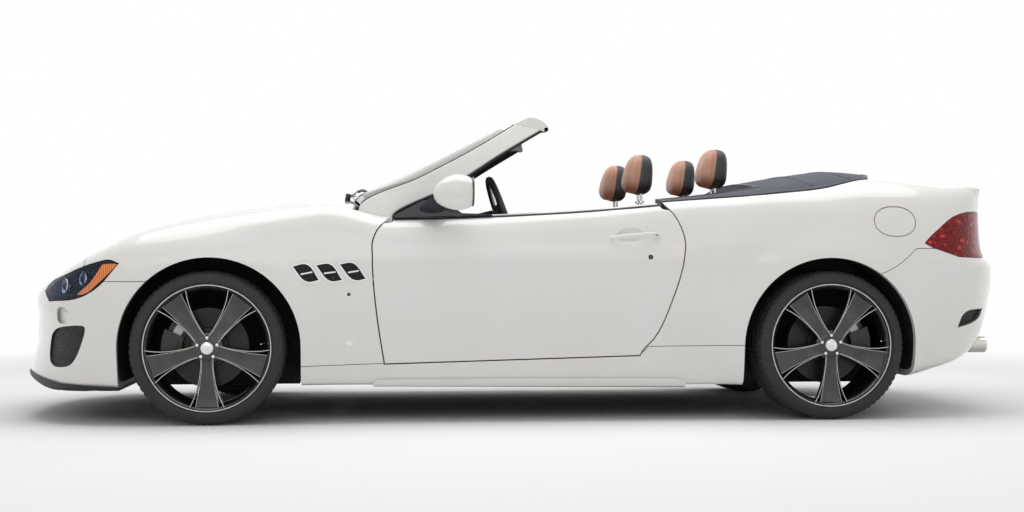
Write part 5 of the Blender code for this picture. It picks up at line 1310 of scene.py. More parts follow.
def spoke_mesh(half):
    """One spoke out along +X: a wide dished blade between two ribs that part near the rim."""
    rib = bpy.context.scene.touring_wheels.rib_width
    face = half - 0.004
    start, end = SPOKE_START, RIM_BARREL_RADIUS + 0.004
    blade_sections, made = [], []
    for share, wide, drop, _ in SPOKE_STATIONS:
        x = start + (end - start) * share
        top = face - drop
        depth = 0.03 + 0.016 * share
        blade_sections.append([
            (x, -wide, top - depth * 0.5), (x, -wide * 0.96, top - 0.002), (x, -wide * 0.6, top - 0.004),
            (x, 0, top - 0.0055), (x, wide * 0.6, top - 0.004), (x, wide * 0.96, top - 0.002),
            (x, wide, top - depth * 0.5), (x, 0, top - depth)
        ])
    blade = loft("blade", eased_sections(blade_sections, 4))
    made.append(numbered(blade, 0))
    for hand in (-1, 1):
        for inner in (False, True):
            sections = []
            for share, wide, drop, ribs_out in SPOKE_STATIONS:
                x = start + (end - start) * share
                middle = hand * (ribs_out if not inner else wide * 0.93)
                width = rib * (0.55 if inner else 0.7 + 0.3 * share)
                top = face - drop * (0.25 if not inner else 0.8) + (0 if not inner else 0.0005)
                low = top - (0.026 if not inner else 0.012)
                sections.append([
                    (x, middle + width * across, z)
                    for across, z in (
                        (-0.5, low), (-0.5, top - 0.002), (-0.25, top), (0.25, top), (0.5, top - 0.002),
                        (0.5, low)
                    )
                ])
            strip = loft("rib", eased_sections(sections, 4))
            bright = np.zeros(len(strip.polygons), np.int32)
            for polygon in strip.polygons:
                if polygon.normal.z > 0.8:
                    bright[polygon.index] = 1
            strip.polygons.foreach_set("material_index", bright)
            made.append(strip)
    return pooled(*made)


def eased_sections(sections, steps):
    """More loops between those given, each point on a smooth curve along the row."""
    columns = list(zip(*sections))
    eased_columns = [eased(column, steps, 80, closed=False) for column in columns]
    return list(zip(*eased_columns))


def rim_mesh(tyre_width):
    """Wheel with its barrel, lip, spokes, hub cap and nuts, its outer face towards +Z."""
    half = tyre_width / 2 - 0.012
    barrel = [
        (RIM_LIP_RADIUS - 0.003, half + 0.001), (RIM_LIP_RADIUS, half - 0.001),
        (RIM_LIP_RADIUS, half - 0.012), (RIM_SEAT_RADIUS, half - 0.02), (RIM_SEAT_RADIUS, 0.02 - half),
        (RIM_LIP_RADIUS, 0.012 - half), (RIM_LIP_RADIUS, -half), (RIM_BARREL_RADIUS, -half),
        (RIM_BARREL_RADIUS - 0.004, 0), (RIM_BARREL_RADIUS, half - 0.03), (0.276, half - 0.014),
        (0.283, half - 0.008), (0.285, half - 0.002), (0.288, half + 0.001)
    ]
    rim = turned(barrel, 144)
    lip = np.zeros(len(rim.polygons), np.int32)
    for polygon in rim.polygons:
        radius = math.hypot(polygon.center.x, polygon.center.y)
        if polygon.center.z > half - 0.002 and radius > 0.287:
            lip[polygon.index] = 1
    rim.polygons.foreach_set("material_index", lip)
    made = [rim]
    count = bpy.context.scene.touring_wheels.spoke_count
    spoke = spoke_mesh(half)
    for number in range(count):
        turn = Matrix.Rotation(2 * math.pi * number / count - math.pi / 2, 4, "Z")
        made.append(moved(spoke.copy(), turn))
    face = half - 0.004
    hub = turned(
        [
            (0.0005, face - 0.05), (0.074, face - 0.05), (0.07, face - 0.016), (0.058, face - 0.006),
            (0.046, face - 0.003), (0.0005, face - 0.003)
        ],
        60
    )
    made.append(numbered(hub, 0))
    cap = turned(
        [
            (0.0005, face - 0.004), (0.029, face - 0.004), (0.0285, face + 0.003), (0.026, face + 0.005),
            (0.0235, face + 0.0035), (0.018, face + 0.0055), (0.0005, face + 0.007)
        ],
        48
    )
    made.append(numbered(cap, 2))
    for number in range(count):
        angle = 2 * math.pi * (number + 0.5) / count - math.pi / 2
        x, y = NUT_CIRCLE * math.cos(angle), NUT_CIRCLE * math.sin(angle)
        well = turned(
            [
                (0.0095, face - 0.008), (0.0135, face - 0.008), (0.0135, face - 0.0005),
                (0.0115, face + 0.0005), (0.0095, face - 0.0005)
            ],
            20
        )
        made.append(moved(numbered(well, 0), Matrix.Translation((x, y, 0))))
        nut = rounded(rod((0, 0, face - 0.012), (0, 0, face + 0.001), 0.0088, 0.008, 6), 0.0012, 2)
        made.append(moved(numbered(nut, 2), Matrix.Translation((x, y, 0))))
    valve = rod((0.262, 0.02, face - 0.03), (0.246, 0.018, face - 0.004), 0.0035, 0.003, 10)
    made.append(numbered(valve, 2))
    return shade(pooled(*made), 30)


def tyre_shell(tyre_width):
    """Tyre with a rounded sidewall, rim guard, circumferential grooves and cut shoulder blocks."""
    half = tyre_width / 2
    upper = [
        (RIM_SEAT_RADIUS + 0.001, half - 0.035), (RIM_LIP_RADIUS + 0.004, half - 0.008),
        (0.303, half - 0.001), (0.309, half + 0.0005), (0.316, half), (0.326, half - 0.001),
        (0.336, half - 0.004), (0.344, half - 0.009), (0.3495, half - 0.0155), (0.3528, half - 0.023)
    ]
    edge = half - 0.027
    grooves = [share * edge for share in GROOVE_SHARES]
    places = []
    for groove in grooves:
        places += [
            (groove + 0.0065, 0), (groove + 0.0055, 0.007), (groove - 0.0055, 0.007), (groove - 0.0065, 0)
        ]
    tread = [(TYRE_RADIUS - 0.0012, edge)]
    for place, depth in places:
        crown = 0.002 * (place / edge) ** 2
        tread.append((TYRE_RADIUS - crown - depth, place))
    right = upper + tread
    profile = right + [(r, -w) for r, w in right[::-1]]
    shoulder = {j for j, (r, w) in enumerate(profile) if r > 0.3490 and abs(w) > grooves[0] + 0.006}
    block_rows = {
        j for j, (r, w) in enumerate(profile) if r > TYRE_RADIUS - 0.003 and abs(w) <= grooves[0] + 0.0066
    }

    def cut(i, j):
        if j in shoulder:
            return 0.0045 if i % 4 == 0 else 0.0
        if j in block_rows:
            return 0.003 if (i + 2) % 6 == 0 else 0.0
        return 0.0

    return shade(turned(profile, TYRE_STEPS, groove=cut), 40)


def brake_disc():
    """Ventilated disc with three rings of shallow drillings, and its bell."""
    t = DISC_THICKNESS
    profile = [
        (0.094, 0.0), (DISC_RADIUS - 0.002, 0.0), (DISC_RADIUS, 0.002), (DISC_RADIUS, 0.011),
        (DISC_RADIUS - 0.02, 0.0115), (DISC_RADIUS - 0.02, t - 0.0115), (DISC_RADIUS, t - 0.011),
        (DISC_RADIUS, t - 0.002), (DISC_RADIUS - 0.002, t), (0.094, t), (0.09, t + 0.008), (0.06, t + 0.01),
        (0.06, t), (0.06, 0.004)
    ]
    ring = turned(profile, 96)
    holes = []
    for row, radius in enumerate(DISC_HOLE_CIRCLES):
        for number in range(DISC_HOLES):
            angle = 2 * math.pi * (number + row / 3) / DISC_HOLES
            x, y = radius * math.cos(angle), radius * math.sin(angle)
            holes.append(rod((x, y, t - 0.004), (x, y, t + 0.004), 0.0034, steps=8))
    return shade(carve(ring, *less(pooled(*holes))), 30)


class TOURING_OT_wheels(bpy.types.Operator):
    """Makes the wheels, tyres, brake discs and calipers"""

    bl_idname = "touring.wheels"
    bl_label = "Wheels"

    def execute(self, context):
        disc = brake_disc()
        for end, axle_x, wheel_y, width in AXLES:
            rim, tyre = rim_mesh(width), tyre_shell(width)
            caliper = self.caliper()
            for side, sign in SIDES:
                body = f"{end}_wheel_{side}"
                carrier = f"knuckle_{side}" if end == "front" else "chassis"
                out_turn = Matrix.Rotation(math.pi / 2, 4, "X")
                if sign > 0:
                    out_turn = Matrix.Rotation(math.pi, 4, "Z") @ out_turn
                place = Matrix.Translation((axle_x, sign * wheel_y, TYRE_RADIUS)) @ out_turn
                for label, mesh, finishes, stands in (
                    ("rim", rim, ("wheel_metal", "machined_edge", "bright_metal"), f"{end}_wheel_{side}"),
                    ("tread", tyre, ("tyre_rubber",), f"{end}_tyre_{side}"),
                    ("disc", disc, ("disc_iron",), None)
                ):
                    obj = bpy.data.objects.new(f"{end}_{label}_{side}", mesh.copy())
                    bpy.context.scene.collection.objects.link(obj)
                    dressed(obj.data, finishes)
                    obj.matrix_world = place
                    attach(obj, body)
                    if stands:
                        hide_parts(stands)
                        "gunmetal" if label == "rim" else "tyre_rubber"
                shell = moved(caliper.copy(), Matrix.Translation((axle_x, sign * wheel_y, TYRE_RADIUS)))
                if end == "rear":
                    shell = moved(
                        shell, Matrix.Translation((2 * axle_x, 0, 0)) @ Matrix.Scale(-1, 4, (1, 0, 0))
                    )
                if sign > 0:
                    shell = moved(
                        shell, Matrix.Translation((0, 2 * wheel_y, 0)) @ Matrix.Scale(-1, 4, (0, 1, 0))
                    )
                piece(f"{end}_caliper_{side}", shade(shell, 25), ("caliper_silver", "dark_steel"), carrier)
        return {"FINISHED"}

    def caliper(self):
        """Caliper ahead of the hub on the left side: a bright face on a dark body that straddles the disc."""
        parts = []
        for low, high, first, last, rows in CALIPER_PARTS:
            angles = np.linspace(first, last, 21)
            outline = [(high, a) for a in angles] + [(low, a) for a in angles[::-1]]
            middle = (low + high) / 2
            loops = []
            for y, margin in rows:
                loops.append([
                    (
                        -(r - math.copysign(margin, r - middle)) * math.cos(math.radians(a)), y,
                        (r - math.copysign(margin, r - middle)) * math.sin(math.radians(a))
                    )
                    for r, a in outline
                ])
            parts.append(loft("caliper", loops))
        slot = turned(CALIPER_SLOT, 64)
        moved(slot, Matrix.Rotation(math.pi / 2, 4, "X"))
        face = shade(parts[0], 25)
        body = shade(carve(parts[1], *less(slot)), 25)
        return pooled(numbered(face, 0), numbered(body, 1))


def inside_body(x, y, z):
    return body_field(np.float64(x), np.float64(y), np.float64(z)) < 0


def crossing(test, within, beyond):
    """Last value on the way from one limit to another for which the test holds, found by halving."""
    for _ in range(SEARCH_STEPS):
        middle = (within + beyond) / 2
        if test(middle):
            within = middle
        else:
            beyond = middle
    return within


def skin_y(x, z):
    """Distance of the flank from the centre line at a place on it."""
    return crossing(lambda y: inside_body(x, y, z), 0.3, 1.2)


def outward(x, y, z):
    """Direction out of the body form at a place on it."""
    return Vector(field_normals(np.array([[x, y, z]]))[0])


def dark_glass():
    """Dark clear cover of the head lamps."""
    return Finish(
        "dark_glass", (0.5, 0.56, 0.68), 0.01, transmission_weight=0.97, ior=1.12, specular_ior_level=0.4
    )


def screen_glass():
    """Windscreen glass with a faint bronze tint; the dark band at its foot is a piece of its own."""
    return Finish(
        "screen_glass", (0.12, 0.115, 0.095), 0.05, transmission_weight=0.8, ior=1.12, specular_ior_level=0.15
    )


def amber_lens():
    """Amber turn signal lens with moulded flutes, painted lighter on their crests and darker in their grooves
    as highlight and shade.
    """
    finish = Finish("amber_lens", (0.85, 0.2, 0.015), 0.16, coat_weight=0.8, coat_roughness=0.04)
    place = finish.place()
    flutes = (finish.axis(place, 0) * 700).sine() * 0.5 + 0.5
    # Painted highlight and shade: the colour runs with the flutes, lighter where they stand up.
    finish.feed("Base Color", finish.blend((0.5, 0.07, 0.008), (0.95, 0.28, 0.02), flutes))
    return finish.bump(flutes, 0.4, 0.002)


def red_lens():
    """Deep red lamp lens, moulded in small prisms with painted shade in each prism's hollow, and painted glints
    in bands between darker ones.
    """
    finish = Finish(
        "red_lens_cut", (0.16, 0.004, 0.006), 0.2, specular_ior_level=0.22, coat_weight=0.06,
        coat_roughness=0.03
    )
    place = finish.place()
    cells = finish.cells(finish.place((1, 1, 1.6)), 58)
    band = (finish.axis(place, 2) * 150 + finish.axis(place, 0) * 20).sine() * 0.5 + 0.5
    # Each prism is painted darker in its hollow and brighter towards its rim, as shade and highlight.
    bright = finish.spread(cells, 0.1, 0.7)
    deep = finish.blend((0.035, 0.001, 0.002), (0.24, 0.003, 0.007), bright)
    # Painted glints: bright red spots in bands across the lens.
    painted_glint = finish.blend(deep, (0.9, 0.08, 0.07), finish.spread(finish.noise(place, 30, 3), 0.56, 0.7) * band)
    finish.feed("Base Color", painted_glint)
    finish.feed("Roughness", bright * 0.15 + 0.06)
    return finish.bump(cells, 0.5, 0.004)


def lamp_black():
    """Blue-black lining of the head lamps, moulded in steps, with painted bluish highlights on the steps."""
    finish = Finish("lamp_black", (0.006, 0.008, 0.016), 0.4, specular_ior_level=0.2)
    place = finish.place()
    steps = (finish.axis(place, 2) * 420).sine() * 0.5 + 0.5
    # Painted highlights: the steps are paler and bluer in patches where they stand up.
    finish.feed(
        "Base Color",
        finish.blend((0.003, 0.004, 0.008), (0.02, 0.026, 0.05), steps * finish.noise(place, 14, 2))
    )
    finish.feed("Roughness", steps * 0.2 + 0.3)
    return finish.bump(steps, 0.4, 0.002)


def navy_canvas():
    """Dark navy top cover cloth in a fine twill weave."""
    finish = Finish("navy_canvas_weave", (0.012, 0.016, 0.035), 0.8, sheen_weight=0.3, sheen_roughness=0.4)
    place = finish.place()
    along_cloth, across_cloth = finish.axis(place, 0), finish.axis(place, 1)
    twill = ((along_cloth + across_cloth) * 1500).sine() * (across_cloth * 1900).sine() * 0.5 + 0.5
    fade = finish.spread(finish.noise(place, 4, 4), 0.35, 0.7)
    finish.feed(
        "Base Color", finish.blend((0.008, 0.011, 0.026), (0.03, 0.037, 0.07), twill * 0.6 + fade * 0.4)
    )
    finish.feed("Roughness", fade * 0.15 + 0.7)
    return finish.bump(twill + finish.noise(place, 9, 3) * 1.5, 0.35, 0.0012)


def leather(name, dark, light, grain_scale=420):
    """Grained hide with soft colour drift, creases and worn sheen."""
    finish = Finish(name, light, 0.48, coat_weight=0.08, coat_roughness=0.35)
    place = finish.place()
    grain = finish.cells(place, grain_scale, "DISTANCE_TO_EDGE")
    drift = finish.spread(finish.noise(place, 7, 4), 0.35, 0.68)
    pores = finish.spread(grain, 0.02, 0.14)
    finish.feed("Base Color", finish.blend(dark, light, drift * 0.55 + pores * 0.45))
    finish.feed("Roughness", finish.noise(place, 22, 3) * 0.2 + 0.36)
    return finish.bump(pores + finish.noise(place, 30, 3) * 0.6, 0.3, 0.0009)


def black_leather():
    return leather("black_leather_grain", (0.01, 0.01, 0.011), (0.026, 0.026, 0.029))


def tan_leather():
    return leather("tan_leather_grain", (0.46, 0.215, 0.14), (0.64, 0.345, 0.24))


def carpet():
    """Black looped floor carpet."""
    finish = Finish("carpet", (0.02, 0.02, 0.021), 0.95, sheen_weight=0.25, sheen_roughness=0.5)
    place = finish.place()
    loops = finish.cells(place, 260)
    finish.feed(
        "Base Color",
        finish.blend((0.032, 0.032, 0.034), (0.008, 0.008, 0.009), finish.spread(loops, 0.1, 0.8))
    )
    finish.feed("Roughness", finish.noise(place, 12, 3) * 0.1 + 0.85)
    return finish.bump(1 - loops, 0.7, 0.003)


def steel_pipe():
    """Brushed bright exhaust steel, faintly straw-coloured by heat."""
    finish = Finish("steel_pipe", (0.62, 0.6, 0.57), 0.2, metallic=1.0)
    place = finish.place((1, 18, 18))
    brush = finish.noise(place, 60, 3)
    finish.feed("Base Color", finish.blend((0.45, 0.42, 0.37), (0.75, 0.74, 0.72), brush))
    finish.feed("Roughness", brush * 0.25 + 0.1)
    return finish.bump(brush, 0.1, 0.0004)


def mirror_glass():
    finish = Finish("mirror_glass", (0.75, 0.78, 0.8), 0.02, metallic=1.0)
    smear = finish.spread(finish.noise(finish.place(), 14, 3), 0.45, 0.8)
    return finish.feed("Roughness", smear * 0.06 + 0.01)


class TOURING_OT_trim(bpy.types.Operator):
    """Makes the vents, handles, locks, seals, skirts and other trim of the flanks"""

    bl_idname = "touring.trim"
    bl_label = "Flank trim"

    def execute(self, context):
        for side, sign in SIDES:
            self.vents(side, sign)
            self.handle(side, sign)
            self.buttons(side, sign)
            self.belt(side, sign)
            self.skirt(side, sign)
        return {"FINISHED"}

    def vents(self, side, sign):
        """Three slanted openings with bright frames, one cross-bar each and dark mesh behind."""
        frames, bars, meshes = [], [], []
        for vent in VENTS:
            loop = eased(vent, 6, 100)
            outer = flank_prism(grown(loop, 0.0045), sign, out(0.85))
            inner = side_prism(grown(loop, -0.0025), *span(sign, out(0.84), FAR + 0.1))
            frames.append(carve(raised(0.0022, 0.006), shared(outer), *less(inner)))
            (x0, z0), (x1, z1), (x2, z2), (x3, z3) = vent
            low = [
                ((x0 + x3) / 2 + 0.004, (z0 + z3) / 2 - 0.0035),
                ((x1 + x2) / 2 - 0.002, (z1 + z2) / 2 - 0.0035)
            ]
            bar = low + [(x, z + 0.007) for x, z in low[::-1]]
            bars.append(carve(body_layer((0.001, 1), (0.007, 1)), shared(flank_prism(bar, sign, out(0.85)))))
            back = flank_prism(grown(loop, 0.004), sign, out(0.85))
            meshes.append(carve(body_layer((0.014, 1), (0.018, 1)), shared(back)))
        piece(f"vent_frames_{side}", skin_shade(pooled(*frames), (-0.0022,)), ("bright_metal",))
        piece(f"vent_bars_{side}", skin_shade(pooled(*bars), (0.001,)), ("bright_metal",))
        piece(f"vent_meshes_{side}", shade(pooled(*meshes)), ("dark_mesh",))

    def handle(self, side, sign):
        """Bowed pull handle with a round end at each mounting."""
        (x0, z0), (x1, z1) = HANDLE
        count = 28
        path, sizes = [], []
        for share in np.linspace(0, 1, count):
            x, z = x0 + (x1 - x0) * share, z0 + (z1 - z0) * share + 0.006 * math.sin(math.pi * share)
            proud = 0.004 + 0.027 * math.sin(math.pi * min(max(share * 1.06 - 0.03, 0), 1)) ** 0.6
            path.append((x, z, proud))
            sizes.append(0.0085 + 0.006 * share**2 - (0.004 if share in (0, 1) else 0))
        sections = []
        for (x, z, proud), size in zip(path, sizes):
            y = skin_y(x, z) + proud
            sections.append([
                (x, sign * (y + 0.0065 * math.cos(a)), z + size * math.sin(a)) for a in round_angles(14)
            ])
        bar = shade(loft("handle", sections), 50)
        piece(f"handle_{side}", bar, ("pearl_paint",), f"door_{side}")
        x, z = x1 - 0.018, z1 + 0.001
        y = skin_y(x, z) + 0.0345
        dot = rounded(rod((x, sign * (y - 0.012), z), (x, sign * y, z), 0.0036, steps=16), 0.0008)
        piece(f"handle_button_{side}", shade(dot), ("gloss_black",), f"door_{side}")

    def buttons(self, side, sign):
        """Round lock in a black ring and parking sensor in a bright ring, and the bare badge seat."""
        radius = BUTTON_RADIUS
        for name, (x, z), body, ring_finish in (
            ("door_lock", DOOR_LOCK, f"door_{side}", "moulded_black"),
            ("side_sensor", PARKING_SENSOR, "chassis", "bright_metal")
        ):
            y = skin_y(x, z)
            ring = turned(
                [
                    (radius, -0.004), (radius + 0.003, -0.004), (radius + 0.003, 0.0008),
                    (radius + 0.0015, 0.0016), (radius, 0.0008)
                ],
                32
            )
            core = turned(
                [
                    (0.0004, -0.004), (radius, -0.004), (radius, 0.0), (radius - 0.002, 0.0006),
                    (0.0004, 0.0009)
                ],
                32
            )
            mesh = pooled(numbered(ring, 0), numbered(core, 1))
            tilt = Vector((0, 0, 1)).rotation_difference(outward(x, sign * y, z)).to_matrix().to_4x4()
            moved(mesh, Matrix.Translation((x, sign * y, z)) @ tilt)
            piece(f"{name}_{side}", shade(mesh), (ring_finish, "gloss_black"), body)
        x, z = BADGE_SEAT
        y = skin_y(x, z)
        seat = turned(
            [(0.0004, -0.003), (0.016, -0.003), (0.016, 0.0006), (0.0145, 0.0016), (0.0004, 0.0018)], 40
        )
        moved(seat, Matrix.Translation((x, sign * y, z)) @ Matrix.Rotation(-sign * math.pi / 2, 4, "X"))
        piece(f"badge_seat_{side}", shade(seat), ("bright_metal",))

    def belt(self, side, sign):
        """Rubber seal and bright line along the top of the door."""
        sections, bright = [], []
        for x in np.linspace(*BELT_SPAN, BELT_STEPS):
            y, z = self.edge_top(x)
            y = sign * y
            sections.append([(x, y + sign * away, z + rise) for away, rise in BELT_SECTION])
            bright.append((x, y + sign * BELT_LINE_SPOT[0], z + BELT_LINE_SPOT[1]))
        seal, line = shade(loft("seal", sections), 50), shade(tube(bright, 0.002, 8))
        piece(f"door_belt_seal_{side}", seal, ("rubber_seal",), f"door_{side}")
        piece(f"door_belt_line_{side}", line, ("bright_metal",), f"door_{side}")

    def edge_top(self, x):
        """Outer upper edge of the flank at a place along the car: distance out and height."""
        y = out(BELT_OUT_SHARE)
        return y, crossing(lambda z: inside_body(x, y, z), 0.8, 1.3)

    def skirt(self, side, sign):
        """Blade that stands proud along the foot of the sill."""
        low = [(x, z) for x, z in SKIRT_LINE] + [(0.72, 0.1), (-0.76, 0.1)]
        sill_cut = [door_prism(sign, body_settings().shut_gap)]
        blade = carve(
            body_layer((-0.011, 1), (0.006, 1)), shared(flank_prism(low, sign, out(0.8))), *less(*sill_cut)
        )
        piece(f"skirt_{side}", skin_shade(blade, (-0.011,)), ("pearl_paint",))


class TOURING_OT_lamps(bpy.types.Operator):
    """Makes the head lamps with their reflectors and amber strips, and the tail lamps"""

    bl_idname = "touring.lamps"
    bl_label = "Lamps"

    def execute(self, context):
        for side, sign in SIDES:
            keep = lamp_prism(HEADLAMP_SHARES, sign, -0.0005)
            bowl = carve(body_layer((0.024, 1), (0.03, 2)), shared(keep.copy()))
            wall = carve(
                body_layer((0.001, 1), (0.028, 2)), shared(keep.copy()),
                *less(
                    side_prism(
                        grown(side_points(HEADLAMP_SHARES), -0.004),
                        *span(sign, LAMP_INNER + 0.004, FAR + 0.1)
                    )
                )
            )
            mesh = pooled(numbered(bowl, 0), numbered(wall, 0))
            piece(
                f"headlamp_bowl_{side}", shade(mesh), ("lamp_black",), "chassis", (f"headlamp_{side}",),
            )
            cover = carve(body_layer((0.0, 1), (0.003, 1)), shared(keep.copy()))
            piece(f"headlamp_cover_{side}", skin_shade(cover), ("dark_glass",))
            amber_loop = side_points(AMBER_SHARES, 3)
            amber = carve(
                body_layer((-0.0012, 1), (0.004, 1)),
                shared(side_prism(amber_loop, *span(sign, LAMP_INNER + 0.1, FAR)))
            )
            piece(f"turn_signal_{side}", skin_shade(amber, (-0.0012,)), ("amber_lens",))
            for number, (place, height, radius) in enumerate(REFLECTORS):
                x, z = along(place), up(height)
                y = skin_y(x, z) - 0.016
                if y < LAMP_INNER:
                    y = LAMP_INNER + 0.02
                cup = turned(
                    [
                        (0.0004, -0.012), (radius * 0.8, -0.01), (radius, 0.004), (radius + 0.003, 0.004),
                        (radius + 0.002, -0.014), (0.0004, -0.016)
                    ],
                    40
                )
                bulb = turned(
                    [
                        (0.0004, -0.008), (radius * 0.55, -0.008), (radius * 0.52, 0.002),
                        (radius * 0.36, 0.008), (0.0004, 0.010)
                    ],
                    32
                )
                mesh = pooled(numbered(cup, 0), numbered(bulb, 1))
                facing = outward(x, sign * (y + 0.016), z)
                facing = (facing + Vector((-0.6, 0, 0))).normalized()
                turn = Vector((0, 0, 1)).rotation_difference(facing).to_matrix().to_4x4()
                moved(mesh, Matrix.Translation((x, sign * y, z)) @ turn)
                piece(f"headlamp_reflector_{side}_{number}", shade(mesh), ("lamp_chrome", "dark_glass"))
            tail_keep = lamp_prism(TAILLAMP_SHARES, sign, -0.0005)
            lens = carve(body_layer((0.0, 1), (0.028, 2)), shared(tail_keep))
            piece(
                f"taillamp_dressed_{side}", skin_shade(lens), ("red_lens",), "chassis", (f"taillamp_{side}",),
            )
        return {"FINISHED"}


class TOURING_OT_grille(bpy.types.Operator):
    """Makes the grille: a bright rim, slim upright bars bowed backwards and dark mesh behind"""

    bl_idname = "touring.grille"
    bl_label = "Grille"

    def execute(self, context):
        bars = []
        count = GRILLE_BARS
        for number in range(count):
            share = (number - (count - 1) / 2) / ((count - 1) / 2) * 0.9
            y = share * (GRILLE_HALF_WIDTH - 0.02)
            high = (GRILLE_HALF_HEIGHT - 0.012) * (1 - abs(share) ** 3) ** (1 / 3)
            path = []
            for t in np.linspace(-1, 1, 13):
                x = self.nose_x(y) + 0.032 + 0.012 * (1 - t * t)
                path.append((x, y * (1 - 0.03 * (1 - t * t)), GRILLE_HEIGHT + high * t))
            bars.append(tube(path, 0.0045, 10, 2.2))
        piece("grille_bars", shade(pooled(*bars), 50), ("gloss_black",), "chassis", ("grille",))
        rim = []
        for px, pz in oval(GRILLE_HALF_WIDTH + 0.001, GRILLE_HALF_HEIGHT + 0.001, 3, 96):
            rim.append((self.nose_x(px) + 0.006, px, GRILLE_HEIGHT + pz))
        rim_sections = []
        for i, (x, y, z) in enumerate(rim):
            inward = Vector((0, -y, GRILLE_HEIGHT - z)).normalized()
            base = Vector((x, y, z))
            rim_sections.append([
                base, base + Vector((-0.007, 0, 0)) + inward * 0.003,
                base + Vector((-0.006, 0, 0)) + inward * 0.011, base + Vector((0.02, 0, 0)) + inward * 0.013,
                base + Vector((0.02, 0, 0))
            ])
        piece("grille_rim", shade(loft("grille_rim", rim_sections, closed=True), 40), ("bright_metal",))
        corners = ((0.07, -1), (0.07, 1), (0.074, 1), (0.074, -1))
        sections = []
        for y in np.linspace(-GRILLE_HALF_WIDTH, GRILLE_HALF_WIDTH, 25):
            x = self.nose_x(y)
            sections.append([
                (x + depth, y, GRILLE_HEIGHT + end * GRILLE_HALF_HEIGHT) for depth, end in corners
            ])
        backing = loft("backing", sections)
        piece("grille_mesh", shade(backing), ("dark_mesh",))
        return {"FINISHED"}

    def nose_x(self, y):
        """Place of the nose's front at a distance from the centre line, at the grille's height."""
        return crossing(lambda x: inside_body(x, y, GRILLE_HEIGHT), along(-0.3), along(-1.05))


PILLAR_FOOT_OUT_SHARE = 0.8345
PILLAR_HEAD_OUT_SHARE = 0.66
PILLAR_WALL = 0.052
SCREEN_BOW = 0.06

# share of the pillar's length: axle share and height share of its upper edge, then of its lower edge
PILLAR_SHARES = (
    (0.0, 0.231, 0.9303, 0.290, 0.9303), (0.12, 0.237, 1.020, 0.290, 0.968),
    (0.4, 0.334, 1.160, 0.385, 1.118), (0.7, 0.425, 1.305, 0.468, 1.277), (1.0, 0.492, 1.428, 0.536, 1.398)
)
# axle share and height share round the header's section
HEADER_SHARES = (
    (0.482, 1.405), (0.503, 1.447), (0.518, 1.462), (0.536, 1.45), (0.549, 1.42), (0.546, 1.396), (0.5, 1.392)
)
HEADER_BOW = 0.05
HEADER_CROWN = 0.02
PILLAR_UPRIGHT_SHARE = 0.1
# rows evenly up the glass: axle share, height share, half-width share of its edge, bow forwards and upwards
GLASS_SHARES = (
    (0.242, 1.015, 0.79, 1.0, 1.25), (0.33, 1.142, 0.74, 0.95, 1.08), (0.42, 1.288, 0.68, 0.9, 0.9),
    (0.494, 1.412, 0.62, 0.84, 0.74)
)


# distance of each wiper's pivot and tip from the centre line
WIPERS = ((-0.36, 0.36), (0.12, 0.66))


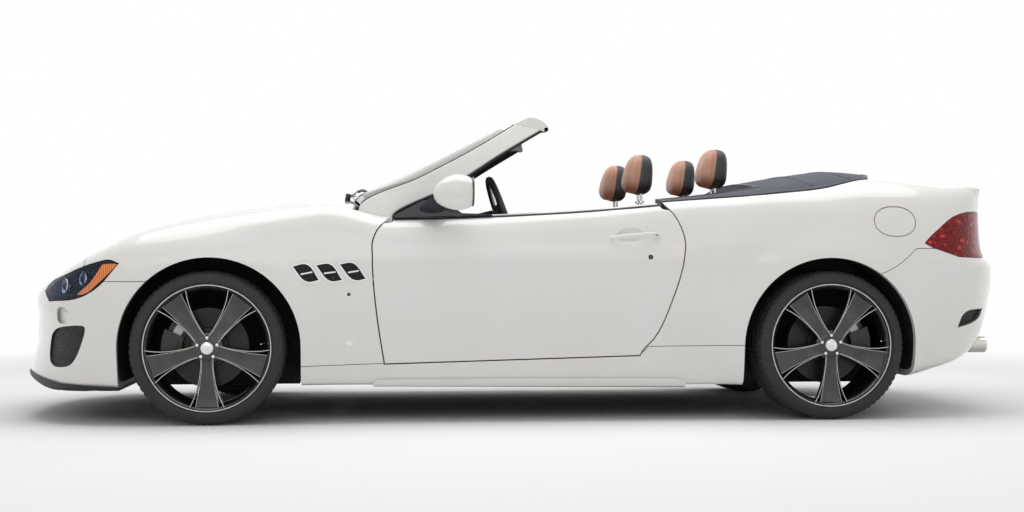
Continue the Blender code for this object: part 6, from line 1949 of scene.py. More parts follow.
class TOURING_OT_windscreen(bpy.types.Operator):
    """Makes the windscreen frame, its seals and glass, the wipers and the inner mirror"""

    bl_idname = "touring.windscreen"
    bl_label = "Windscreen"

    def pillar_rows(self):
        """Upper and lower edge of the pillar on smooth curves: out, front, front up, rear, rear up."""
        columns = [through([(row[0], row[k]) for row in PILLAR_SHARES]) for k in range(1, 5)]
        rows = []
        for share in np.concatenate([np.linspace(0, 0.12, 4), np.linspace(0.14, 1, 30)]):
            lean = max(share - PILLAR_UPRIGHT_SHARE, 0) / (1 - PILLAR_UPRIGHT_SHARE)
            outer = out(PILLAR_FOOT_OUT_SHARE + (PILLAR_HEAD_OUT_SHARE - PILLAR_FOOT_OUT_SHARE) * lean)
            front, front_up, rear, rear_up = (float(column(share)) for column in columns)
            rows.append((outer, along(front), up(front_up), along(rear), up(rear_up)))
        return rows

    def execute(self, context):
        meshes = []
        rows = self.pillar_rows()
        for side, sign in SIDES:
            sections, seal, glass_seal = [], [], []
            for outer, front, front_up, rear, rear_up in rows:
                inner = outer - PILLAR_WALL
                sections.append([
                    (front, sign * (outer - 0.012), front_up),
                    (front + 0.006, sign * (outer - 0.003), front_up - 0.004),
                    ((front + rear) / 2, sign * outer, (front_up + rear_up) / 2),
                    (rear - 0.006, sign * (outer - 0.002), rear_up + 0.005),
                    (rear, sign * (outer - 0.012), rear_up), (rear, sign * inner, rear_up),
                    (front, sign * inner, front_up)
                ])
                ahead = Vector((rear - front, 0, rear_up - front_up)).normalized()
                low = Vector((rear, sign * (outer - 0.014), rear_up))
                seal.append([
                    low - ahead * 0.004, low + Vector((0, sign * 0.009, 0)), low + ahead * 0.013,
                    low + ahead * 0.012 + Vector((0, -sign * 0.03, 0)), low + Vector((0, -sign * 0.03, 0))
                ])
                high = Vector((front, sign * (outer - 0.010), front_up))
                glass_seal.append([
                    high + ahead * 0.005, high - ahead * 0.004 + Vector((0, sign * 0.002, 0)),
                    high - ahead * 0.006 + Vector((0, -sign * 0.012, 0)), high + Vector((0, -sign * 0.02, 0))
                ])
            meshes.append(loft("pillar", sections))
            piece(f"door_seal_pillar_{side}", shade(loft("seal", seal[4:]), 40), ("rubber_seal",))
            piece(f"glass_seal_{side}", shade(loft("seal", glass_seal[4:]), 40), ("gloss_black",))
        header, lip = [], []
        outline = eased([(along(place), up(height)) for place, height in HEADER_SHARES], 5, 60)
        for share in np.linspace(-1, 1, 41):
            lift = 1 - share**2
            y = share * (out(PILLAR_HEAD_OUT_SHARE) - 0.016)
            header.append([(x - HEADER_BOW * lift, y, z + HEADER_CROWN * lift) for x, z in outline])
            x0, z0 = along(0.544) - HEADER_BOW * lift, up(1.404) + HEADER_CROWN * lift
            lip.append([
                (x0 - 0.004, y, z0 - 0.014), (x0 + 0.013, y, z0 - 0.006), (x0 + 0.016, y, z0 + 0.004),
                (x0 + 0.006, y, z0 + 0.012), (x0 - 0.006, y, z0 + 0.008)
            ])
        meshes.append(loft("header", header))
        for mesh in meshes:
            shade(mesh, 35)
            self.line_inside(mesh)
        frame_mesh = pooled(*meshes)
        piece(
            "windscreen_frame_dressed", shade(frame_mesh, 35), ("pearl_paint", "black_leather"), "chassis",
            ("windscreen_frame",)
        )
        piece("header_seal", shade(loft("lip", lip), 45), ("rubber_seal",))
        self.glass()
        self.wipers()
        self.inner_mirror()
        return {"FINISHED"}

    def line_inside(self, mesh):
        """Numbers the faces that look into the cabin, which carry black lining."""
        count = len(mesh.polygons)
        faces, centres = np.empty(count * 3), np.empty(count * 3)
        mesh.polygons.foreach_get("normal", faces)
        mesh.polygons.foreach_get("center", centres)
        faces, centres = faces.reshape(-1, 3), centres.reshape(-1, 3)
        inward = (faces[:, 1] * np.sign(centres[:, 1]) < -0.6) | (
            (faces[:, 2] < -0.4) & (np.abs(centres[:, 1]) < out(0.64))
        )
        mesh.polygons.foreach_set("material_index", inward.astype(np.int32))

    def glass_point(self, share, across):
        columns = [through([(i / 3, row[k]) for i, row in enumerate(GLASS_SHARES)]) for k in range(5)]
        place, height, edge, ahead, above = (float(column(share)) for column in columns)
        swell = SCREEN_BOW * (1 - across**2)
        return Vector((along(place) - swell * ahead, across * out(edge), up(height) + swell * above))

    def glass(self):
        bm = bmesh.new()
        rows = []
        for share in np.linspace(0, 1, 25):
            rows.append([bm.verts.new(self.glass_point(share, across)) for across in np.linspace(-1, 1, 41)])
        for one, two in zip(rows, rows[1:]):
            for i in range(len(one) - 1):
                bm.faces.new((one[i], one[i + 1], two[i + 1], two[i]))
        sheet = mesh_of(bm, "screen", tidy=True)
        pane = worked(sheet, ("SOLIDIFY", {"thickness": 0.004, "offset": 0}))
        piece(
            "windscreen_pane", shade(pane, 40), ("screen_glass",), "chassis", ("windscreen_glass",)
        )
        band = []
        for across in np.linspace(-0.97, 0.97, 41):
            low, high = self.glass_point(0.0, across), self.glass_point(0.045, across)
            band.append([
                low + Vector((0.004, 0, -0.004)), low + Vector((-0.003, 0, 0.002)),
                high + Vector((-0.003, 0, 0.002)), high + Vector((0.004, 0, -0.004))
            ])
        piece("screen_foot_band", shade(loft("band", band), 40), ("gloss_black",))

    def wipers(self):
        """Two wiper arms with blades lying along the foot of the glass."""
        for number, (pivot_y, tip_y) in enumerate(WIPERS):
            points = []
            for share in np.linspace(0, 1, 14):
                y = pivot_y + (tip_y - pivot_y) * share
                base = self.glass_point(0.02 + 0.09 * math.sin(math.pi * share * 0.5), y / out(0.79))
                points.append(base + Vector((-0.016, 0, 0.014 + 0.006 * math.sin(math.pi * share))))
            arm = tube([points[0] + Vector((-0.03, 0, -0.006))] + points[:10], 0.006, 8, 0.6)
            blade = tube([p + Vector((0.004, 0, -0.004)) for p in points[3:]], 0.005, 8, 1.5)
            cap = rounded(
                rod(
                    points[0] + Vector((-0.034, 0, -0.03)), points[0] + Vector((-0.03, 0, 0.004)), 0.014,
                    0.012, 20
                ),
                0.003
            )
            piece(f"wiper_{number}", shade(pooled(arm, blade, cap), 40), ("moulded_black",))

    def inner_mirror(self):
        top = self.glass_point(0.93, 0.0)
        stalk = tube(
            [
                top + Vector((0.004, 0, -0.004)), top + Vector((0.03, 0, -0.02)),
                top + Vector((0.045, 0, -0.05))
            ],
            0.006, 10
        )
        shell = smoothed(block((0.0, -0.115, -0.032), (0.03, 0.115, 0.032)), 3)
        centre = top + Vector((0.035, 0, -0.065))
        moved(shell, Matrix.Translation(centre))
        piece("inner_mirror_shell", shade(pooled(stalk, shell), 40), ("moulded_black",))
        glass = smoothed(block((0.0, -0.1, -0.024), (0.006, 0.1, 0.024)), 3)
        moved(glass, Matrix.Translation(centre + Vector((0.026, 0, 0))))
        piece("inner_mirror_glass", shade(glass, 40), ("mirror_glass",))


TONNEAU_SEAMS = (0.985, 1.15)


class TOURING_OT_top_cover(bpy.types.Operator):
    """Makes the tonneau cover: canvas on the body form, with seams across it and a rubber edge"""

    bl_idname = "touring.top_cover"
    bl_label = "Top cover"

    def execute(self, context):
        gap = body_settings().shut_gap
        cover = carve(skin(), shared(top_prism(grown(top_points(TONNEAU_SHARES), -gap / 2), up(0.95), ROOF)))
        skin_shade(cover)
        piece("tonneau_dressed", cover, ("navy_canvas",), "tonneau_cover", ("tonneau_cover",))
        rim_keep = top_prism(grown(top_points(TONNEAU_SHARES), -gap / 2 - 0.001), up(0.95), ROOF)
        inner = top_prism(grown(top_points(TONNEAU_SHARES), -gap / 2 - 0.02), up(0.9), ROOF + 0.1)
        rim = carve(raised(0.003, 0.003), shared(rim_keep), *less(inner))
        piece("tonneau_rim", skin_shade(rim, (-0.003,)), ("rubber_seal",), "tonneau_cover")
        for number, share in enumerate(TONNEAU_SEAMS):
            x = along(share)
            strip = top_prism(
                [
                    (x - 0.009, -out(0.78)), (x + 0.009, -out(0.78)), (x + 0.009, out(0.78)),
                    (x - 0.009, out(0.78))
                ],
                up(0.95), ROOF
            )
            band = carve(
                raised(0.0022, 0.002), shared(strip),
                shared(top_prism(grown(top_points(TONNEAU_SHARES), -0.03), up(0.9), ROOF + 0.1))
            )
            piece(f"tonneau_seam_{number}", skin_shade(band, (-0.0022,)), ("navy_canvas",), "tonneau_cover")
        return {"FINISHED"}


MIRROR_PLACE = (along(0.388), out(1.012), up(1.079))
MIRROR_HALF_SIZES = (0.104, 0.083, 0.083)
MIRROR_FACE = 0.0765
GUSSET_SHARES = ((0.292, 0.962), (0.292, 0.975), (0.338, 1.045), (0.372, 1.045), (0.40, 0.985), (0.45, 0.98))


class TOURING_OT_mirrors(bpy.types.Operator):
    """Makes the door mirrors with their housings, glass and feet"""

    bl_idname = "touring.mirrors"
    bl_label = "Door mirrors"

    def execute(self, context):
        for side, sign in SIDES:
            centre = Vector((MIRROR_PLACE[0], sign * MIRROR_PLACE[1], MIRROR_PLACE[2]))
            long, wide, high = MIRROR_HALF_SIZES
            bm = bmesh.new()
            bmesh.ops.create_uvsphere(bm, u_segments=64, v_segments=40, radius=1)
            for vert in bm.verts:
                x, y, z = vert.co
                taper = 1 - 0.22 * max(-x, 0) - 0.04 * z
                bulge = (abs(x) ** 2.3 + abs(y) ** 2.3 + abs(z) ** 2.3) ** (-1 / 2.3)
                x, y, z = x * bulge, y * bulge * taper, z * bulge * taper
                vert.co = (long * x, wide * y, high * z - 0.012 * max(-x, 0) ** 2)
            bmesh.ops.bisect_plane(
                bm, geom=bm.verts[:] + bm.edges[:] + bm.faces[:], plane_co=(0.076, 0, 0), plane_no=(1, 0, 0),
                clear_outer=True
            )
            edges = [edge for edge in bm.edges if edge.is_boundary]
            bmesh.ops.holes_fill(bm, edges=edges)
            housing = mesh_of(bm, "housing", tidy=True)
            housing = rounded(housing, 0.006, 3, 50)
            moved(housing, Matrix.Translation(centre))
            piece(
                f"mirror_housing_{side}", shade(housing, 60), ("pearl_paint",), f"door_{side}",
                (f"mirror_{side}",)
            )
            rim = [
                Vector((centre.x + MIRROR_FACE, centre.y + py, centre.z + pz))
                for py, pz in oval(0.058, 0.06, 2.4, 48)
            ]
            glass = loft("glass", [rim, [p + Vector((0.003, 0, 0)) for p in rim]])
            piece(f"mirror_pane_{side}", shade(glass), ("mirror_glass",), f"door_{side}")
            edge = []
            for i in range(len(rim)):
                ring_out = (rim[i] - centre - Vector((MIRROR_FACE, 0, 0))).normalized()
                edge.append([
                    rim[i] + ring_out * 0.001, rim[i] + Vector((0.006, 0, 0)) + ring_out * 0.002,
                    rim[i] + Vector((0.006, 0, 0)) + ring_out * 0.007, rim[i] + ring_out * 0.009
                ])
            piece(
                f"mirror_edge_{side}", shade(loft("edge", edge, closed=True), 40), ("gloss_black",),
                f"door_{side}"
            )
            foot_rows = []
            for share in np.linspace(0, 1, 12):
                x = along(0.352) + 0.012 * share
                y = sign * (out(0.865) + (out(0.965) - out(0.865)) * share)
                z = up(1.0) + 0.045 * share
                long, tall = 0.062 - 0.03 * share, 0.020 - 0.006 * share
                foot_rows.append([
                    (x + long * math.cos(a), y, z + tall * math.sin(a)) for a in round_angles(24)
                ])
            piece(f"mirror_foot_{side}", shade(loft("foot", foot_rows), 50), ("rubber_seal",), f"door_{side}")
            base_loop = side_points(GUSSET_SHARES, 0)
            gusset = carve(
                side_prism([(x, z) for x, z in base_loop], *span(sign, out(0.835), out(0.872))),
                ("DIFFERENCE", body_layer((-0.0003, 1)))
            )
            piece(f"mirror_gusset_{side}", shade(gusset), ("gloss_black",), f"door_{side}")
        return {"FINISHED"}


class TOURING_OT_exhaust(bpy.types.Operator):
    """Makes the four exhaust tips and the silencer"""

    bl_idname = "touring.exhaust"
    bl_label = "Exhaust"

    def execute(self, context):
        meshes = []
        low = EXHAUST_HEIGHT
        for _, sign in SIDES:
            for share in EXHAUST_OUT_SHARES:
                y = sign * out(share)
                start, end = along(1.72), along(1.9)
                profile = [
                    (0.0415, 0.0), (0.0415, end - start - 0.004), (0.0425, end - start - 0.002),
                    (0.0425, end - start), (0.0385, end - start + 0.0015), (0.036, end - start - 0.002),
                    (0.036, 0.02)
                ]
                tip = turned(profile, 48)
                moved(tip, Matrix.Translation((start, y, low)) @ Matrix.Rotation(math.pi / 2, 4, "Y"))
                meshes.append(numbered(tip, 0))
                plug = rod((start + 0.02, y, low), (start + 0.024, y, low), 0.0365, steps=32)
                meshes.append(numbered(plug, 1))
        x0, x1 = along(1.56), along(1.735)
        outline = oval((x1 - x0) / 2, 0.06, 4, 40)
        sections = []
        for y in (-out(0.6), -out(0.57), out(0.57), out(0.6)):
            shrink = 0.93 if abs(y) > out(0.58) else 1
            sections.append([((x0 + x1) / 2 + px * shrink, y, up(0.352) + pz * shrink) for px, pz in outline])
        meshes.append(numbered(loft("silencer", sections), 0))
        piece(
            "exhaust_dressed", shade(pooled(*meshes), 35), ("steel_pipe", "underseal"), "chassis",
            ("exhaust",)
        )
        return {"FINISHED"}


TUB_RADIUS = 0.432
TUB_WALL = 0.006
TUB_SPAN = (-27, 207)
TUB_RIBS = (25, 60, 95, 130, 165)


class TOURING_OT_wheelhouses(bpy.types.Operator):
    """Makes the black wheel house tubs"""

    bl_idname = "touring.wheelhouses"
    bl_label = "Wheel houses"

    def execute(self, context):
        inside = body_layer((0.0315, 1))
        for end, (x, _, _), inner in (("front", FRONT_ARCH, 0.48), ("rear", REAR_ARCH, 0.6)):
            for side, sign in SIDES:
                turns = np.radians(np.linspace(*TUB_SPAN, 79))
                edge, far = (
                    [(x + radius * math.cos(a), TYRE_RADIUS + radius * math.sin(a)) for a in turns]
                    for radius in (TUB_RADIUS, TUB_RADIUS + TUB_WALL)
                )
                shell = carve(side_prism(edge + far[::-1], *span(sign, inner, FAR)), shared(inside.copy()))
                wall = side_prism(far, *span(sign, inner - TUB_WALL, inner))
                ribs = []
                for angle in TUB_RIBS:
                    a = math.radians(angle)
                    spot = Vector((
                        x + (TUB_RADIUS - 0.001) * math.cos(a), 0,
                        TYRE_RADIUS + (TUB_RADIUS - 0.001) * math.sin(a)
                    ))
                    ribs.append(
                        rod(
                            spot + Vector((0, sign * (inner + 0.02), 0)), spot + Vector((0, sign * 0.84, 0)),
                            0.004, steps=8
                        )
                    )
                piece(
                    f"{end}_tub_{side}", shade(pooled(shell, wall, *ribs), 30), ("underseal",), "chassis",
                    (f"{end}_liner_{side}",)
                )
        for name, finish in (
            ("floor_pan", "underseal"), ("engine", "cast_alloy"), ("front_subframe", "dark_steel"),
            ("rear_axle", "dark_steel"), ("rear_upright_left", "dark_steel"),
            ("rear_upright_right", "dark_steel"), ("knuckle_left", "dark_steel"),
            ("knuckle_right", "dark_steel")
        ):
            for held in bpy.data.objects[name].material_slots:
                held.material = finish_named(finish)
        return {"FINISHED"}


SEAT_MIDDLE = out(0.386)
STEERING_CENTRE = (along(0.4765), -SEAT_MIDDLE, up(0.998))
STEERING_LEAN = math.radians(19)
STEERING_RADIUS = 0.185
STEERING_SPOKES = (0, 180, 270)
# distances from the centre line of the two dials and the four air vents
DIAL_PLACES = (-0.445, -0.295)
VENT_PLACES = (-0.62, -0.09, 0.09, 0.62)
DASH_SHARES = (
    (0.252, 0.74), (0.245, 0.985), (0.3, 1.005), (0.355, 0.99), (0.388, 0.955), (0.395, 0.88), (0.375, 0.72),
    (0.34, 0.625), (0.28, 0.625)
)
CONSOLE_SHARES = (
    (0.345, 0.3), (0.345, 0.6), (0.37, 0.615), (0.41, 0.57), (0.5, 0.55), (0.56, 0.58), (0.65, 0.6),
    (0.66, 0.56), (0.66, 0.3)
)


class TOURING_OT_cabin(bpy.types.Operator):
    """Makes the dashboard, console, steering wheel, door cards and carpet"""

    bl_idname = "touring.cabin"
    bl_label = "Cabin"

    def execute(self, context):
        self.dashboard()
        self.console()
        self.steering_wheel()
        self.side_trim()
        return {"FINISHED"}

    def dashboard(self):
        outline = side_points(DASH_SHARES, 6)
        sections = []
        for share in np.linspace(-1, 1, 45):
            y = share * 0.698
            hood = 0.035 * math.exp(-(((y + SEAT_MIDDLE) / 0.17) ** 4))
            ends = 0.03 * abs(share) ** 8
            sections.append([
                (
                    x + (0.03 * hood / 0.035 if z > up(0.93) else 0) * (1 if x > along(0.33) else 0), y,
                    z - ends + (hood if z > up(0.94) else 0) * min(1, max(0, (x - along(0.26)) / 0.15))
                )
                for x, z in outline
            ])
        sheet = loft("dash", sections)
        piece(
            "dashboard_dressed", shade(sheet, 45), ("black_leather",), "chassis", ("dashboard",),
        )
        band = []
        for share in np.linspace(-0.97, 0.97, 31):
            y = share * 0.69
            band.append([
                (along(0.3945) + 0.002, y, up(0.872)), (along(0.3945) + 0.009, y, up(0.866)),
                (along(0.385) + 0.009, y, up(0.79)), (along(0.385), y, up(0.785))
            ])
        piece("dash_band", shade(loft("band", band), 40), ("tan_leather",))
        face = Matrix.Rotation(math.pi / 2 - 0.3, 4, "Y")
        dials = []
        for y in DIAL_PLACES:
            bezel = turned([(0.05, 0), (0.056, 0), (0.057, 0.006), (0.0515, 0.008), (0.05, 0.002)], 40)
            plate = turned([(0.0004, 0.0), (0.05, 0.0), (0.05, 0.003), (0.0004, 0.003)], 40)
            needle = block((-0.002, -0.002, 0.003), (0.038, 0.002, 0.005))
            mesh = pooled(numbered(bezel, 0), numbered(plate, 1), numbered(needle, 0))
            dials.append(moved(mesh, Matrix.Translation((along(0.3945) + 0.004, y, up(0.935))) @ face))
        for y in VENT_PLACES:
            ring = turned([(0.03, 0), (0.036, 0), (0.037, 0.006), (0.032, 0.009), (0.03, 0.003)], 32)
            core = turned([(0.0004, 0), (0.03, 0.0), (0.03, 0.003), (0.0004, 0.004)], 32)
            mesh = pooled(numbered(ring, 0), numbered(core, 1))
            dials.append(moved(mesh, Matrix.Translation((along(0.3945) + 0.001, y, up(0.905))) @ face))
        piece("dials", shade(pooled(*dials), 30), ("bright_metal", "dial_face"))
        screen = rounded(
            block((along(0.392), -0.1, up(0.76)), (along(0.3935) + 0.006, 0.1, up(0.86))), 0.004, 3
        )
        piece("centre_screen", shade(screen, 30), ("gloss_black",))

    def console(self):
        outline = side_points(CONSOLE_SHARES, 5)
        sections = []
        for share in np.linspace(-1, 1, 15):
            drop = 0.02 * abs(share) ** 5
            sections.append([(x, share * 0.099, z - (drop if z > up(0.5) else 0)) for x, z in outline])
        piece(
            "console_dressed", shade(loft("console", sections), 45), ("black_leather",), "chassis",
            ("centre_console",)
        )
        lever_foot = Vector((along(0.445), 0, up(0.55)))
        knob = smoothed(block((-0.024, -0.022, -0.03), (0.024, 0.022, 0.03)), 3)
        moved(knob, Matrix.Translation(lever_foot + Vector((0.012, 0, 0.13))))
        gaiter = turned(
            [(0.05, 0), (0.047, 0.012), (0.03, 0.035), (0.014, 0.06), (0.0004, 0.062), (0.0004, 0)], 28
        )
        moved(gaiter, Matrix.Translation(lever_foot))
        stalk = rod(lever_foot, lever_foot + Vector((0.012, 0, 0.12)), 0.008)
        piece(
            "gear_lever", shade(pooled(numbered(knob, 0), numbered(gaiter, 0), numbered(stalk, 1)), 40),
            ("black_leather", "bright_metal")
        )
        rest = worked(
            block((along(0.555), -0.085, up(0.575)), (along(0.655), 0.085, up(0.625))),
            ("BEVEL", {"width": 0.02, "segments": 4})
        )
        piece("arm_rest", shade(rest, 50), ("tan_leather",))

    def steering_wheel(self):
        wide = Matrix.Rotation(math.pi / 2 - STEERING_LEAN, 4, "Y")
        circle = [
            (STEERING_RADIUS + 0.0155 * math.cos(a), 0.0155 * 1.1 * math.sin(a)) for a in round_angles(16)
        ]
        rim = turned(circle, 96, groove=lambda i, j: 0.0015 * math.sin(i * math.pi / 4) ** 2)
        spokes = []
        for angle in STEERING_SPOKES:
            a = math.radians(angle)
            aim = Vector((math.sin(a), math.cos(a), 0))
            across = Vector((aim.y, -aim.x, 0))
            rows = []
            for share in np.linspace(0, 1, 9):
                spot = aim * (0.04 + (STEERING_RADIUS - 0.045) * share) + Vector((0, 0, -0.012 * (1 - share)))
                wide_half, deep = 0.026 - 0.012 * share, 0.007
                rows.append([
                    spot + across * px + Vector((0, 0, pz)) for px, pz in oval(wide_half, deep, 3, 16)
                ])
            spokes.append(loft("spoke", rows))
        hub = turned(
            [(0.0004, -0.028), (0.05, -0.028), (0.056, -0.01), (0.054, 0.006), (0.04, 0.013), (0.0004, 0.016)],
            48
        )
        disc = turned([(0.0004, 0.015), (0.017, 0.0145), (0.0175, 0.0175), (0.0004, 0.0185)], 32)
        mesh = pooled(
            numbered(rim, 0), *(numbered(spoke, 1) for spoke in spokes), numbered(hub, 0), numbered(disc, 1)
        )
        moved(mesh, Matrix.Translation(STEERING_CENTRE) @ wide)
        piece(
            "steering_wheel_dressed", shade(mesh, 40), ("black_leather", "bright_metal"), "steering_wheel",
            ("steering_wheel",)
        )
        start = Vector(STEERING_CENTRE)
        axis = Vector((-math.cos(STEERING_LEAN), 0, -math.sin(STEERING_LEAN)))
        column = rod(start + axis * 0.036, start + axis * 0.16, 0.034, 0.045, 28)
        stalks = [
            tube(
                [
                    start + axis * 0.06, start + axis * 0.06 + Vector((0, s * 0.08, 0.01)),
                    start + axis * 0.05 + Vector((0, s * 0.13, 0.02))
                ],
                0.006, 8
            )
            for s in (-1, 1)
        ]
        piece("steering_shroud", shade(pooled(column, *stalks), 40), ("moulded_black",))

    def side_trim(self):
        for side, sign in SIDES:
            outline = grown(side_points(DOOR_SHARES), -0.045)
            card = side_prism(outline, *span(sign, DOOR_PLANE - 0.016, DOOR_PLANE - 0.0005))
            card = carve(card, shared(block((-2, -FAR, 0.36), (2, FAR, up(0.955)))))
            card = rounded(card, 0.004, 2)
            low, high = span(sign, 0.735, 0.784)
            rest = rounded(block((along(0.42), low, up(0.66)), (along(0.64), high, up(0.71))), 0.014, 4)
            pull = tube(
                [
                    (along(0.36), sign * 0.78, up(0.86)), (along(0.365), sign * 0.752, up(0.862)),
                    (along(0.405), sign * 0.752, up(0.865)), (along(0.41), sign * 0.78, up(0.866))
                ],
                0.005, 8
            )
            mesh = pooled(numbered(card, 0), numbered(rest, 1), numbered(pull, 2))
            piece(
                f"door_card_{side}", shade(mesh, 40), ("black_leather", "tan_leather", "bright_metal"),
                f"door_{side}"
            )
            low, high = span(sign, 0.6, 0.698)
            quarter = rounded(block((along(0.735), low, up(0.42)), (along(0.9), high, up(0.93))), 0.025, 4)
            piece(f"rear_side_trim_{side}", shade(quarter, 40), ("black_leather",))
        carpet_sheet = block((along(0.27), -0.69, up(0.2) + 0.0305), (along(0.8), 0.69, up(0.2) + 0.042))
        toe = loft(
            "toe",
            [
                [
                    (along(0.27), y, up(0.24)), (along(0.3), y, up(0.24)), (along(0.262), y, up(0.66)),
                    (along(0.25), y, up(0.66))
                ]
                for y in (-0.69, 0.69)
            ]
        )
        piece("carpet_sheet", shade(rounded(carpet_sheet, 0.003)), ("carpet",))
        piece("toe_carpet", shade(toe), ("carpet",))


class TouringSeats(bpy.types.PropertyGroup):
    """Upholstery"""

    pressure: bpy.props.FloatProperty(
        name="Padding pressure", description="Pressure that swells the padding", default=4.0, min=0
    )
    give: bpy.props.FloatProperty(
        name="Padding give", description="How far a point of the cover may swell", default=0.009,
        unit="LENGTH"
    )
    voxel: bpy.props.FloatProperty(
        name="Cover grain", description="Size of the cover's faces before they are smoothed", default=0.006,
        unit="LENGTH"
    )


CLOTH_QUALITY = 4
CLOTH_FRAMES = 20


def swollen(mesh, voxel, give):
    """Cover of a padded piece: remeshed, blown up as cloth with each point's way capped, then smoothed."""
    scene = bpy.context.scene
    start = worked(mesh, ("REMESH", {"mode": "VOXEL", "voxel_size": voxel}))
    holder = bpy.data.objects.new("cover", start.copy())
    scene.collection.objects.link(holder)
    cloth = holder.modifiers.new("cloth", "CLOTH")
    cloth.settings.quality = CLOTH_QUALITY
    cloth.settings.use_pressure = True
    cloth.settings.uniform_pressure_force = scene.touring_seats.pressure
    cloth.settings.effector_weights.gravity = 0
    cloth.point_cache.frame_start = 1
    cloth.point_cache.frame_end = CLOTH_FRAMES
    for frame in range(1, CLOTH_FRAMES + 1):
        scene.frame_set(frame)
    shown = holder.evaluated_get(bpy.context.evaluated_depsgraph_get())
    for vert, moved_vert in zip(start.vertices, shown.data.vertices):
        way = moved_vert.co - vert.co
        if way.length > give:
            way = way * (give / way.length)
        vert.co = vert.co + way
    bpy.data.objects.remove(holder)
    scene.frame_set(1)
    return worked(
        start, ("SMOOTH", {"factor": 0.5, "iterations": 4}), ("SUBSURF", {"levels": 1, "render_levels": 1})
    )


def channelled(mesh, seams, depth=0.0035, width=0.005):
    """Presses sewn seams into a cover: seams are (normal, distance) planes."""
    mesh = mesh.copy()
    count = len(mesh.vertices)
    points, normals = np.empty(count * 3), np.empty(count * 3)
    mesh.vertices.foreach_get("co", points)
    mesh.vertices.foreach_get("normal", normals)
    points, normals = points.reshape(-1, 3), normals.reshape(-1, 3)
    for normal, distance in seams:
        away = points @ np.array(normal) - distance
        points = points - normals * (depth * np.exp(-((away / width) ** 2)))[:, None]
    mesh.vertices.foreach_set("co", points.ravel())
    mesh.update()
    return mesh


def two_tone(mesh, direction, limit):
    """Numbers 0 and 1 for faces that look along a direction, and the rest."""
    faces = np.empty(len(mesh.polygons) * 3)
    mesh.polygons.foreach_get("normal", faces)
    number = np.where(faces.reshape(-1, 3) @ np.array(direction) > limit, 0, 1).astype(np.int32)
    mesh.polygons.foreach_set("material_index", number)
    return mesh


# place and height of the middle, half length, half width, half height
HEADRESTS = {
    "front": (along(0.7005) + 0.047, up(1.203), 0.068, 0.114, 0.1),
    "rear": (along(0.842) + 0.015, up(1.233), 0.068, 0.114, 0.1)
}
CUSHIONS = {
    "front": (
        (0.478, 0.37), (0.468, 0.46), (0.49, 0.505), (0.55, 0.485), (0.63, 0.47), (0.652, 0.465),
        (0.655, 0.37)
    ),
    "rear": ((0.76, 0.34), (0.75, 0.48), (0.768, 0.52), (0.815, 0.495), (0.838, 0.485), (0.838, 0.34))
}
BACKS = {
    "front": (
        (0.645, 0.5), (0.668, 0.62), (0.688, 0.8), (0.702, 1.02), (0.717, 1.05), (0.73, 1.035), (0.728, 0.86),
        (0.708, 0.6), (0.69, 0.47), (0.663, 0.45)
    ),
    "rear": (
        (0.826, 0.5), (0.842, 0.56), (0.848, 0.8), (0.852, 1.02), (0.859, 1.06), (0.892, 1.05), (0.895, 0.8),
        (0.895, 0.5)
    )
}
SEAT_HALF = {"front": 0.243, "rear": 0.58}


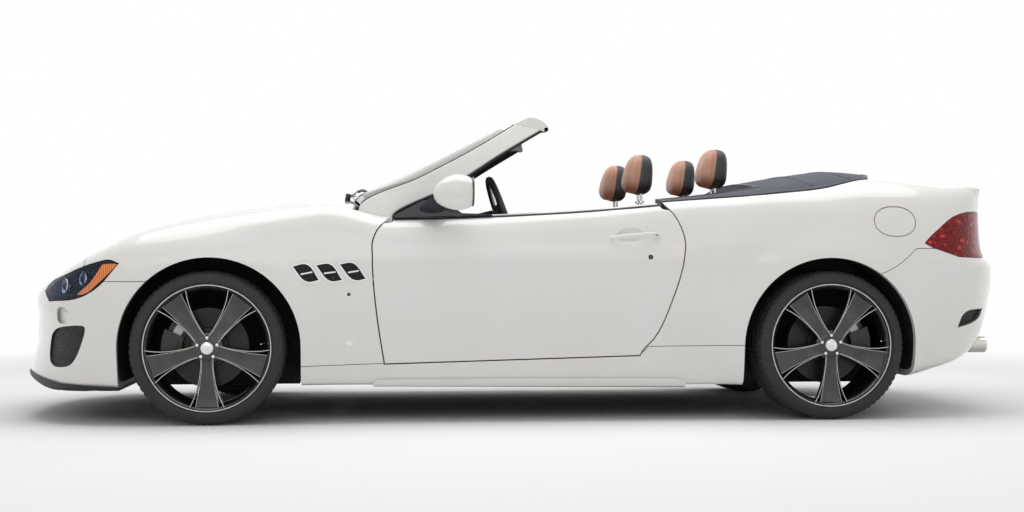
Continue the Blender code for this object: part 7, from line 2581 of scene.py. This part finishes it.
class TOURING_OT_seats(bpy.types.Operator):
    """Makes the upholstered seats and headrests, tan on their faces and black on their backs"""

    bl_idname = "touring.seats"
    bl_label = "Seats"

    def execute(self, context):
        settings = context.scene.touring_seats
        head = self.headrest_cover(settings)
        for end in ("front", "rear"):
            cushion = self.bolstered(CUSHIONS[end], SEAT_HALF[end], end, Vector((0, 0, 1)))
            back = self.bolstered(BACKS[end], SEAT_HALF[end], end, Vector((-1, 0, 0)))
            cushion = swollen(cushion, settings.voxel * 2, settings.give)
            back = swollen(back, settings.voxel * 2, settings.give)
            lines = [((0, 1, 0), y) for y in self.channels(end)]
            cushion = two_tone(
                channelled(
                    cushion, lines + [((1, 0, 0), along(0.56 if end == "front" else 0.79))], 0.004, 0.009
                ),
                (0, 0, 1), 0.25
            )
            back = two_tone(
                channelled(back, lines + [((0, 0, 1), up(0.7)), ((0, 0, 1), up(0.86))], 0.004, 0.009),
                (-1, 0, 0.2), 0.3
            )
            for side, sign in SIDES if end == "front" else (("bench", 0),):
                shift = Matrix.Translation((0, sign * SEAT_MIDDLE, 0))
                node = f"front_seat_{side}" if end == "front" else "rear_seats"
                for label, mesh in (("cushion", cushion), ("back", back)):
                    replaced = (node,) if label == "back" else ()
                    cover = piece(
                        f"{end}_{label}_{side}", shade(moved(mesh.copy(), shift), 80),
                        ("tan_leather", "black_leather"), "chassis", replaced
                    )
                if end == "front":
                    self.rails(side, sign)
            for side, sign in SIDES:
                x, z = HEADRESTS[end][:2]
                cover = moved(head.copy(), Matrix.Translation((x, sign * SEAT_MIDDLE, z)))
                piece(f"{end}_headrest_{side}", shade(cover, 80), ("tan_leather", "black_leather"))
                posts = []
                for y in (-0.045, 0.045):
                    foot = Vector((x + 0.004, sign * SEAT_MIDDLE + y, up(0.98)))
                    posts.append(
                        tube(
                            [foot, foot + Vector((0.002, 0, 0.1)), Vector((x + 0.002, foot.y, z - 0.05))],
                            0.0065, 16
                        )
                    )
                    collar = turned([(0.0066, -0.004), (0.015, -0.004), (0.0145, 0.005), (0.0066, 0.007)], 20)
                    posts.append(
                        moved(
                            collar,
                            Matrix.Translation((
                                foot.x + 0.001, foot.y, up(1.062 if end == "front" else 1.072)
                            ))
                        )
                    )
                piece(f"{end}_headrest_posts_{side}", shade(pooled(*posts), 40), ("bright_metal",))
        return {"FINISHED"}

    def channels(self, end):
        if end == "front":
            return (-0.155, -0.05, 0.05, 0.155)
        return tuple(sign * SEAT_MIDDLE + y for sign in (-1, 1) for y in (-0.15, -0.05, 0.05, 0.15))

    def bolstered(self, shares, half, end, towards):
        """Cushion form through outlines across the seat, raised towards its sides."""
        outline = side_points(shares, 4)
        centre = Vector((sum(p[0] for p in outline), sum(p[1] for p in outline))) / len(outline)
        sections = []
        for share in np.linspace(-1, 1, 33):
            y = share * half
            if end == "front":
                rise = 0.034 * min(max((abs(share) - 0.55) / 0.25, 0), 1) ** 2
            else:
                rise = 0.028 * math.exp(-((y / 0.1) ** 2)) + 0.02 * min(max((abs(share) - 0.88) / 0.1, 0), 1)
            shrink = 1 - 0.1 * max((abs(share) - 0.9) / 0.1, 0) ** 2
            ring = []
            for x, z in outline:
                px, pz = centre.x + (x - centre.x) * shrink, centre.y + (z - centre.y) * shrink
                facing = max(0.0, (pz - centre.y) / 0.07) if towards.z else max(
                    0.0, (centre.x + (pz - centre.y) * 0.12 - px) / 0.04
                )
                amount = rise * min(facing, 1)
                ring.append((px + towards.x * amount, y, pz + towards.z * amount))
            sections.append(ring)
        return loft("cushion", sections)

    def headrest_cover(self, settings):
        """Rounded headrest leaning backwards, with a welt seam round its face."""
        _, _, long, wide, high = HEADRESTS["front"]
        bm = bmesh.new()
        bmesh.ops.create_uvsphere(bm, u_segments=48, v_segments=32, radius=1)
        for vert in bm.verts:
            x, y, z = vert.co
            bulge = (abs(x) ** 3.4 + abs(y) ** 3.4 + abs(z) ** 3.4) ** (-1 / 3.4)
            x, y, z = x * bulge, y * bulge, z * bulge
            narrow = 1 - 0.1 * z
            x = x * (1 - 0.16 * z - 0.05 * z * z)
            vert.co = (x * long - 0.004 * (1 - z * z), y * wide * narrow, z * high)
        cover = swollen(mesh_of(bm, "headrest"), settings.voxel, settings.give * 0.8)
        cover = channelled(cover, (((1, 0, 0), -0.024), ((1, 0, 0), -0.01)), 0.0045, 0.0045)
        centres = np.empty(len(cover.polygons) * 3)
        cover.polygons.foreach_get("center", centres)
        cover.polygons.foreach_set("material_index", (centres.reshape(-1, 3)[:, 0] > -0.01).astype(np.int32))
        return moved(cover, Matrix.Rotation(math.radians(9), 4, "Y"))

    def rails(self, side, sign):
        """Seat frame skirt and the rails that it slides on."""
        y = sign * SEAT_MIDDLE
        skirt = rounded(
            block((along(0.485), y - 0.19, up(0.27)), (along(0.655), y + 0.19, up(0.385))), 0.012, 3
        )
        rails = [
            rounded(
                block(
                    (along(0.478), y + s * 0.16 - 0.018, up(0.2) + 0.042),
                    (along(0.665), y + s * 0.16 + 0.018, up(0.28))
                ),
                0.004
            )
            for s in (-1, 1)
        ]
        piece(f"seat_frame_{side}", shade(pooled(skirt, *rails), 40), ("moulded_black",))


class TouringStage(bpy.types.PropertyGroup):
    """Lights and floor"""

    top_light: bpy.props.FloatProperty(
        name="Top light", description="Power of the soft light over the car", default=235, min=0, unit="POWER"
    )
    side_light: bpy.props.FloatProperty(
        name="Side light", description="Power of the soft light beside the camera", default=32, min=0,
        unit="POWER"
    )
    sky_light: bpy.props.FloatProperty(
        name="Sky light", description="Strength of the even light from all round", default=0.42, min=0
    )


# light, setting that holds its power, place, aim, size
LIGHTS = (
    ("top_light", "top_light", (0, 0, 5.2), (0, 0, 0), (7.5, 4.5)),
    ("side_light", "side_light", (-1.5, -6.5, 3.4), (0, 0, 0.6), (7.0, 2.4)),
    ("rear_light", "side_light", (2.0, 6.5, 3.4), (0, 0, 0.6), (7.0, 2.4))
)
CAMERA_LENS = 50
CAMERA_SENSOR = 36
CAMERA_SHIFT = 14 / 1024
CAMERA_PLACE = (-0.744, -7.543, 0.716)
CAMERA_TURN = (90, 0, -5.44)
FLOOR_RINGS = (0.01, 2, 4, 8, 16, 60)


class TOURING_OT_stage(bpy.types.Operator):
    """Sets the floor, the soft lights and the camera"""

    bl_idname = "touring.stage"
    bl_label = "Stage"

    def execute(self, context):
        scene = context.scene
        settings = scene.touring_stage
        scene.view_settings.view_transform = "Standard"
        self.world(scene, settings)
        self.floor()
        for name, setting, place, aim, size in LIGHTS:
            self.lamp(name, place, aim, size, getattr(settings, setting))
        camera_data = bpy.data.cameras.new("camera")
        camera_data.lens = CAMERA_LENS
        camera_data.sensor_width = CAMERA_SENSOR
        camera_data.shift_y = CAMERA_SHIFT
        camera = bpy.data.objects.new("camera", camera_data)
        scene.collection.objects.link(camera)
        camera.location = CAMERA_PLACE
        camera.rotation_euler = [math.radians(angle) for angle in CAMERA_TURN]
        scene.camera = camera
        return {"FINISHED"}

    def world(self, scene, settings):
        """Even light on the car, and plain white behind it."""
        world = bpy.data.worlds.new("studio")
        scene.world = world
        world.use_nodes = True
        nodes, links = world.node_tree.nodes, world.node_tree.links
        nodes.clear()
        path = nodes.new("ShaderNodeLightPath")
        light = nodes.new("ShaderNodeBackground")
        light.inputs["Color"].default_value = (1, 1, 1, 1)
        light.inputs["Strength"].default_value = settings.sky_light
        white = nodes.new("ShaderNodeBackground")
        white.inputs["Color"].default_value = (1, 1, 1, 1)
        white.inputs["Strength"].default_value = 1
        seen = path.outputs["Is Camera Ray"]
        for name in ("Is Glossy Ray", "Is Transmission Ray"):
            either = nodes.new("ShaderNodeMath")
            either.operation = "MAXIMUM"
            links.new(seen, either.inputs[0])
            links.new(path.outputs[name], either.inputs[1])
            seen = either.outputs[0]
        mix = nodes.new("ShaderNodeMixShader")
        links.new(seen, mix.inputs["Fac"])
        links.new(light.outputs[0], mix.inputs[1])
        links.new(white.outputs[0], mix.inputs[2])
        output = nodes.new("ShaderNodeOutputWorld")
        links.new(mix.outputs[0], output.inputs["Surface"])

    def floor(self):
        """Pale floor whose far parts run out into plain white, with less glow in an oval round the car as
        painted shade.
        """
        bm = bmesh.new()
        rings = []
        for radius in FLOOR_RINGS:
            rings.append([
                bm.verts.new((radius * math.cos(a), radius * math.sin(a), 0)) for a in round_angles(48)
            ])
        bm.faces.new(rings[0])
        for one, two in zip(rings, rings[1:]):
            for i in range(len(one)):
                bm.faces.new((one[i - 1], two[i - 1], two[i], one[i]))
        floor = bpy.data.objects.new("floor", mesh_of(bm, "floor"))
        bpy.context.scene.collection.objects.link(floor)
        finish = Finish("pale_floor", (0.93, 0.93, 0.93), 0.7)
        place = finish.place((1, 1, 0))
        reach = finish.node("ShaderNodeVectorMath", {"operation": "LENGTH"}, {0: place}, "Value")
        oval_reach = finish.node(
            "ShaderNodeVectorMath", {"operation": "LENGTH"}, {0: finish.place((0.45, 1, 0))}, "Value"
        )
        # Painted shade: the glow that whitens the floor is held back in an oval round the car, so the floor
        # there is darker than beyond it.
        near = finish.spread(oval_reach, 1.0, 2.4, 0.0, 0.34)
        white = finish.node("ShaderNodeEmission", {}, {"Color": (1.0, 1.0, 1.0), "Strength": 1.0})
        matt = finish.node("ShaderNodeBsdfDiffuse", {}, {"Color": (0.93, 0.93, 0.93)})
        mix = finish.node(
            "ShaderNodeMixShader", {}, {0: near.larger(finish.spread(reach, 3.2, 6.5)), 1: matt, 2: white}
        )
        output = finish.tree.nodes["Material Output"]
        finish.tree.links.new(mix.socket, output.inputs["Surface"])
        floor.data.materials.append(finish.material)

    def lamp(self, name, place, aim, size, power):
        data = bpy.data.lights.new(name, "AREA")
        data.shape = "RECTANGLE"
        data.size, data.size_y = size
        data.energy = power
        lamp = bpy.data.objects.new(name, data)
        bpy.context.scene.collection.objects.link(lamp)
        lamp.location = place
        lamp.rotation_euler = (Vector(aim) - Vector(place)).to_track_quat("-Z", "Y").to_euler()


class TOURING_PT_panel(bpy.types.Panel):
    """Lists the makers of the car's pieces"""

    bl_label = "Touring car"
    bl_space_type = "VIEW_3D"
    bl_region_type = "UI"
    bl_category = "Touring car"

    def draw(self, context):
        for settings in (getattr(context.scene, group) for group in SETTINGS):
            for name in settings.bl_rna.properties.keys():
                if name not in ("rna_type", "name"):
                    self.layout.prop(settings, name)
        for operator in OPERATORS:
            self.layout.operator(operator.bl_idname)


FINISH_MAKERS = {
    maker.__name__: maker
    for maker in (
        pearl_paint, dark_mesh, wheel_metal, tyre_rubber, disc_iron, dark_glass, lamp_black, screen_glass,
        amber_lens, red_lens, navy_canvas, black_leather, tan_leather, carpet, steel_pipe, mirror_glass
    )
}
SETTINGS = {
    "touring_body": TouringBody, "touring_wheels": TouringWheels, "touring_seats": TouringSeats,
    "touring_stage": TouringStage
}
OPERATORS = (
    TOURING_OT_nose, TOURING_OT_lids, TOURING_OT_flanks, TOURING_OT_tail, TOURING_OT_wheels, TOURING_OT_trim,
    TOURING_OT_lamps, TOURING_OT_grille, TOURING_OT_windscreen, TOURING_OT_top_cover, TOURING_OT_mirrors,
    TOURING_OT_exhaust, TOURING_OT_wheelhouses, TOURING_OT_cabin, TOURING_OT_seats, TOURING_OT_stage
)


def register():
    for group in SETTINGS.values():
        bpy.utils.register_class(group)
    for name, group in SETTINGS.items():
        setattr(bpy.types.Scene, name, bpy.props.PointerProperty(type=group))
    for operator in OPERATORS:
        bpy.utils.register_class(operator)
    bpy.utils.register_class(TOURING_PT_panel)


def unregister():
    bpy.utils.unregister_class(TOURING_PT_panel)
    for operator in reversed(OPERATORS):
        bpy.utils.unregister_class(operator)
    for name in SETTINGS:
        delattr(bpy.types.Scene, name)
    for group in reversed(tuple(SETTINGS.values())):
        bpy.utils.unregister_class(group)


def main():
    register()
    for operator in OPERATORS:
        group, name = operator.bl_idname.split(".")
        getattr(getattr(bpy.ops, group), name)()


if __name__ == "__main__":
    main()
